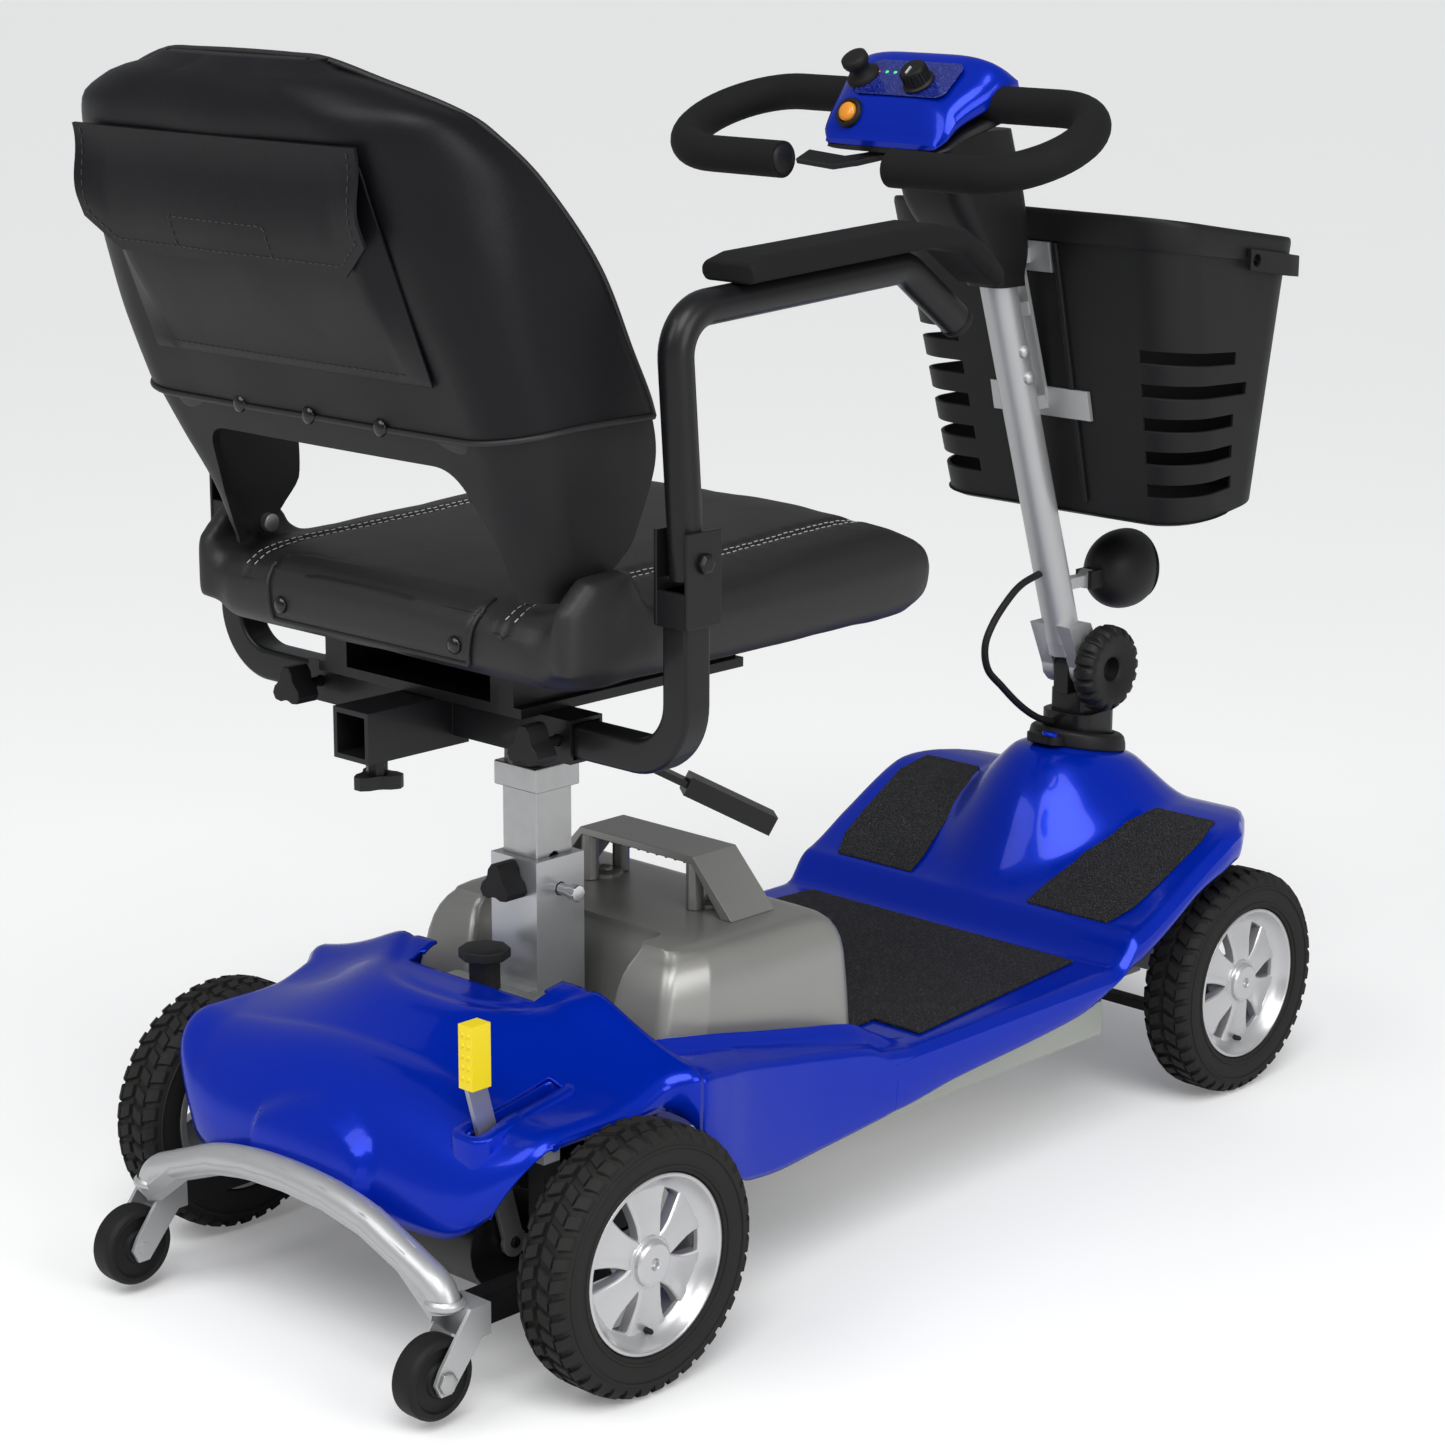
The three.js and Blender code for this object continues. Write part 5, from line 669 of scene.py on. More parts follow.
def piece(name: str, shape: Shape, finish: Finish, body: str, replaces: Sequence[str] = (), *, bevel: float = 0.0,
          levels: int = 0, wall: float = 0.0, angle: float = 35.0, segments: int = 2,
          flat: bool = False) -> bpy.types.Object:
    """Makes a finished piece that rides on a body.

    Args:
        name: The piece's name.
        shape: Its points and faces.
        finish: Its finish.
        body: The body it rides on, or nothing where a blend follows.
        replaces: The frame's nodes that it stands for.
        bevel: The width of its rounded edges.
        levels: Levels of subdivision.
        wall: Thickness given to an open sheet, inwards.
        angle: Edges sharper than this stay sharp.
        segments: Steps in each rounded edge.
        flat: Whether triangles that lie in one plane are joined first.

    Returns:
        The object.
    """
    made = mesh_of(name, shape, finish, flat=flat)
    if wall:
        solid = made.modifiers.new("wall", "SOLIDIFY")
        solid.thickness = wall * SCALE
        solid.offset = -1.0
    if bevel:
        edge = made.modifiers.new("edges", "BEVEL")
        edge.width = bevel * SCALE
        edge.segments = segments
        edge.limit_method = "ANGLE"
        edge.angle_limit = math.radians(30)
        even = made.modifiers.new("shading", "WEIGHTED_NORMAL")
        even.keep_sharp = True
    if levels:
        finer = made.modifiers.new("smooth", "SUBSURF")
        finer.levels = finer.render_levels = levels
    polygons = made.data.polygons
    polygons.foreach_set("use_smooth", [True] * len(polygons))
    if not bevel and not levels:
        made.data.set_sharp_from_angle(angle=math.radians(angle))
    if replaces:
        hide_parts(*replaces)
    if body:
        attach(made, body)
    LOG.info("%s on %s: %d points", name, body, len(shape.points))
    return made


class Repeater:
    """Geometry Nodes that set copies of one shape round an axis or along a path."""

    def __init__(self, name: str, ring: bool) -> None:
        """Builds the tree.

        Args:
            name: The tree's name.
            ring: Whether the copies stand round the X axis, or else along the object's own edges.
        """
        tree = bpy.data.node_groups.new(name, "GeometryNodeTree")
        self.tree = tree
        face = tree.interface
        face.new_socket("Geometry", in_out="INPUT", socket_type="NodeSocketGeometry")
        face.new_socket("Item", in_out="INPUT", socket_type="NodeSocketObject")
        face.new_socket("Count", in_out="INPUT", socket_type="NodeSocketInt")
        face.new_socket("Spacing", in_out="INPUT", socket_type="NodeSocketFloat")
        face.new_socket("Material", in_out="INPUT", socket_type="NodeSocketMaterial")
        face.new_socket("Geometry", in_out="OUTPUT", socket_type="NodeSocketGeometry")
        add, link = tree.nodes.new, tree.links.new
        start, end = add("NodeGroupInput"), add("NodeGroupOutput")
        info = add("GeometryNodeObjectInfo")
        link(start.outputs["Item"], info.inputs["Object"])
        place = add("GeometryNodeInstanceOnPoints")
        if ring:
            points = add("GeometryNodePoints")
            link(start.outputs["Count"], points.inputs["Count"])
            index, step, spin = add("GeometryNodeInputIndex"), add("ShaderNodeMath"), add("ShaderNodeMath")
            step.operation, spin.operation = "DIVIDE", "MULTIPLY"
            step.inputs[0].default_value = 2 * math.pi
            link(start.outputs["Count"], step.inputs[1])
            link(index.outputs[0], spin.inputs[0])
            link(step.outputs[0], spin.inputs[1])
            angles = add("ShaderNodeCombineXYZ")
            link(spin.outputs[0], angles.inputs["X"])
            link(points.outputs[0], place.inputs["Points"])
            link(angles.outputs[0], place.inputs["Rotation"])
        else:
            curve, even = add("GeometryNodeMeshToCurve"), add("GeometryNodeResampleCurve")
            even.mode = "LENGTH"
            link(start.outputs["Geometry"], curve.inputs[0])
            link(curve.outputs[0], even.inputs["Curve"])
            link(start.outputs["Spacing"], even.inputs["Length"])
            tangent, align = add("GeometryNodeInputTangent"), add("FunctionNodeAlignRotationToVector")
            align.axis = "X"
            link(tangent.outputs[0], align.inputs["Vector"])
            link(even.outputs[0], place.inputs["Points"])
            link(align.outputs[0], place.inputs["Rotation"])
        link(info.outputs["Geometry"], place.inputs["Instance"])
        real, dress = add("GeometryNodeRealizeInstances"), add("GeometryNodeSetMaterial")
        link(place.outputs[0], real.inputs[0])
        link(real.outputs[0], dress.inputs[0])
        link(start.outputs["Material"], dress.inputs["Material"])
        link(dress.outputs[0], end.inputs[0])

    def socket(self, name: str) -> str:
        """The identifier of a named input."""
        return next(s.identifier for s in self.tree.interface.items_tree if s.name == name and s.in_out == "INPUT")

    def run(self, item: Shape, finish: Finish, count: int = 1, spacing: float = 1.0, path: Sequence[Sequence[Point]] = ()) -> Shape:
        """Sets the copies and reads them back as one shape.

        Args:
            item: The shape that repeats, drawn about the origin.
            finish: Its finish.
            count: How many go round.
            spacing: The distance between two along a path.
            path: Open lines of points that the copies follow.

        Returns:
            The copies in millimetres, in the same coordinates as the item or the path.
        """
        stamp = mesh_of("stamp", item.at(0, MIDDLE, 0), finish)
        lines = Shape()
        for line in path:
            lines.points.extend(line)
        host = mesh_of("host", lines.at(0, MIDDLE, 0), finish, False)
        start = 0
        for line in path:
            edges = len(host.data.edges)
            host.data.edges.add(len(line) - 1)
            for k in range(len(line) - 1):
                host.data.edges[edges + k].vertices = (start + k, start + k + 1)
            start += len(line)
        modifier = host.modifiers.new("repeat", "NODES")
        modifier.node_group = self.tree
        modifier[self.socket("Item")] = stamp
        modifier[self.socket("Count")] = count
        modifier[self.socket("Spacing")] = spacing * SCALE
        modifier[self.socket("Material")] = finish.material()
        bpy.context.view_layer.update()
        seen = host.evaluated_get(bpy.context.evaluated_depsgraph_get())
        mesh = bpy.data.meshes.new_from_object(seen)
        points = [tuple(v.co / SCALE) for v in mesh.vertices]
        faces = [tuple(p.vertices) for p in mesh.polygons]
        host.modifiers.remove(modifier)
        bpy.data.meshes.remove(mesh)
        for spare in (host, stamp):
            bpy.data.objects.remove(spare)
        return Shape(points, faces)


def as_shape(mesh: bpy.types.Mesh) -> Shape:
    """A mesh in the frame's metres, read back as a shape in millimetres."""
    points = [(v.co.x / SCALE, v.co.y / SCALE + MIDDLE, v.co.z / SCALE) for v in mesh.vertices]
    return Shape(points, [tuple(p.vertices) for p in mesh.polygons])


def applied(made: bpy.types.Object) -> None:
    """Applies every modifier of an object to its mesh."""
    bpy.context.view_layer.update()
    mesh = bpy.data.meshes.new_from_object(made.evaluated_get(bpy.context.evaluated_depsgraph_get()))
    made.modifiers.clear()
    made.data = mesh


@dataclass(frozen=True)
class Stuffing:
    """How a padded piece swells: voxel size, furthest movement, fullness (not used) and pressure."""

    voxel: float = 6.0
    cap: float = 8.0
    fill: float = 0.7
    pressure: float = 4.0
    relax: int = 3


def stuffed(name: str, shape: Shape, finish: Finish, body: str, replaces: Sequence[str], how: Stuffing,
            sew: Optional[Callable[[Point], Point]] = None, finer: bool = True) -> bpy.types.Object:
    """Makes a padded piece: an even skin, swollen by a cloth simulation, and then sewn.

    Args:
        name: The piece's name.
        shape: Its slack form.
        finish: Its fabric.
        body: The body it rides on.
        replaces: The nodes it stands for.
        how: How it swells.
        sew: Moves each point, for seams and channels.
        finer: Whether the skin is subdivided once.

    Returns:
        The object.
    """
    made = mesh_of(name, shape, finish)
    even = made.modifiers.new("even", "REMESH")
    even.mode = "VOXEL"
    even.voxel_size = how.voxel * SCALE
    applied(made)
    start = [v.co.copy() for v in made.data.vertices]
    ends = start
    if how.cap:
        cloth = made.modifiers.new("stuffing", "CLOTH")
        cloth.settings.use_pressure = True
        cloth.settings.uniform_pressure_force = how.pressure
        cloth.settings.effector_weights.gravity = 0.0
        cloth.settings.quality = 4
        scene = bpy.context.scene
        for frame in range(1, 21):
            scene.frame_set(frame)
        seen = made.evaluated_get(bpy.context.evaluated_depsgraph_get())
        ends = [v.co.copy() for v in seen.data.vertices]
        made.modifiers.remove(cloth)
        scene.frame_set(1)
    for vertex, before, after in zip(made.data.vertices, start, ends):
        move = after - before
        limit = how.cap * SCALE
        vertex.co = before + (move.normalized() * limit if move.length > limit else move)
    work = bmesh.new()
    work.from_mesh(made.data)
    for _ in range(how.relax):
        bmesh.ops.smooth_vert(work, verts=work.verts, factor=0.5, use_axis_x=True, use_axis_y=True, use_axis_z=True)
    work.to_mesh(made.data)
    work.free()
    if finer:
        skin = made.modifiers.new("skin", "SUBSURF")
        skin.levels = skin.render_levels = 1
        applied(made)
    if sew:
        for vertex in made.data.vertices:
            x, y, z = sew((vertex.co.x / SCALE, vertex.co.y / SCALE + MIDDLE, vertex.co.z / SCALE))
            vertex.co = (x * SCALE, (y - MIDDLE) * SCALE, z * SCALE)
    made.data.polygons.foreach_set("use_smooth", [True] * len(made.data.polygons))
    if not made.data.materials:
        made.data.materials.append(finish.material())
    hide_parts(*replaces)
    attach(made, body)
    LOG.info("%s is stuffed: %d points", name, len(made.data.vertices))
    return made


def draped(made: bpy.types.Object, line: Sequence[Point], towards: Point, lift: float = 0.3) -> list[Point]:
    """Lays a line on an object's surface.

    Args:
        made: The object.
        line: Points outside the surface.
        towards: The direction in which they fall on it.
        lift: How far they stay off it.

    Returns:
        The points that met the surface.
    """
    tree = BVHTree.FromObject(made, bpy.context.evaluated_depsgraph_get())
    way = Vector(towards).normalized()
    found = []
    for x, y, z in line:
        place, normal, _, _ = tree.ray_cast(Vector((x * SCALE, (y - MIDDLE) * SCALE, z * SCALE)), way)
        if place is not None:
            at = place / SCALE - way * lift
            found.append((at.x, at.y + MIDDLE, at.z))
    return found


def bump_on(value: float, centre: float, width: float) -> float:
    """A smooth bump of height 1 round a value."""
    return math.exp(-((value - centre) / width) ** 2)


@dataclass
class Model:
    """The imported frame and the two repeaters, with the calls that every sub-assembly uses."""

    frame: dict[str, Any]
    rings: Repeater
    lines: Repeater

    def solid(self, node: str) -> Shape:
        """A CAD node's own form."""
        return as_shape(self.frame["nodes"][node].data)

    def adopt(self, node: str, body: str, finish: Finish, bevel: float = 1.0, extra: Optional[Shape] = None) -> bpy.types.Object:
        """Gives a CAD solid's form rounded edges, added detail and a finish.

        Args:
            node: The CAD node, which the piece replaces.
            body: The body it rides on.
            finish: Its finish.
            bevel: The width of its rounded edges.
            extra: Detail that is part of the same piece.

        Returns:
            The piece.
        """
        shape = self.solid(node)
        if extra:
            drawn = mesh_of("drawn", extra, finish)
            shape = shape.plus(as_shape(drawn.data))
            bpy.data.objects.remove(drawn)
        return piece(f"{node}_dressed", shape, finish, body, (node,), bevel=bevel, flat=True)

    def stitch(self, name: str, lines: Sequence[Sequence[Point]], body: str, finish: Finish = THREAD, length: float = 4.0,
               pitch: float = 6.5) -> None:
        """Sews a row of stitches along lines on a surface."""
        thread = rod("x", 0.45, -length / 2, length / 2, (0, 0), 0.3, 6)
        run = [line for line in lines if len(line) > 1]
        piece(name, self.lines.run(thread, finish, spacing=pitch, path=run), finish, body)


# The studio.


@dataclass(frozen=True)
class Studio:
    """The camera solved from the photograph, a plain floor and plain soft light."""

    yaw: float = 223.28189
    pitch: float = 14.21126
    roll: float = 0.25345
    lens: float = 85.846
    target: Point = (71.478, -0.004, 364.965)
    distance: float = 2862.632

    def camera(self) -> None:
        """Sets the camera at the photograph's viewing angle."""
        a, e, r = (math.radians(turn) for turn in (self.yaw, self.pitch, self.roll))
        back = Vector((math.sin(a) * math.cos(e), -math.cos(a) * math.cos(e), math.sin(e)))
        right = Vector((math.cos(a), math.sin(a), 0))
        up = back.cross(right)
        right, up = math.cos(r) * right + math.sin(r) * up, math.cos(r) * up - math.sin(r) * right
        place = (Vector(self.target) + back * self.distance - Vector((0, MIDDLE, 0))) * SCALE
        data = bpy.data.cameras.new("camera")
        data.lens, data.sensor_width, data.sensor_fit = self.lens, 36.0, "HORIZONTAL"
        data.clip_end = 200.0
        made = bpy.data.objects.new("camera", data)
        made.matrix_world = Matrix.Translation(place) @ Matrix((right, up, back)).transposed().to_4x4()
        bpy.context.scene.collection.objects.link(made)
        bpy.context.scene.camera = made

    def floor(self) -> None:
        """Lays a wide pale floor that keeps the object's shadow."""
        finish = bpy.data.materials.new("studio_floor")
        graph = Graph(finish)
        pale = graph.mix(graph.noise(3.0), (0.86, 0.86, 0.86), (0.84, 0.84, 0.84))
        graph.feed(graph.shader.inputs["Base Color"], pale)
        graph.shader.inputs["Roughness"].default_value = 0.9
        graph.shader.inputs["Specular IOR Level"].default_value = 0.1
        seen = graph.node("ShaderNodeLightPath", {}, {}, "Is Camera Ray")
        strength = seen * 0.16
        graph.shader.inputs["Emission Color"].default_value = (1.0, 1.0, 1.0, 1.0)
        graph.feed(graph.shader.inputs["Emission Strength"], strength)
        wide = 60000.0
        made = mesh_of("studio_floor_plane", Shape([(-wide, -wide, 0), (wide, -wide, 0), (wide, wide, 0), (-wide, wide, 0)], [(0, 1, 2, 3)]),
                       BLUE)
        made.data.materials.clear()
        made.data.materials.append(finish)

    def light(self) -> None:
        """Adds the sky, a broad soft sun and two soft boxes."""
        world = bpy.data.worlds.new("sky")
        bpy.context.scene.world = world
        world.use_nodes = True
        tree = world.node_tree
        tree.nodes.clear()
        add, link = tree.nodes.new, tree.links.new
        path, join, out = add("ShaderNodeLightPath"), add("ShaderNodeMixShader"), add("ShaderNodeOutputWorld")
        sky, seen, most = add("ShaderNodeBackground"), add("ShaderNodeBackground"), add("ShaderNodeMath")
        most.operation = "MAXIMUM"
        sky.inputs["Color"].default_value = (0.96, 0.98, 1.0, 1.0)
        sky.inputs["Strength"].default_value = 0.3
        seen.inputs["Strength"].default_value = 1.0
        seen.inputs["Color"].default_value = (1.0, 1.0, 1.0, 1.0)
        link(path.outputs["Is Camera Ray"], most.inputs[0])
        link(path.outputs["Is Transmission Ray"], most.inputs[1])
        link(most.outputs[0], join.inputs[0])
        link(sky.outputs[0], join.inputs[1])
        link(seen.outputs[0], join.inputs[2])
        link(join.outputs[0], out.inputs[0])
        lamps = (("SUN", "soft_sun", (-2.0, 2.0, 4.0), 1.75, 0.0), ("AREA", "side_box", (-3.0, 0.3, 1.6), 34.0, 1.6),
                 ("AREA", "high_box", (0.4, 2.6, 2.6), 36.0, 1.8))
        for kind, name, spot, power, size in lamps:
            data = bpy.data.lights.new(name, kind)
            data.energy = power
            if size:
                data.size = size
            else:
                data.angle = math.radians(35)
            made = bpy.data.objects.new(name, data)
            made.location = spot
            made.rotation_euler = (Vector(spot) - Vector((0, 0, 0.4))).to_track_quat("Z", "Y").to_euler()
            bpy.context.scene.collection.objects.link(made)
        bpy.context.scene.view_settings.view_transform = "Standard"


# Wheels.


@dataclass(frozen=True)
class Wheels:
    """Four treaded tyres on six-spoked rims, and the two anti-tip wheels on their bow."""

    radius: float = 100.0
    front: Flat = (165.0, -404.0)
    rear: Flat = (227.0, 404.0)
    caster: Point = (170.0, 548.0, 38.0)
    lugs: int = 40

    def tyre(self, model: Model) -> Shape:
        """A tyre about the origin: its carcass, a row of blocks each side of a groove and lugs on the shoulders."""
        wall = [(67.3, -19), (68.6, -22), (74, -23.4), (82, -24), (89, -23.2), (94, -20), (96.2, -15), (96.6, -2.6), (94.6, -1.8)]
        profile = [*wall, *((r, -x) for r, x in reversed(wall)), wall[0]]
        body = turn(profile, "x", (0, 0, 0), 96)
        blocks = Shape()
        for x0, x1, top0, top1, lean, shift in ((2.6, 12.5, 99.7, 99.6, 2.4, 0.0), (14.4, 22.4, 99.2, 94.0, -1.5, 3.0)):
            for side in (1, -1):
                rows = []
                for k in range(4):
                    t = k / 3
                    x, high = x0 + (x1 - x0) * t, top0 + (top1 - top0) * t * t
                    mid = shift * side + lean * (t - 0.5) * 2
                    low = 94.0 if x1 < 20 else high - 6
                    rows.append([(x * side, mid - 5.2, low), (x * side, mid - 4.4, high), (x * side, mid + 4.4, high), (x * side, mid + 5.2, low)])
                blocks = blocks.plus(grid(rows, True, True))
        grooves = turn([(85.5, 23.9), (86, 24.6), (87.4, 24.6), (87.9, 23.6)], "x", (0, 0, 0), 96)
        rings = grooves.plus(grooves.side(-1), turn([(71, 23), (71.4, 24), (73, 24.2), (73.6, 23.4)], "x", (0, 0, 0), 96))
        return body.plus(rings, model.rings.run(blocks, TREAD, self.lugs))

    def rim(self, model: Model) -> Shape:
        """A rim about the origin with its outer face towards +X: barrel, fluted spokes, hub and cap."""
        barrel = [(62, -21), (66.9, -21), (66.9, -18.5), (63.5, -16), (60.5, -10), (60.5, 8), (63.5, 14), (66.9, 18.5), (67, 21),
                  (64.8, 21.6), (63.4, 20.4), (61.5, 15.5), (57, 11.5), (53.5, 9.5), (52.6, 6), (56.5, 2), (56.5, -14), (60, -20), (62, -21)]
        flutes = []
        for r, half, face in ((15, 11, 14), (22, 11, 14.5), (30, 12.2, 13.6), (38, 14.4, 12), (46, 17.4, 10.8), (53, 21, 10.2), (58, 25, 10)):
            low = face - 10
            section = [(-half, low), (-half, face - 1.5), (-half + 1.3, face), (-half * 0.55, face), (-half * 0.36, face - 0.9),
                       (half * 0.36, face - 0.9), (half * 0.55, face), (half - 1.3, face), (half, face - 1.5), (half, low)]
            flutes.append([(x, y, r) for y, x in section])
        hub = [(0, -12), (12, -12), (18, -10), (21, -4), (21.5, 10), (20.5, 13.5), (18.6, 14.6), (17.8, 14.2), (17, 15), (16.6, 18),
               (14.5, 19.6), (6, 20), (4.2, 19.4), (3.6, 16), (0, 15.4)]
        spokes = model.rings.run(grid(flutes, True, True), ALLOY, 6)
        return turn(barrel, "x", (0, 0, 0), 72).plus(spokes, turn(hub, "x", (0, 0, 0), 40))

    def build(self, model: Model) -> None:
        """Dresses all six wheels and the bow."""
        tyre, rim = self.tyre(model), self.rim(model)
        for end, (x, y) in (("front", self.front), ("rear", self.rear)):
            for side, sign in SIDES:
                body = f"{end}_wheel_{side}"
                spot = (sign * x, y, self.radius)
                piece(f"tyre_{end}_{side}_dressed", tyre.side(sign).at(*spot), TREAD, body, (f"tyre_{end}_{side}",), angle=28)
                piece(f"rim_{end}_{side}_dressed", rim.side(sign).at(*spot), ALLOY, body, (f"rim_{end}_{side}",), bevel=0.7)
                valve = turn([(0, 0), (2.2, 0.4), (2.5, 3), (2.1, 9), (1.6, 10), (0, 10)], "x", (6, 0, -53), 14)
                piece(f"valve_{end}_{side}", valve.side(sign).at(*spot), RUBBER, body)
        roller = [(5.5, -10.4), (12, -10.4), (13, -8), (23, -8), (24, -10.8), (27.5, -10.8), (30, -8.4), (30.5, -5), (30.5, 5), (30, 8.4),
                  (27.5, 10.8), (24, 10.8), (23, 8), (13, 8), (12, 10.4), (5.5, 10.4), (5.5, -10.4)]
        cx, cy, cz = self.caster
        for side, sign in SIDES:
            piece(f"anti_tip_wheel_{side}_dressed", turn(roller, "x", (sign * cx, cy, cz), 56), RUBBER, f"anti_tip_{side}",
                  (f"anti_tip_wheel_{side}",), bevel=0.6)
            cap = turn([(0, 19), (5, 19), (8.4, 18), (8.6, 15.4), (0, 15.4)], "x", (cx, cy, cz), 6)
            piece(f"anti_tip_bolt_{side}", cap.side(sign), STEEL, "chassis", bevel=0.5)
        half = [(165.0, 80.0), (163.5, 86.0), (155.0, 97.0), (128.7, 108.0), (85.8, 124.3), (44.5, 131.8), (0.0, 134.0)]
        line = [(x, 530.0, z) for x, z in half] + [(-x, 530.0, z) for x, z in reversed(half[:-1])]
        bow = sweep(circle(12.2, 24), smooth_path(line, 6), (0, 1, 0))
        welds = [turn([(12.4, -4), (14.6, -2), (15, 0), (14.4, 2), (12.4, 4)], "z", (sign * 164.4, 530, 86), 24) for _, sign in SIDES]
        model.adopt("anti_tip_bar", "chassis", SILVER, 0.8, bow.plus(*welds))


# Chassis.


@dataclass(frozen=True)
class Chassis:
    """The frames, the drive, the floor shell, its mats, the rear shroud and the lever."""

    deck: float = 158.0
    half: float = 190.0
    base: float = 808.0
    nose: float = -512.5
    crown: float = 250.0
    column: float = -391.0
    skirt: tuple[Point, ...] = (
        (-0.6343, 1.05, 0.4), (-0.615, 1.15, 0.54), (-0.585, 1.25, 0.66), (-0.545, 1.36, 0.79), (-0.495, 1.4, 0.935),
        (-0.4666, 1.39, 1), (-0.4295, 1.35, 1.02), (-0.3936, 1.29, 1.02), (-0.3614, 1.2, 1.02), (-0.3243, 1.09, 1.015),
        (-0.2958, 1.02, 1.01), (-0.2859, 1.0, 1.005), (-0.2537, 0.92, 1), (-0.2, 0.83, 1), (-0.12, 0.79, 1), (0, 0.75, 1),
        (0.095, 0.7, 1))
    sides: tuple[tuple[float, float, float, float], ...] = (
        (0.093, 0.98, 1, 0.7), (0.109, 1.16, 1, 0.69), (0.2, 1.24, 1.01, 0.66), (0.26, 1.3, 1.03, 0.65), (0.317, 1.36, 1.06, 0.68),
        (0.36, 1.4, 1.1, 0.84), (0.3985, 1.43, 1.13, 1.06))

    def top(self, y: float) -> float:
        """The floor's height along its middle line, without the dome."""
        if y >= -400:
            line = [(-400, 250), (-372, 247), (-347, 238), (-290, 209.5), (-243, 186), (-233, 183), (-224, 172), (-214, 161.5), (-203, 158), (90, 158)]
            return read(line, y)
        share = (-400 - y) / (-400 - self.nose)
        return 170 + (self.crown - 170) * math.sqrt(max(0.0, 1 - share * share))

    def level(self, x: float, y: float) -> float:
        """The height of the floor and the dome over it."""
        dx, dy = x, y - self.column
        reach = math.hypot(dx, dy)
        if reach < 1:
            return 287.0
        c, s = dx / reach, dy / reach
        foot = 1 / math.hypot(c / 90, s / (138 if s > 0 else 90))
        base = self.top(y)
        if reach > foot * 1.16:
            return base
        share = (foot * 1.16 - reach) / (foot * 1.16 - 40)
        rise = read([(0, 0), (0.12, 0.03), (0.3, 0.18), (0.6, 0.6), (0.85, 0.93), (1, 1)], min(1.0, share))
        goal = 287 + 0.182 * dy
        return base + max(0.0, goal - base) * rise

    def shell(self) -> Shape:
        """The floor shell: deck, ramps, dome, nose and skirts in one skin."""
        lows = [(place, low) for place, low, _ in self.skirt]
        halves = [(place, half) for place, _, half in self.skirt]
        ys = [self.crown * 0 - 400 - 112.4 * math.sin(t * math.pi / 24) for t in range(12, 0, -1)]
        y = -400.0
        while y < 76.7:
            ys.append(y)
            y += 4.0 if y < -200 else 12.0
        ys.append(76.76)
        rows = []
        for y in ys:
            half, low = read(halves, y / self.base) * self.half, read(lows, y / self.base) * self.deck
            side = []
            for k in range(41):
                x = half * (1 - (1 - k / 40) ** 1.0)
                drop = max(0.0, (x - (half - 13)) / 13)
                side.append((x, y, self.level(x, y) - 8 * (1 - math.sqrt(max(0.0, 1 - drop * drop)))))
            edge = side[-1][2]
            low = min(low, edge - 2)
            for share, out in ((0.1, 0.0), (0.3, 0.4), (0.5, 0.3), (0.75, -0.6), (0.95, -1.6), (1.0, -2.4)):
                side.append((half + out, y, edge + (low - edge) * share))
            rows.append([(-x, v, z) for x, v, z in reversed(side[1:])] + side)
        count = len(rows[0])
        skip = [(i, j) for i in range(len(rows) - 1) for j in range(count - 1)
                if math.hypot(rows[i][j][0], rows[i][j][1] - self.column) < 30]
        return grid(rows, skip=skip)

    def side_rail(self) -> Shape:
        """The shell's narrow rail beside the battery."""
        tables = [[(row[0], row[k]) for row in self.sides] for k in (2, 3)]
        rise = [(20, 157.5), (50, 159.5), (80, 172), (104, 184), (161.6, 196), (210, 205.4), (256, 214.9), (290.9, 221.2), (322.4, 226)]
        rows = []
        for k in range(50):
            y = 20 + (322.4 - 20) * k / 49
            half, low = (read(table, y / self.base) * size for table, size in zip(tables, (self.half, self.deck)))
            if y < 76:
                low = read([(row[0], row[1]) for row in self.skirt], y / self.base) * self.deck
            hidden = 0.6 * (1 - ease((y - 45) / 30))
            top = read(rise, y) - hidden
            half -= hidden
            drop = min(1.0, max(0.0, (top - 157) / 20))
            side = top - 13.5 * drop
            row = [(163, y, 150), (163, y, top - 1.2), (164, y, top - 0.2), (166, y, top), (169, y, top - 2 * drop), (172, y, top - 6.5 * drop),
                   (175, y, top - 9.6 * drop), (half - 13, y, side + 1.6 * drop)]
            row += [(half - 13 + x, y, side - 8 * (1 - math.sqrt(1 - (x / 13) ** 2))) for x in (4, 7, 9.5, 11.5, 12.6, 13)]
            row += [(half + out, y, side - 8 + (low - side + 8) * share) for share, out in ((0.1, 0.0), (0.3, 0.4), (0.5, 0.3), (0.75, -0.6), (0.95, -1.6), (1.0, -2.4))]
            rows.append(row)
        return grid(rows)

    def hood(self, x: float, y: float) -> float:
        """The shroud's height in front of its tail."""
        reach = max(0.0, y - 290)
        inside = ((abs(x) / 100) ** 2.6 + (reach / 104) ** 2.6) ** (1 / 2.6)
        outside = ((abs(x) / 212) ** 2.4 + (reach / 212) ** 2.4) ** (1 / 2.4)
        raised = 240 + 10 * ease((360 - y) / 40) - 1.8 * bump_on(inside, 0.93, 0.04)
        flat = 200 + 14 * ease((384 - y) / 60)
        share = (inside - 1) / (inside - 1 + max(1e-6, 1 - outside)) if outside < 1 else 1.0
        return raised + (flat - raised) * (0.45 * ease(share) + 0.55 * share ** 1.7) if inside > 1 else raised

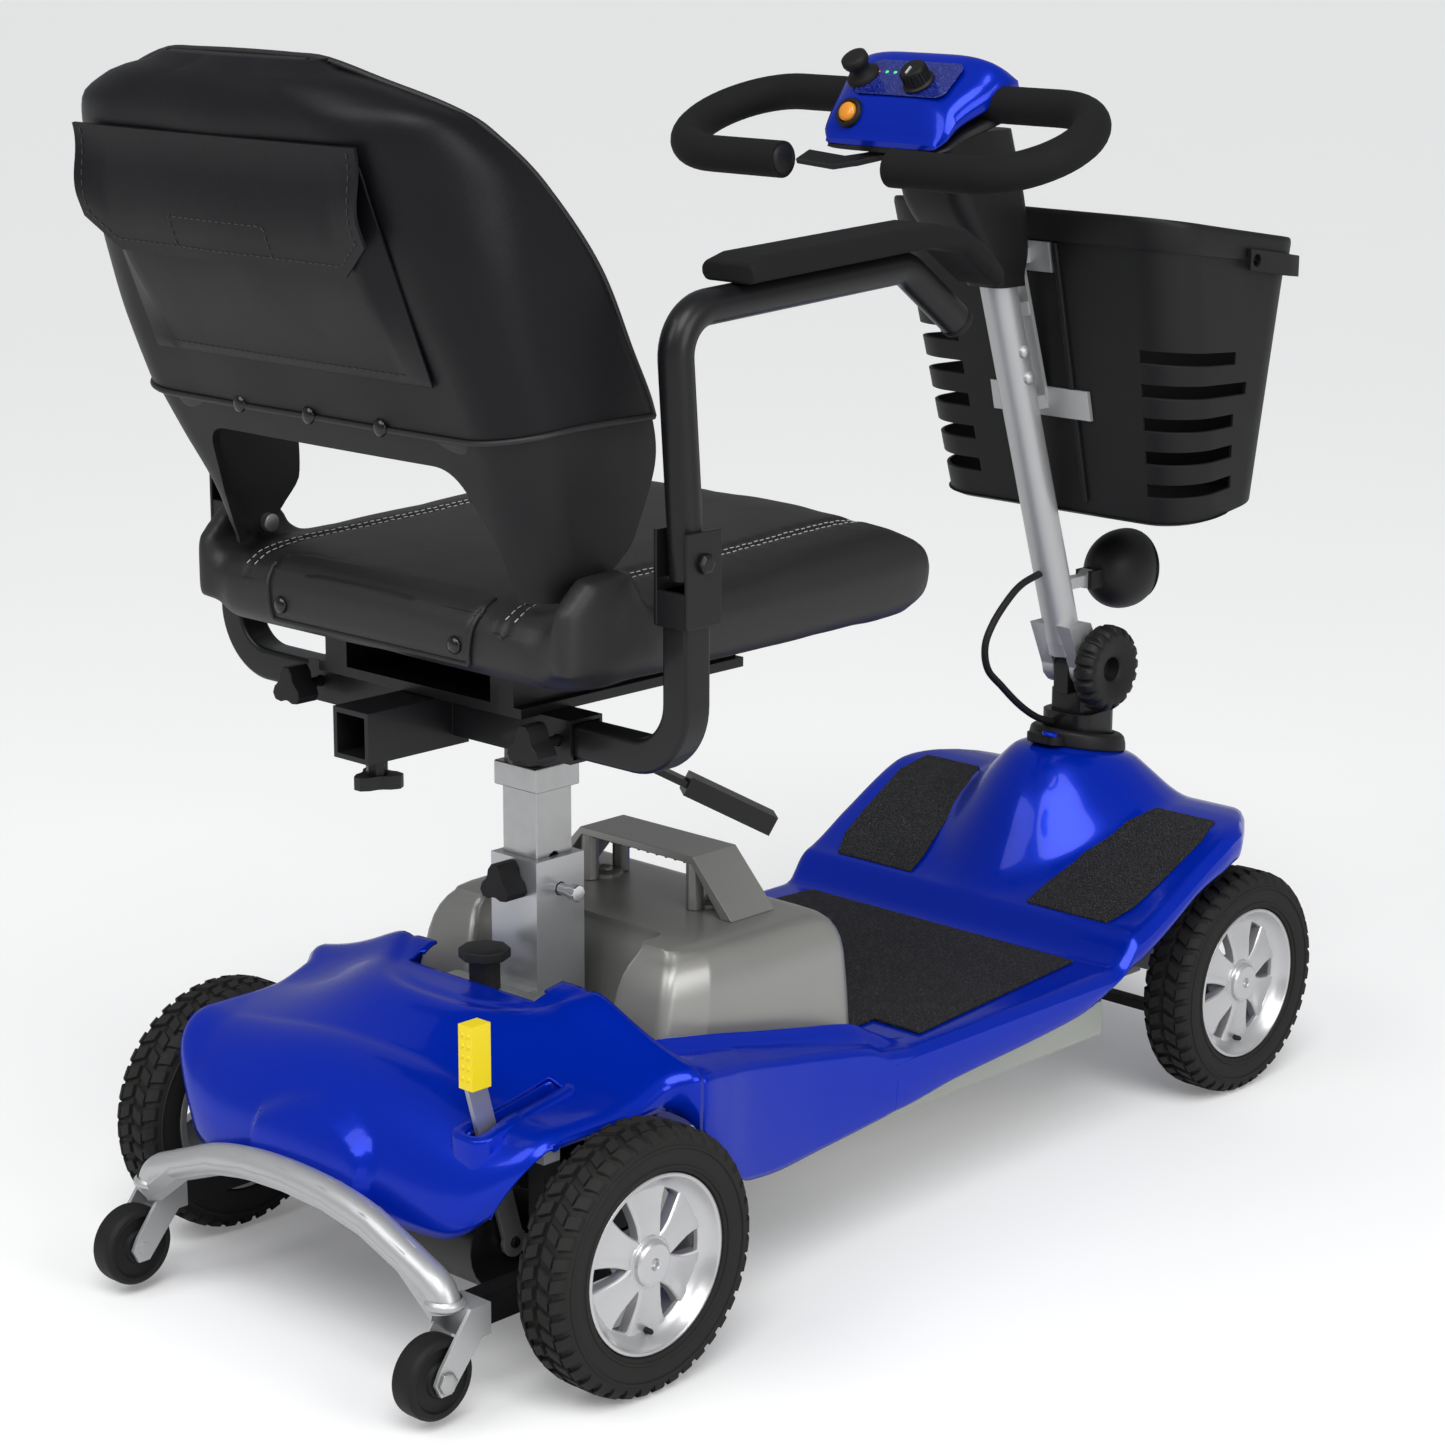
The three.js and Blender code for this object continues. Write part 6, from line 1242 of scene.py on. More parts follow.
    def tail(self, u: float, angle: float) -> Point:
        """A point on the shroud's tail, by its share across and the angle down from its top."""
        x = u * (201 - 34 * (1 - math.cos(angle)) ** 1.2)
        end_y, end_z = 514 - 9 * u * u - 15 * u ** 8, 117 + 20 * max(0.0, (u - 0.78) / 0.22) ** 2
        y = 445 + (end_y - 445) * math.sin(angle)
        base = self.hood(u * 201, 445) - 5 * max(0.0, (u - 0.95) / 0.05) ** 2
        z = end_z + (base - end_z) * math.cos(angle) ** 0.9
        return (x, y + 9 * ease((66 - abs(x)) / 9) * ease((190 - 0.006 * x * x - z) / 12), z)

    def guard(self) -> Shape:
        """The raised surround of the freewheel lever's slot."""
        rows = []
        for wide, deep, corner, drop in ((38, 100, 12, -9), (38, 100, 12, 2.5), (37, 99, 11.5, 0.8), (35, 97, 10.5, 0), (19, 90, 7, 0), (16.4, 87.4, 6.4, 0.6),
                                         (15.4, 86.4, 6, 2.4), (15.4, 86.4, 6, 14)):
            row = []
            for x, v in soft_square(wide, deep, corner, 5):
                y = v + 443
                top = 209 - 17 * ((y - 393) / 100) ** 1.3 if y > 393 else 209
                if drop < 0:
                    share = min(1.0, max(0.0, (y - 445) / 62))
                    under = 117 + (self.hood(144, min(y, 445)) - 117) * math.sqrt(1 - share * share) ** 0.9
                    row.append((x - 144, y, min(top - 3, under + drop)))
                else:
                    row.append((x - 144, y, top - drop))
            rows.append(row)
        return grid(rows, True)

    def shroud(self) -> Shape:
        """The rear shroud: side decks, the raised ring round the battery's rear, the tail and its lips."""
        shares = sorted({*(k / 40 for k in range(41)), 70 / 201, 137 / 201, 151 / 201})
        ys = sorted({*(322.6 + (445 - 322.6) * k / 30 for k in range(31)), 352.0, 402.0})
        rows, spots = [], []
        for y in ys:
            half = 201 + 13.4 * ease((348 - y) / 24)
            low = read([(322.6, 168), (336, 181), (352, 188.5), (446, 188.5)], y)
            row = [(u * half, y, self.hood(u * 201, y) - 5 * max(0.0, (u - 0.95) / 0.05) ** 2) for u in shares]
            edge = row[-1][2]
            rows.append([*row, (half + 0.8, y, edge - 3), (half + 1, y, (edge + low) / 2), (half + 0.2, y, low)])
            spots.append(y)
        for k in range(1, 25):
            angle = k / 24 * math.pi / 2
            row = [self.tail(u, angle) for u in shares]
            x, y, z = row[-1]
            low = min(z - 1.5, 188.5)
            rows.append([*row, (x + 0.8, y - 0.6, max(low + 1, z - 3)), (x + 1, y - 1.4, (z + low) / 2), (x + 0.2, y - 2, low)])
            spots.append(rows[-1][0][1])
        whole = [[(-x, y, z) for x, y, z in reversed(row[1:])] + row for row in rows]
        skip = []
        for i in range(len(whole) - 1):
            for j in range(len(whole[0]) - 1):
                x = (whole[i][j][0] + whole[i][j + 1][0]) / 2
                if (abs(x) < 70 and spots[i + 1] <= 352.1) or (-151 < x < -137 and 401.9 <= spots[i] < 488):
                    skip.append((i, j))
        return grid(whole, skip=skip)

    def build(self, model: Model) -> None:
        """Dresses the chassis."""
        piece("floor_shell_dressed", self.shell(), BLUE, "chassis", ("floor_shell",), wall=2.6)
        rail = self.side_rail()
        for side, sign in SIDES:
            piece(f"floor_rail_{side}", rail.side(sign), BLUE, "chassis", wall=2.6)
        piece("rear_shroud_dressed", self.shroud(), BLUE, "chassis", ("rear_shroud",), wall=2.6)
        piece("lever_guard", self.guard(), BLUE, "chassis", angle=60)
        collar = turn([(33, 0), (33, 13), (35, 14.6), (39, 14.6), (42, 12), (43.4, 6), (43.6, 0), (40, -2), (33, 0)], "z", (0, 0, 0), 64)
        ear = slab([(u * 1.0 + 0, v + 46) for u, v in soft_square(34, 22, 8)], "z", 0, 9)
        plug = turn([(0, 12.4), (6, 12.2), (7.2, 11), (7.4, 8.6), (0, 8.6)], "z", (-9, 52, 0), 24)
        lean = Matrix.Shear("XY", 4, (0, 0)) if False else Matrix(((1, 0, 0, 0), (0, 1, 0, self.column), (0, 0.182, 1, 287.6), (0, 0, 0, 1)))
        piece("tiller_bezel_dressed", collar.plus(ear).turned(lean), MOULDED, "chassis", ("tiller_bezel",), bevel=1.2)
        piece("bezel_plug", plug.turned(lean), BLUE, "chassis", bevel=0.5)
        for node in ("mat_center", "mat_left", "mat_right"):
            model.adopt(node, "chassis", GRIT, 0.8)
        model.adopt("front_frame", "chassis", CREAM, 1.2)
        model.adopt("rear_frame", "chassis", REARFRAME, 1.2)
        model.adopt("transaxle", "chassis", POWDER, 1.6)
        lever = model.adopt("freewheel_lever", "freewheel", FREEWHEEL, 1.0)
        dot = turn([(1.9, -0.4), (1.5, 0.7), (0, 1.0)], "y", (0, 0, 0), 12)
        dots = [dot.at(*spot) for k in range(10) for spot in draped(lever, [(-147 + 6 * (k % 2), 560, 235 + 8 * (k // 2))], (0, -1, 0), 0.0)]
        piece("freewheel_dots", Shape().plus(*dots), YELLOW, "freewheel")
        model.adopt("release_plunger", "plunger", MOULDED, 1.5)
        self.bowl(model)

    def bowl(self, model: Model) -> None:
        """The plate in the shroud's ring, seen behind the seat post."""
        outline = [(u, v + 330) for u, v in soft_square(96, 18, 4)]
        piece("bowl_plate", slab(outline, "z", 229.5, 231.5), STEEL, "chassis", bevel=0.5)


# Steering and tiller.


@dataclass(frozen=True)
class Steering:
    """Knuckles, track rod, column, tiller, clamp knob, cable and headlight."""

    hinge: Flat = (-384.0, 364.0)
    lamp: Flat = (-449.0, 440.0)
    route: tuple[Point, ...] = ((0, -331, 453), (0, -305, 447), (0, -286, 436), (0, -266, 418), (1, -257, 399), (3, -264, 377),
                                (5, -286, 358), (7, -314, 336), (8, -340, 320), (8, -363.4, 311))

    def knob(self) -> Shape:
        """The clamp knob: a serrated rim round a recessed centre."""
        y, z = self.hinge
        profile = [(0, -28), (9, -28), (10.5, -30), (11, -41), (14, -43), (25, -44.6), (30, -45.3), (35, -44), (38, -40), (39, -34),
                   (38.6, -29), (35, -25.4), (24, -23.4), (12, -22.3), (0, -22.3)]
        rows = []
        for radius, x in profile:
            row = []
            for i in range(144):
                angle = 2 * math.pi * i / 144
                dip = max(0.0, -math.cos(18 * angle)) ** 0.7 * 3.2 if radius > 33 else 0.0
                row.append((x, y + (radius - dip) * math.cos(angle), z + (radius - dip) * math.sin(angle)))
            rows.append(row)
        return grid(rows, True)

    def pod(self) -> Shape:
        """The headlight's housing with its rim."""
        y, z = self.lamp
        rows = []
        for k in range(26):
            angle = math.pi * (0.34 + 0.66 * k / 25)
            size = math.sin(angle)
            row_y = y - 42 * math.cos(angle)
            rows.append([(29 * size * c, row_y, z + (36 * size + 3 * max(0.0, math.cos(angle)) * size) * s) for c, s in circle(1, 48)])
        rim = [[(31 * f * c, y - 42 * math.cos(0.34 * math.pi) + d, z + 37 * f * s) for c, s in circle(1, 48)]
               for f, d in ((0.866, 0.5), (0.86, -1.2), (0.83, -1.6), (0.8, -0.8), (0.79, 4))]
        return grid(list(reversed(rim)) + rows, True)

    def build(self, model: Model) -> None:
        """Dresses the steering."""
        for side, _ in SIDES:
            model.adopt(f"steering_knuckle_{side}", f"knuckle_{side}", POWDER, 1.0)
        model.adopt("track_rod", "link", POWDER, 1.0)
        model.adopt("steering_column", "steering", POWDER, 1.4)
        model.adopt("tiller_tube", "tiller", SILVER, 0.9, self.tube())
        piece("tiller_clamp_knob_dressed", self.knob(), MOULDED, "clamp_knob", ("tiller_clamp_knob",), angle=50)
        route = smooth_path(self.route, 10)
        cable = piece("tiller_cable_dressed", sweep(circle(3.2, 16), route, (1, 0, 0)), RUBBER, "", ("tiller_cable",))
        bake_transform(cable)
        grommet = turn([(3.4, 6), (5, 5.4), (6.4, 1), (7, -2), (3.4, -2)], "y", (0, -337, 455), 24)
        piece("cable_grommet", grommet, RUBBER, "tiller", bevel=0.4)
        y, z = self.lamp
        piece("headlight_dressed", self.pod().plus(model.solid("headlight").moved(lambda p: (p[0] * 0.9, y + (p[1] - y) * 0.93, z + (p[2] - z) * 0.9))),
              MOULDED, "lamp", ("headlight",), bevel=0.6)
        face = y - 42 * math.cos(0.34 * math.pi)
        rows = [[(24.5 * f * c, face + d, z + 29.2 * f * s) for c, s in circle(1, 40)] for f, d in
                ((1, 3), (0.98, 0.4), (0.8, -0.6), (0.6, -0.2), (0.4, -0.7), (0.2, -0.4), (0.0, -0.8))]
        piece("headlight_lens", grid(rows, True), CLEAR, "lamp")

    def tube(self) -> Shape:
        """The tiller's smooth tube, its bolts and the barrel's welds."""
        def at(z: float) -> Point:
            """The tube's middle at a height."""
            return (0, -384 + 9.8 + 0.3235 * (z - 364), z)

        main = sweep(circle(15.7, 40), [Vector(at(z)) for z in (390, 500, 650, 800)], (1, 0, 0))
        bolts = []
        for z in (632, 655):
            x, y, _ = at(z)
            dome = turn([(0, 4), (3, 3.6), (5.4, 2), (6.2, 0), (6.2, -3), (0, -3)], "x", (0, 0, 0), 24)
            bolts.append(dome.side(-1).at(-15.4, y, z))
        barrel = [rod("x", 20.1, a, b, self.hinge, 1.4, 48) for a, b in ((8.4, 22), (-22, -8.4))]
        return main.plus(*bolts, *barrel)


@dataclass(frozen=True)
class Console:
    """The tub, its blue cover, the control panel, the handlebar loops and the small controls."""

    origin: Point = (0.0, -165.0, 871.0)
    stations: tuple[tuple[float, ...], ...] = (
        (-2.0, 0.62, -1.0, -0.2, 0.4, 0.7), (-1.6, 0.97, -1.3, -0.2, 1.5, 0.75), (-0.6, 1.0, -1.4, -0.2, 2.45, 0.74),
        (0.6, 0.97, -1.3, -0.25, 2.1, 0.72), (2.7, 0.84, -1.2, -0.4, 1.4, 0.74), (3.9, 0.8, -1.1, -0.6, 0.3, 0.85),
        (4.5, 0.72, -1.0, -0.7, -0.35, 0.9))

    def frame(self) -> Matrix:
        """The console's own frame: v towards the rider and down, w off the plane of the loops."""
        return Matrix.Translation(self.origin) @ Matrix.Rotation(math.radians(-22), 4, "X")

    def plate(self) -> Matrix:
        """The frame of the plate with the dial and the key."""
        return self.frame() @ Matrix.Translation((0, 13.5, 30.3)) @ Matrix.Rotation(math.radians(-17.4), 4, "X")

    def slope(self) -> Matrix:
        """The frame of the slope with the horn button."""
        return self.frame() @ Matrix.Translation((0, 53.25, 11.25)) @ Matrix.Rotation(math.radians(-46.2), 4, "X")

    def skin(self, cover: bool) -> Shape:
        """The cover or the tub, lofted smoothly through its stations."""
        tables = [[(row[0], row[k]) for row in self.stations] for k in range(1, 6)]
        rows = []
        for k in range(34):
            v = -2 + 6.5 * k / 33
            half, low, split, high, shoulder = (read(table, v) for table in tables)
            foot, top = (split + 0.03, high) if cover else (low, split)
            wide = half * 80.5
            h = (top - foot) * 15
            ring = []
            for i in range(40):
                angle = 2 * math.pi * i / 40
                c, s = math.cos(angle), math.sin(angle)
                power = 0.42 if cover else 0.5
                u = math.copysign(abs(c) ** power, c)
                w = math.copysign(abs(s) ** power, s)
                pull = 1 - (1 - (shoulder if cover else 0.94)) * max(0.0, w) * (0.5 + 0.5 * abs(w))
                pull *= 1 - 0.12 * max(0.0, -w) if not cover else 1.0
                ring.append((wide * u * pull, v * 15, foot * 15 + h * (0.5 + 0.5 * w)))
            rows.append(ring)
        return grid(rows, True, True)

    def build(self, model: Model) -> None:
        """Dresses the console."""
        frame, plate, slope = self.frame(), self.plate(), self.slope()
        cover = piece("console_top_dressed", self.skin(True).turned(frame), BLUE, "tiller", ("console_top",), angle=50)
        piece("console_base_dressed", self.skin(False).turned(frame).plus(self.neck()), MOULDED, "tiller", ("console_base",), angle=50)
        panel = slab(soft_square(96, 40, 9, 6), "z", 0, 1.2).at(-5, 8, 0.4)
        piece("control_panel", panel.turned(plate), PANEL, "tiller", bevel=0.5)
        for k, x in enumerate((30, 21.3, 12.5, 3.8, -5)):
            spot = draped(cover, [(x, -139, 920)], (0, 0, -1), 0.5)
            if spot:
                piece(f"status_light_{k + 1}", turn([(0, 2.2), (1.3, 1.9), (2.0, 1.0), (2.2, -0.6)], "z", spot[0], 16), RED if k < 1 else GREEN, "tiller")
        knob = turn([(0, 0.6), (13.4, 0.6), (13.6, 2.6), (11.4, 4), (10.6, 15), (9.6, 16.8), (7.4, 17.4), (0, 17)], "z", (-20, 13, 1.2), 48)
        ribs = [slab([(u, v) for u, v in soft_square(1.1, 2.2, 0.4, 2)], "z", 4, 15).turned(Matrix.Rotation(2 * math.pi * k / 22, 4, "Z") @ Matrix.Translation((0, 10.6, 0))).at(-20, 13, 1.2)
                for k in range(22)]
        piece("speed_knob_dressed", knob.plus(*ribs).turned(plate), MOULDED, "speed_dial", ("speed_knob",), bevel=0.4)
        pointer = slab(soft_square(1.5, 8, 0.6, 2), "z", 17.4, 18.8).at(-20, 17, 0.9)
        piece("speed_pointer", pointer.turned(plate), THREAD, "speed_dial")
        boot = turn([(0, 1), (14, 1.2), (14, 3.5), (12, 5.5), (9.6, 8), (8.4, 13), (10.6, 15.4), (11.4, 18), (11, 22), (8.4, 23.4), (0, 23.6)], "z", (42, 9, 0), 40)
        piece("ignition_key_dressed", boot.turned(plate), RUBBER, "key", ("ignition_key",), angle=60)
        ring = turn([(8.6, -0.5), (8.6, 2.2), (10, 3.2), (12, 2.6), (12.8, 0), (12.4, -2.5)], "z", (38, 0, 0), 40)
        piece("horn_ring", ring.turned(slope), MOULDED, "tiller", angle=60)
        button = turn([(0, 6), (4, 5.8), (7, 5), (8, 3.6), (8, -5)], "z", (38, 0, 0), 40)
        piece("horn_button_dressed", button.turned(slope), ORANGE, "horn", ("horn_button",), angle=60)
        model.adopt("throttle_lever", "throttle", MOULDED, 1.6)
        self.handlebar(frame)

    def handlebar(self, frame: Matrix) -> None:
        """Two foam-covered loops and the bar that joins them."""
        arc = [(137 + 60 * math.sin(t * math.pi / 24), 60 + 60 * math.cos(t * math.pi / 24), 0.0) for t in range(25)]
        half = [(58.0, 120.0, 0.0), (80.0, 120.0, 0.0), (110.0, 120.0, 0.0), *arc, (100.0, 0.0, 0.0), (60.0, 0.0, 0.0), (30.0, 0.0, 0.0)]
        loop = sweep(circle(15, 28), [Vector(p) for p in half], (0, 0, 1))
        bar = rod("x", 14.4, -60, 60, (0, 0), 1.0)
        caps = [turn([(0, 55.6), (8, 55.6), (11.6, 56.4), (12.6, 58.4), (12.6, 60)], "x", (0, 120, 0), 32).side(sign) for _, sign in SIDES]
        whole = loop.plus(loop.side(-1), bar)
        piece("handlebar_dressed", whole.turned(frame), FOAM, "tiller", ("handlebar",), angle=60)
        piece("handlebar_ends", caps[0].plus(caps[1]).turned(frame), MOULDED, "tiller", angle=60)

    def neck(self) -> Shape:
        """The neck between the console and the tiller tube, with the charging socket's boss."""
        tables = [[(0, 0.13), (0.25, 0.77), (0.62, 1.48), (1, 1.48)], [(0, 1.29), (0.25, 2.13), (0.62, 2.97), (1, 2.9)],
                  [(0, 0.55), (0.25, 0.85), (0.62, 1), (1, 1)]]
        rows = []
        for k in range(20):
            rise = k / 19
            shift, deep, wide = (read(table, rise) for table in tables)
            z = 712 + rise * 134
            y = -384 + 9.8 + 0.3235 * (z - 364) + shift * 15.5
            half_x, half_y = 35.5 * wide, deep * 15.5
            rows.append([(u, y + v, z) for u, v in soft_square(2 * half_x, 2 * half_y, min(half_x, half_y) * 0.45, 5)])
        return grid(rows, True, True)


@dataclass(frozen=True)
class Basket:
    """The front basket with its slotted corners, and its carrying band."""

    foot: float = 508.0
    rim: float = 775.0

    def ring(self, share: float, out: float) -> list[Point]:
        """Points round the basket at a share of its height, pushed outwards."""
        rear_z, front_z = 508 + share * 267, 524 + share * 220
        rear_y, front_y = -351 + 0.237 * (rear_z - 508) + out, -468 - 17 * share - out
        half = 142 + 17 * share + out
        middle, deep = (rear_y + front_y) / 2, (rear_y - front_y) / 2
        outline: list[Flat] = []
        corner = 42 + out
        for quarter, (sx, sy) in enumerate(((1, 1), (-1, 1), (-1, -1), (1, -1))):
            for k in range(13):
                turn_by = (quarter + k / 12) * math.pi / 2
                outline.append((sx * (half - corner) + corner * math.cos(turn_by), middle + sy * (deep - corner) + corner * math.sin(turn_by)))
            after = ((-1, 1), (-1, -1), (1, -1), (1, 1))[quarter]
            x0, y0 = outline[-1]
            first = (quarter + 1) * math.pi / 2
            x1 = after[0] * (half - corner) + corner * math.cos(first)
            y1 = middle + after[1] * (deep - corner) + corner * math.sin(first)
            steps = 10 if quarter % 2 == 0 else 4
            outline.extend((x0 + (x1 - x0) * t / steps, y0 + (y1 - y0) * t / steps) for t in range(1, steps))
        return [(x, y, front_z + (rear_z - front_z) * (y - front_y) / (rear_y - front_y)) for x, y in outline]

    def build(self, model: Model) -> None:
        """Dresses the basket."""
        levels = 46
        rows = [self.ring(k / (levels - 1), 0.0) for k in range(levels)]
        skip = []
        for i in range(levels - 1):
            for j, (x, y, _) in enumerate(rows[i]):
                height = 508 + 267 * (i + 0.5) / (levels - 1)
                band = (height - 532) % 30
                rear = y > -400 and abs(x) > 100
                if 520 < height < 668 and band < 12 and rear and (abs(x) < 150 or y > -395):
                    skip.append((i, j))
        wall = grid(rows, True, skip=skip)
        piece("basket_dressed", wall, MOULDED, "tiller", ("basket",), wall=3.0, bevel=0.5)
        floor_rows = [[(x * f, (y + 409) * f - 409, 524 + (508 - 524) * (y + 468) / 117 + 0.6) for x, y, _ in self.ring(0, 0)]
                      for f in (1.0, 0.97, 0.6, 0.2)]
        piece("basket_floor", grid(floor_rows, True, True), MOULDED, "tiller", wall=2.4)
        band = []
        for share, out in ((0.905, 0.2), (0.905, 2.2), (0.912, 3.0), (0.985, 3.0), (1.0, 2.2), (1.006, 0.6), (1.006, -2.6), (0.995, -3.4), (0.99, -3.0)):
            band.append(self.ring(share, out))
        piece("basket_rim", grid(band, True), MOULDED, "tiller", angle=50)
        for side, sign in SIDES:
            line = [(sign * 35, -351 + 0.237 * (z - 508) + 1.6, z) for z in (520, 600, 700, 748)]
            piece(f"basket_rib_{side}", sweep(soft_square(5, 4.4, 1.4), [Vector(p) for p in line], (0, 1, 0)), MOULDED, "tiller")
        model.adopt("basket_handle", "basket_band", MOULDED, 0.8)


# Battery and seat.


def looped(corners: Sequence[Flat], radii: Sequence[float], steps: int = 6) -> list[Flat]:
    """A closed outline with rounded corners.

    Args:
        corners: The sharp corners, in order.
        radii: The rounding at each.
        steps: Steps in each arc.

    Returns:
        The outline.
    """
    outline: list[Flat] = []
    for i, (x, y) in enumerate(corners):
        here = Vector((x, y))
        back = (Vector(corners[i - 1]) - here).normalized()
        ahead = (Vector(corners[(i + 1) % len(corners)]) - here).normalized()
        half = back.angle(ahead) / 2
        reach = radii[i] / math.tan(half)
        start, end = here + back * reach, here + ahead * reach
        for k in range(steps + 1):
            t = k / steps
            point = start * (1 - t) ** 2 + here * 2 * t * (1 - t) + end * t * t
            outline.append((point.x, point.y))
    return outline


@dataclass(frozen=True)
class Battery:
    """The battery pack and its carrying handle."""

    low: float = 152.0
    top: float = 269.0

    def build(self, model: Model) -> None:
        """Dresses the battery."""
        rows = []
        for z, pull in ((152, 3), (153.5, 1), (156, 0), (161, 0), (162.4, 1.2), (200, 2.8), (235, 5), (246, 6.8), (254, 9.4), (260.5, 13), (265, 18),
                        (267.8, 24), (269, 33), (269, 46)):
            lean = 24 * (z - self.low) / (self.top - self.low)
            notch, back = 75 + min(pull, 12), min(pull, 17)
            corners = [(-154 + pull, 78 + pull), (154 - pull, 78 + pull), (150 - pull, 258 - lean), (138 - back, 300 - lean - back),
                       (notch, 300 - lean - back), (notch, 242 - min(pull, 12)), (-notch, 242 - min(pull, 12)), (-notch, 300 - lean - back),
                       (-138 + back, 300 - lean - back), (-150 + pull, 258 - lean)]
            rows.append([(x, y, z) for x, y in looped(corners, (22, 22, 14, 12, 6, 12, 12, 6, 12, 14), 7)])
        piece("battery_pack_dressed", grid(rows, True, True), SATIN, "battery", ("battery_pack",), angle=40)
        ribs = [block(x, x + 2.2, 130, 171, 304.6, 307.6) for x in range(-50, 51, 10)]
        model.adopt("battery_handle", "battery", SATIN, 2.4)
        piece("battery_handle_ribs", Shape().plus(*ribs), GLOSSBLACK, "battery", bevel=0.4)
        for side, sign in SIDES:
            washer = turn([(0, 8.6), (4, 8.2), (5.2, 6.4), (5.4, 4.6), (11, 4.4), (13.6, 3), (14, 0), (0, 0)], "z", (sign * 58, 150, 268.6), 28)
            piece(f"handle_post_{side}", washer, SATIN, "battery", bevel=0.4)


@dataclass(frozen=True)
class Seat:
    """The post, the seat frame, the sewn cushion and the swivel lever."""

    seam: float = 140.0

    def sew(self, point: Point) -> Point:
        """Draws the cushion in along its seams and gives its top a slight pucker."""
        x, y, z = point
        if z < 545 or not 46 < y < 446:
            return point
        deep = 2.6 * (bump_on(abs(x), self.seam, 3.2) + 0.5 * bump_on(abs(x), self.seam - 9, 2.5))
        pucker = 0.35 * math.sin(y * 0.42) * bump_on(abs(x), self.seam, 14) + 0.8 * math.sin(y * 0.031 + x * 0.02) * (1 - (x / 207) ** 2)
        return (x, y, z - deep + pucker - 0.6)

    def build(self, model: Model) -> None:
        """Dresses the seat."""
        model.adopt("seat_post", "post", STEEL, 1.2)
        model.adopt("post_pin", "locking_pin", CHROME, 0.8)
        model.adopt("post_knob", "post_screw", MOULDED, 2.2)
        model.adopt("seat_frame", "seat", POWDER, 1.4)
        model.adopt("seat_lever", "swivel_lever", POWDER, 1.2)
        slack = model.solid("seat_cushion").moved(lambda p: (p[0] * 0.985, 246 + (p[1] - 246) * 0.985, 541 + (p[2] - 541) * 0.94))
        cushion = stuffed("seat_cushion_dressed", slack, VINYL, "seat", ("seat_cushion",), Stuffing(6.0, 3.2, 0.75, relax=2), self.sew)
        for offset in (-4.5, 4.5):
            lines = [draped(cushion, [(sign * (self.seam + offset), y, 640) for y in range(52, 440, 4)], (0, 0, -1), 0.35) for _, sign in SIDES]
            model.stitch(f"seat_stitches_{'inner' if offset < 0 else 'outer'}", lines, "seat")
        self.tab(cushion)

    def tab(self, cushion: bpy.types.Object) -> None:
        """The cover's tab down the cushion's rear, with its welt and press studs."""
        rows = []
        for k in range(31):
            x = -112 + 224 * k / 30
            top = draped(cushion, [(x, y, 640) for y in (424, 430, 436, 441)], (0, 0, -1), 1.2)
            back = draped(cushion, [(x * (1 - 0.06 * t / 6), 520, 556 - 38 * t / 6) for t in range(7)], (0, -1, 0), 1.8)
            rows.append([tuple(p) for p in smooth_path([*top, *back], 2)])
        made = piece("seat_tab", grid(rows), VINYL, "", wall=1.4, angle=70)
        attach(made, "seat")
        low = [row[-1] for row in rows]
        around = [*rows[0][4:-1], *low, *reversed(rows[-1][4:-1])]
        piece("seat_tab_welt", sweep(circle(1.9, 10), [Vector(p) for p in around], (0, 1, 0.1)), VINYL, "seat", angle=80)
        stud = turn([(0, 3.4), (3.4, 3.0), (5.8, 1.9), (6.6, 0.4), (6.4, -0.6)], "y", (0, 0, 0), 28)
        for side, sign in SIDES:
            for spot in draped(cushion, [(sign * 94, 520, 531)], (0, -1, 0), 2.4):
                piece(f"tab_stud_{side}", stud.at(*spot), GLOSSBLACK, "seat", angle=60)


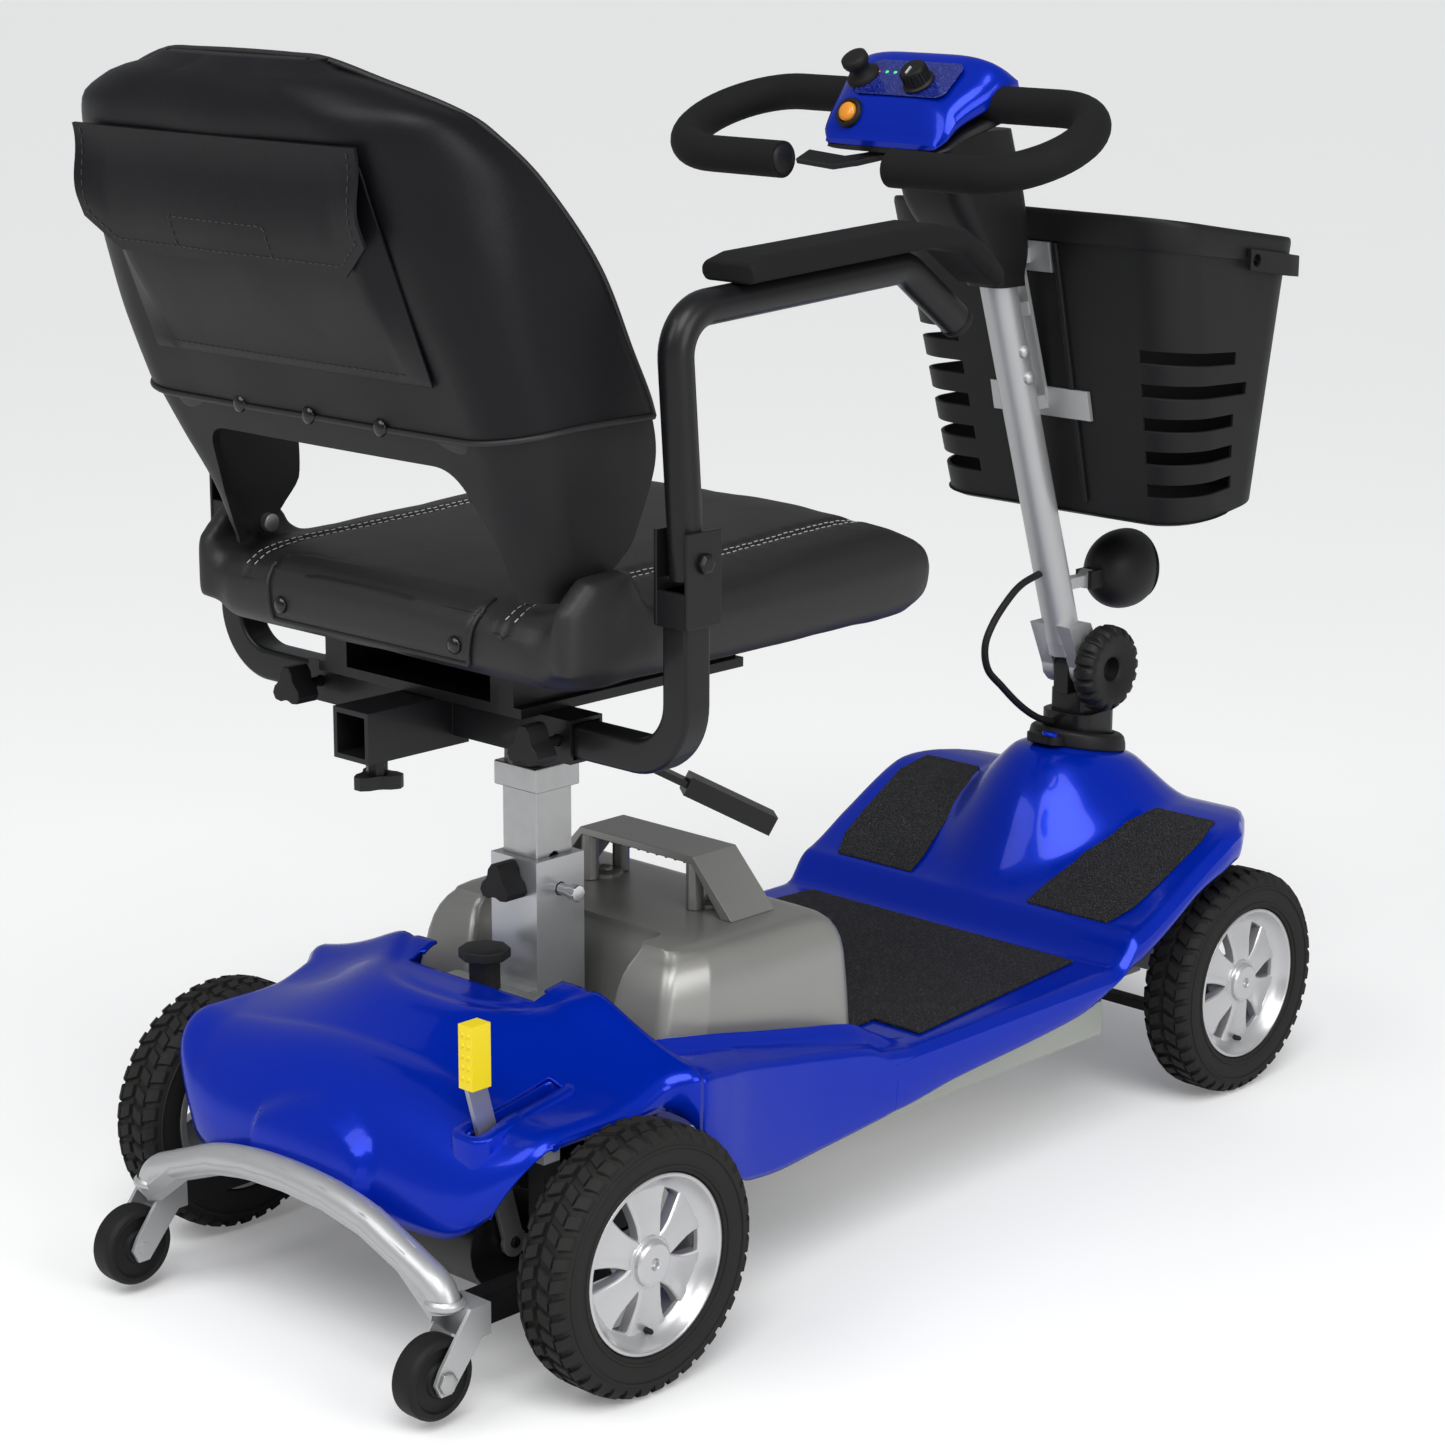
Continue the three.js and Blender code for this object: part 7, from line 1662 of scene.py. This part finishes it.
@dataclass(frozen=True)
class Backrest:
    """The backrest's fabric shell, its padded face, its piping, snaps and rear pocket."""

    levels: tuple[tuple[float, ...], ...] = (
        (568, 446, 393, 179, 45, 45), (584, 451, 379, 181, 45, 45), (606, 458, 359, 184, 45, 45), (657, 481, 352, 197, 45, 45),
        (695, 498, 363, 205, 46, 46), (740, 517, 386, 207, 48, 48), (792, 538, 412, 207, 60, 60), (857, 565, 462, 202, 82, 78),
        (900, 578, 506, 184, 90, 58), (920, 575, 532, 138, 86, 34), (934, 560, 541, 84, 60, 13))

    def rear(self, z: float) -> float:
        """The shell's rear face at a height."""
        return read([(row[0], row[1]) for row in self.levels], z)

    def skin(self, along: float, z: float, inset: float = 0.0) -> Point:
        """A point on the shell.

        Args:
            along: From -1 at the front of the right wing, through 0 at the middle of the rear, to 1 at the left wing.
            z: The height.
            inset: How far the point lies inside the outer face.

        Returns:
            The point.
        """
        rear, front, half, across, deep = (read([(row[0], row[k]) for row in self.levels], z) for k in range(1, 6))
        place = abs(along)
        if place < 0.4:
            x, y = (half - across) * place / 0.4, rear - inset - 2.0 * (place / 0.4) ** 2
        elif place < 0.75:
            angle = (place - 0.4) / 0.35 * math.pi / 2
            x = half - across + (across - inset) * math.sin(angle)
            y = rear - deep + (deep - inset) * math.cos(angle) - 2.0 * (1 - (place - 0.4) / 0.35)
        else:
            side = rear - deep
            x, y = half - inset, side + (front - side) * (place - 0.75) / 0.25
        return (math.copysign(x, along), y, z)

    def hem(self, along: float) -> float:
        """The height of the cover's lower edge."""
        return 684 + 9 * ease((abs(along) - 0.35) / 0.5)

    def fold(self, point: Point) -> Point:
        """Gives the cover's cloth its slight folds."""
        x, y, z = point
        return (x, y + 0.7 * math.sin(z * 0.045 + x * 0.017) + 0.4 * math.sin(x * 0.05 - z * 0.02), z)

    def sheet(self, low: float, inset: float) -> list[list[Point]]:
        """Rows over the whole shell, with its top folded over to the front.

        Args:
            low: The lowest height.
            inset: How far the rows lie inside the outer face.

        Returns:
            Rows from the bottom to the front of the lid.
        """
        count = int((934 - low) / 5)
        spots = [k / 44 for k in range(-44, 45)]
        rows = [[self.skin(s, low + (934 - low) * k / count, inset) for s in spots] for k in range(count + 1)]
        crest = rows[-1]
        for share, rise in ((0.3, 1.2), (0.65, 1.6), (0.95, 0.6)):
            rows.append([(x, y + (542 - y) * share, z + rise - inset) for x, y, z in crest])
        rows.append([(x, 541 + inset, 929.0) for x, _, _ in crest])
        rows.append([(x, 543 + inset, 916.0) for x, _, _ in crest])
        return rows

    def sew(self, point: Point) -> Point:
        """Draws the padded face in along its two channels."""
        x, y, z = point
        centre = 105 * read([(row[0], row[3]) for row in self.levels], z) / 207
        front = y < self.rear(z) - 36
        deep = (3.4 * bump_on(abs(x), centre, 4.0) if front else 0.0)
        sag = 0.9 * math.sin(z * 0.035 + x * 0.013) if front else 0.0
        return (x, y + deep + sag, z)

    def shell(self) -> None:
        """Makes the moulded shell with the opening behind the seat."""
        made = mesh_of("back_shell_dressed", grid(self.sheet(568.0, 2.0)), MOULDED)
        solid = made.modifiers.new("wall", "SOLIDIFY")
        solid.thickness, solid.offset = 6.0 * SCALE, -1.0
        applied(made)
        corners = [(-151, 550), (151, 550), (147, 608), (131, 663), (-131, 663), (-147, 608)]
        cutter = mesh_of("cutter", slab(looped(corners, (1, 1, 30, 26, 26, 30), 10), "y", 400, 530), MOULDED)
        cut = made.modifiers.new("opening", "BOOLEAN")
        cut.operation, cut.solver, cut.object = "DIFFERENCE", "EXACT", cutter
        applied(made)
        bpy.data.objects.remove(cutter)
        edge = made.modifiers.new("edges", "BEVEL")
        edge.width, edge.segments, edge.limit_method, edge.angle_limit = 1.6 * SCALE, 2, "ANGLE", math.radians(40)
        made.modifiers.new("shading", "WEIGHTED_NORMAL").keep_sharp = True
        made.data.polygons.foreach_set("use_smooth", [True] * len(made.data.polygons))
        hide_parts("back_shell")
        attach(made, "backrest")

    def cover(self) -> None:
        """Makes the cloth cover over the shell's upper part, its hem, its piping and its press studs."""
        rows = []
        for row in self.sheet(684.0, 0.0):
            spots = [k / 44 for k in range(-44, 45)]
            full = []
            for s, (x, y, z) in zip(spots, row):
                lift = (self.hem(s) - 684) * max(0.0, 1 - (z - 684) / 40)
                full.append(self.fold(self.skin(s, z + lift) if lift > 0 else (x, y, z)))
            ends = []
            for x, y, z in (full[0], full[-1]):
                side = math.copysign(1, x)
                ends.append([(x - 1.5 * side, y - 1.6, z), (x - 8.5 * side, y - 1.6, z), (x - 10 * side, y, z), (x - 10 * side, y + 9, z)])
            rows.append([*reversed(ends[0]), *full, *ends[1]])
        piece("back_cover", grid(rows), POLY, "backrest", wall=1.6, angle=60)
        spots = [k / 60 for k in range(-60, 61)]
        line = [Vector(self.fold(self.skin(s, self.hem(s) + 1.5, -0.6))) for s in spots]
        piece("back_hem", sweep(circle(2.2, 10), line), VINYL, "backrest", angle=80)
        half = [(read([(r[0], r[3]) for r in self.levels], z) - 2.0, read([(r[0], r[2]) for r in self.levels], z) - 1.0, z)
                for z in range(694, 934, 12)]
        crown = [(84, 541, 934), (50, 541, 935.5), (0, 541, 936)]
        around = [*half, *crown, *((-x, y, z) for x, y, z in reversed([*half, *crown[:-1]]))]
        piece("back_piping", sweep(circle(2.6, 12), smooth_path(around, 4), (0, 1, 0.02)), VINYL, "backrest", angle=80)
        stud = turn([(0, 3.4), (3.4, 3.0), (5.8, 1.9), (6.6, 0.4), (6.4, -0.6)], "y", (0, 0, 0), 28)
        for k, x in enumerate((-75, 0, 75)):
            piece(f"back_stud_{k + 1}", stud.at(x, self.rear(687) + 0.9, 687), GLOSSBLACK, "backrest", angle=60)
        pins = [rod("x", 7, 166, 200, (395, 575), 0.8).side(sign) for _, sign in SIDES]
        piece("back_pins", pins[0].plus(pins[1]), STEEL, "backrest")

    def build(self, model: Model) -> None:
        """Dresses the backrest."""
        self.shell()
        self.cover()
        slack = model.solid("back_cushion").moved(
            lambda p: (p[0] * 0.99, p[1] + 1.0, p[2] + max(0.0, p[2] - 857) * 0.13))
        pad = stuffed("back_cushion_dressed", slack, VINYL, "backrest", ("back_cushion",), Stuffing(6.0, 5.0, 0.7), self.sew)
        for offset in (-5.0, 5.0):
            lines = []
            for _, sign in SIDES:
                line = [(sign * (105 * read([(row[0], row[3]) for row in self.levels], z) / 207 + offset), 300, z) for z in range(676, 914, 4)]
                lines.append(draped(pad, line, (0, 1, 0), 0.35))
            model.stitch(f"back_stitches_{'inner' if offset < 0 else 'outer'}", lines, "backrest", THREAD)
        self.pocket(model)

    def pocket(self, model: Model) -> None:
        """The rear pocket with its gussets, flap and stitching."""
        bag = []
        for k in range(25):
            t = k / 24
            z = 724 + 146 * t
            deep = 3.5 + 10.5 * ease(t / 0.5) - 11.5 * ease((t - 0.62) / 0.38)
            half = 122 + 9 * t
            base = self.rear(z) - 0.6
            row = [(-146, base, z), (-146, base + 1.6, z), (-half - 3, base + deep * 0.8, z)]
            for i in range(31):
                u = -1 + i / 15
                row.append((u * half, base + deep - 1.5 * u * u + 0.7 * math.sin(u * 7 + t * 5) * ease(t * 3), z))
            row += [(half + 3, base + deep * 0.8, z), (146, base + 1.6, z), (146, base, z)]
            bag.append(row)
        bag.append([(x, self.rear(871) - 0.6, 871) for x, _, _ in bag[-1]])
        bag.insert(0, [(x, self.rear(722.5) - 0.6, 722.5) for x, _, _ in bag[0]])
        flap = []
        for k in range(19):
            t = k / 18
            row = []
            for i in range(61):
                u = -1 + i / 30
                reach = 86 - 22 * max(0.0, (abs(u) - 0.8) / 0.2)
                z = 884 - t * reach
                out = 1.2 + 17.5 * ease(t * 1.25) - 2.0 * u * u + 0.5 * math.sin(u * 6 + t * 2) * t
                row.append((u * 148, self.rear(z) + out, z))
            flap.append(row)
        sheet = mesh_of("flap_form", grid(flap), POLY)
        solid = sheet.modifiers.new("wall", "SOLIDIFY")
        solid.thickness, solid.offset = 2.4 * SCALE, 1.0
        applied(sheet)
        made = piece("back_pocket_dressed", grid(bag).plus(as_shape(sheet.data)), POLY, "", ("back_pocket",), angle=50)
        bpy.data.objects.remove(sheet)
        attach(made, "backrest")

        def on_flap(u: float, drop: float) -> Point:
            """A point above the flap, by its share across and its distance from the lower edge."""
            return (u * 148, 690, 884 - 86 + 22 * max(0.0, (abs(u) - 0.8) / 0.2) + drop)

        edge = draped(made, [on_flap(k / 60, 7) for k in range(-57, 58)], (0, -1, 0), 0.2)
        patch = [(x, 690, z) for x, z in [*((-50, z) for z in range(806, 827, 3)), *((x, 826) for x in range(-46, 51, 4)),
                                           *((50, z) for z in range(826, 805, -3))]]
        rim = [draped(made, [(sign * 140, 690, z) for z in range(822, 880, 4)], (0, -1, 0), 0.2) for _, sign in SIDES]
        model.stitch("flap_stitches", [edge, draped(made, patch, (0, -1, 0), 0.2), *rim], "backrest", DARKTHREAD)
        foot = draped(made, [(x, 690, 729) for x in range(-120, 121, 4)], (0, -1, 0), 0.2)
        model.stitch("pocket_stitches", [foot], "backrest", DARKTHREAD)


@dataclass(frozen=True)
class Armrests:
    """Two height- and width-adjusting arms with raised tubes, pads and clamp knobs."""

    x: float = 240.0

    def build(self, model: Model) -> None:
        """Dresses the arms."""
        low = bent([(62, 367, 457), (self.x, 367, 457), (self.x, 367, 580)], 42, 14)
        lower = sweep(soft_square(25, 25, 4, 3), low, (0, 1, 0))
        fork = [block(self.x - 15.4, self.x + 15.4, 349.6, 382.4, 555, 580), block(self.x - 16, self.x - 12.9, 349, 383, 556, 622),
                block(self.x + 12.9, self.x + 16, 349, 383, 556, 622)]
        bolt = [turn([(0, 21), (5, 21), (7.6, 19.6), (7.8, 16), (0, 16)], "x", (self.x, 366, 600), 6)]
        bolt.append(turn([(0, -20.4), (6, -19.6), (7.4, -16), (0, -16)], "x", (self.x, 366, 600), 24))
        high = bent([(self.x, 366, 588), (self.x, 380, 769), (self.x, 146, 781.5), (self.x, 84, 736)], 31, 12)
        upper = sweep(circle(12.5, 28), high, (1, 0, 0))
        cap = turn([(12.8, 4), (13.4, 2), (12.6, -1.6), (9, -3), (0, -3.4)], "z", (0, 0, 0), 28)
        end = Vector(high[-1]) - Vector(high[-2])
        facing = Vector((0, 0, -1)).rotation_difference(end.normalized()).to_matrix().to_4x4()
        cap = cap.turned(Matrix.Translation(high[-1]) @ facing)
        for side, sign in SIDES:
            piece(f"arm_lower_{side}_dressed", lower.plus(*fork, *bolt).side(sign), POWDER, f"arm_low_{side}", (f"arm_lower_{side}",), bevel=0.7)
            piece(f"arm_upper_{side}_dressed", upper.side(sign), POWDER, f"arm_top_{side}", (f"arm_upper_{side}",))
            piece(f"arm_cap_{side}", cap.side(sign), RUBBER, f"arm_top_{side}")
            pad = model.adopt(f"arm_pad_{side}", f"arm_top_{side}", FOAM, 6.0)
            pad.modifiers["edges"].segments = 4
            model.adopt(f"arm_knob_{side}", f"arm_screw_{side}", MOULDED, 2.2)


def main() -> None:
    """Loads the frame and builds the camera, the studio and every sub-assembly."""
    logging.basicConfig(level=logging.INFO, format="%(message)s")
    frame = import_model()
    studio = Studio()
    studio.camera()
    model = Model(frame, Repeater("round_an_axis", True), Repeater("along_a_line", False))
    for part in (Wheels(), Chassis(), Steering(), Console(), Basket(), Battery(), Seat(), Backrest(), Armrests()):
        LOG.info("Building %s", type(part).__name__)
        part.build(model)
    studio.floor()
    studio.light()
    bpy.context.view_layer.update()


if __name__ == "__main__":
    main()
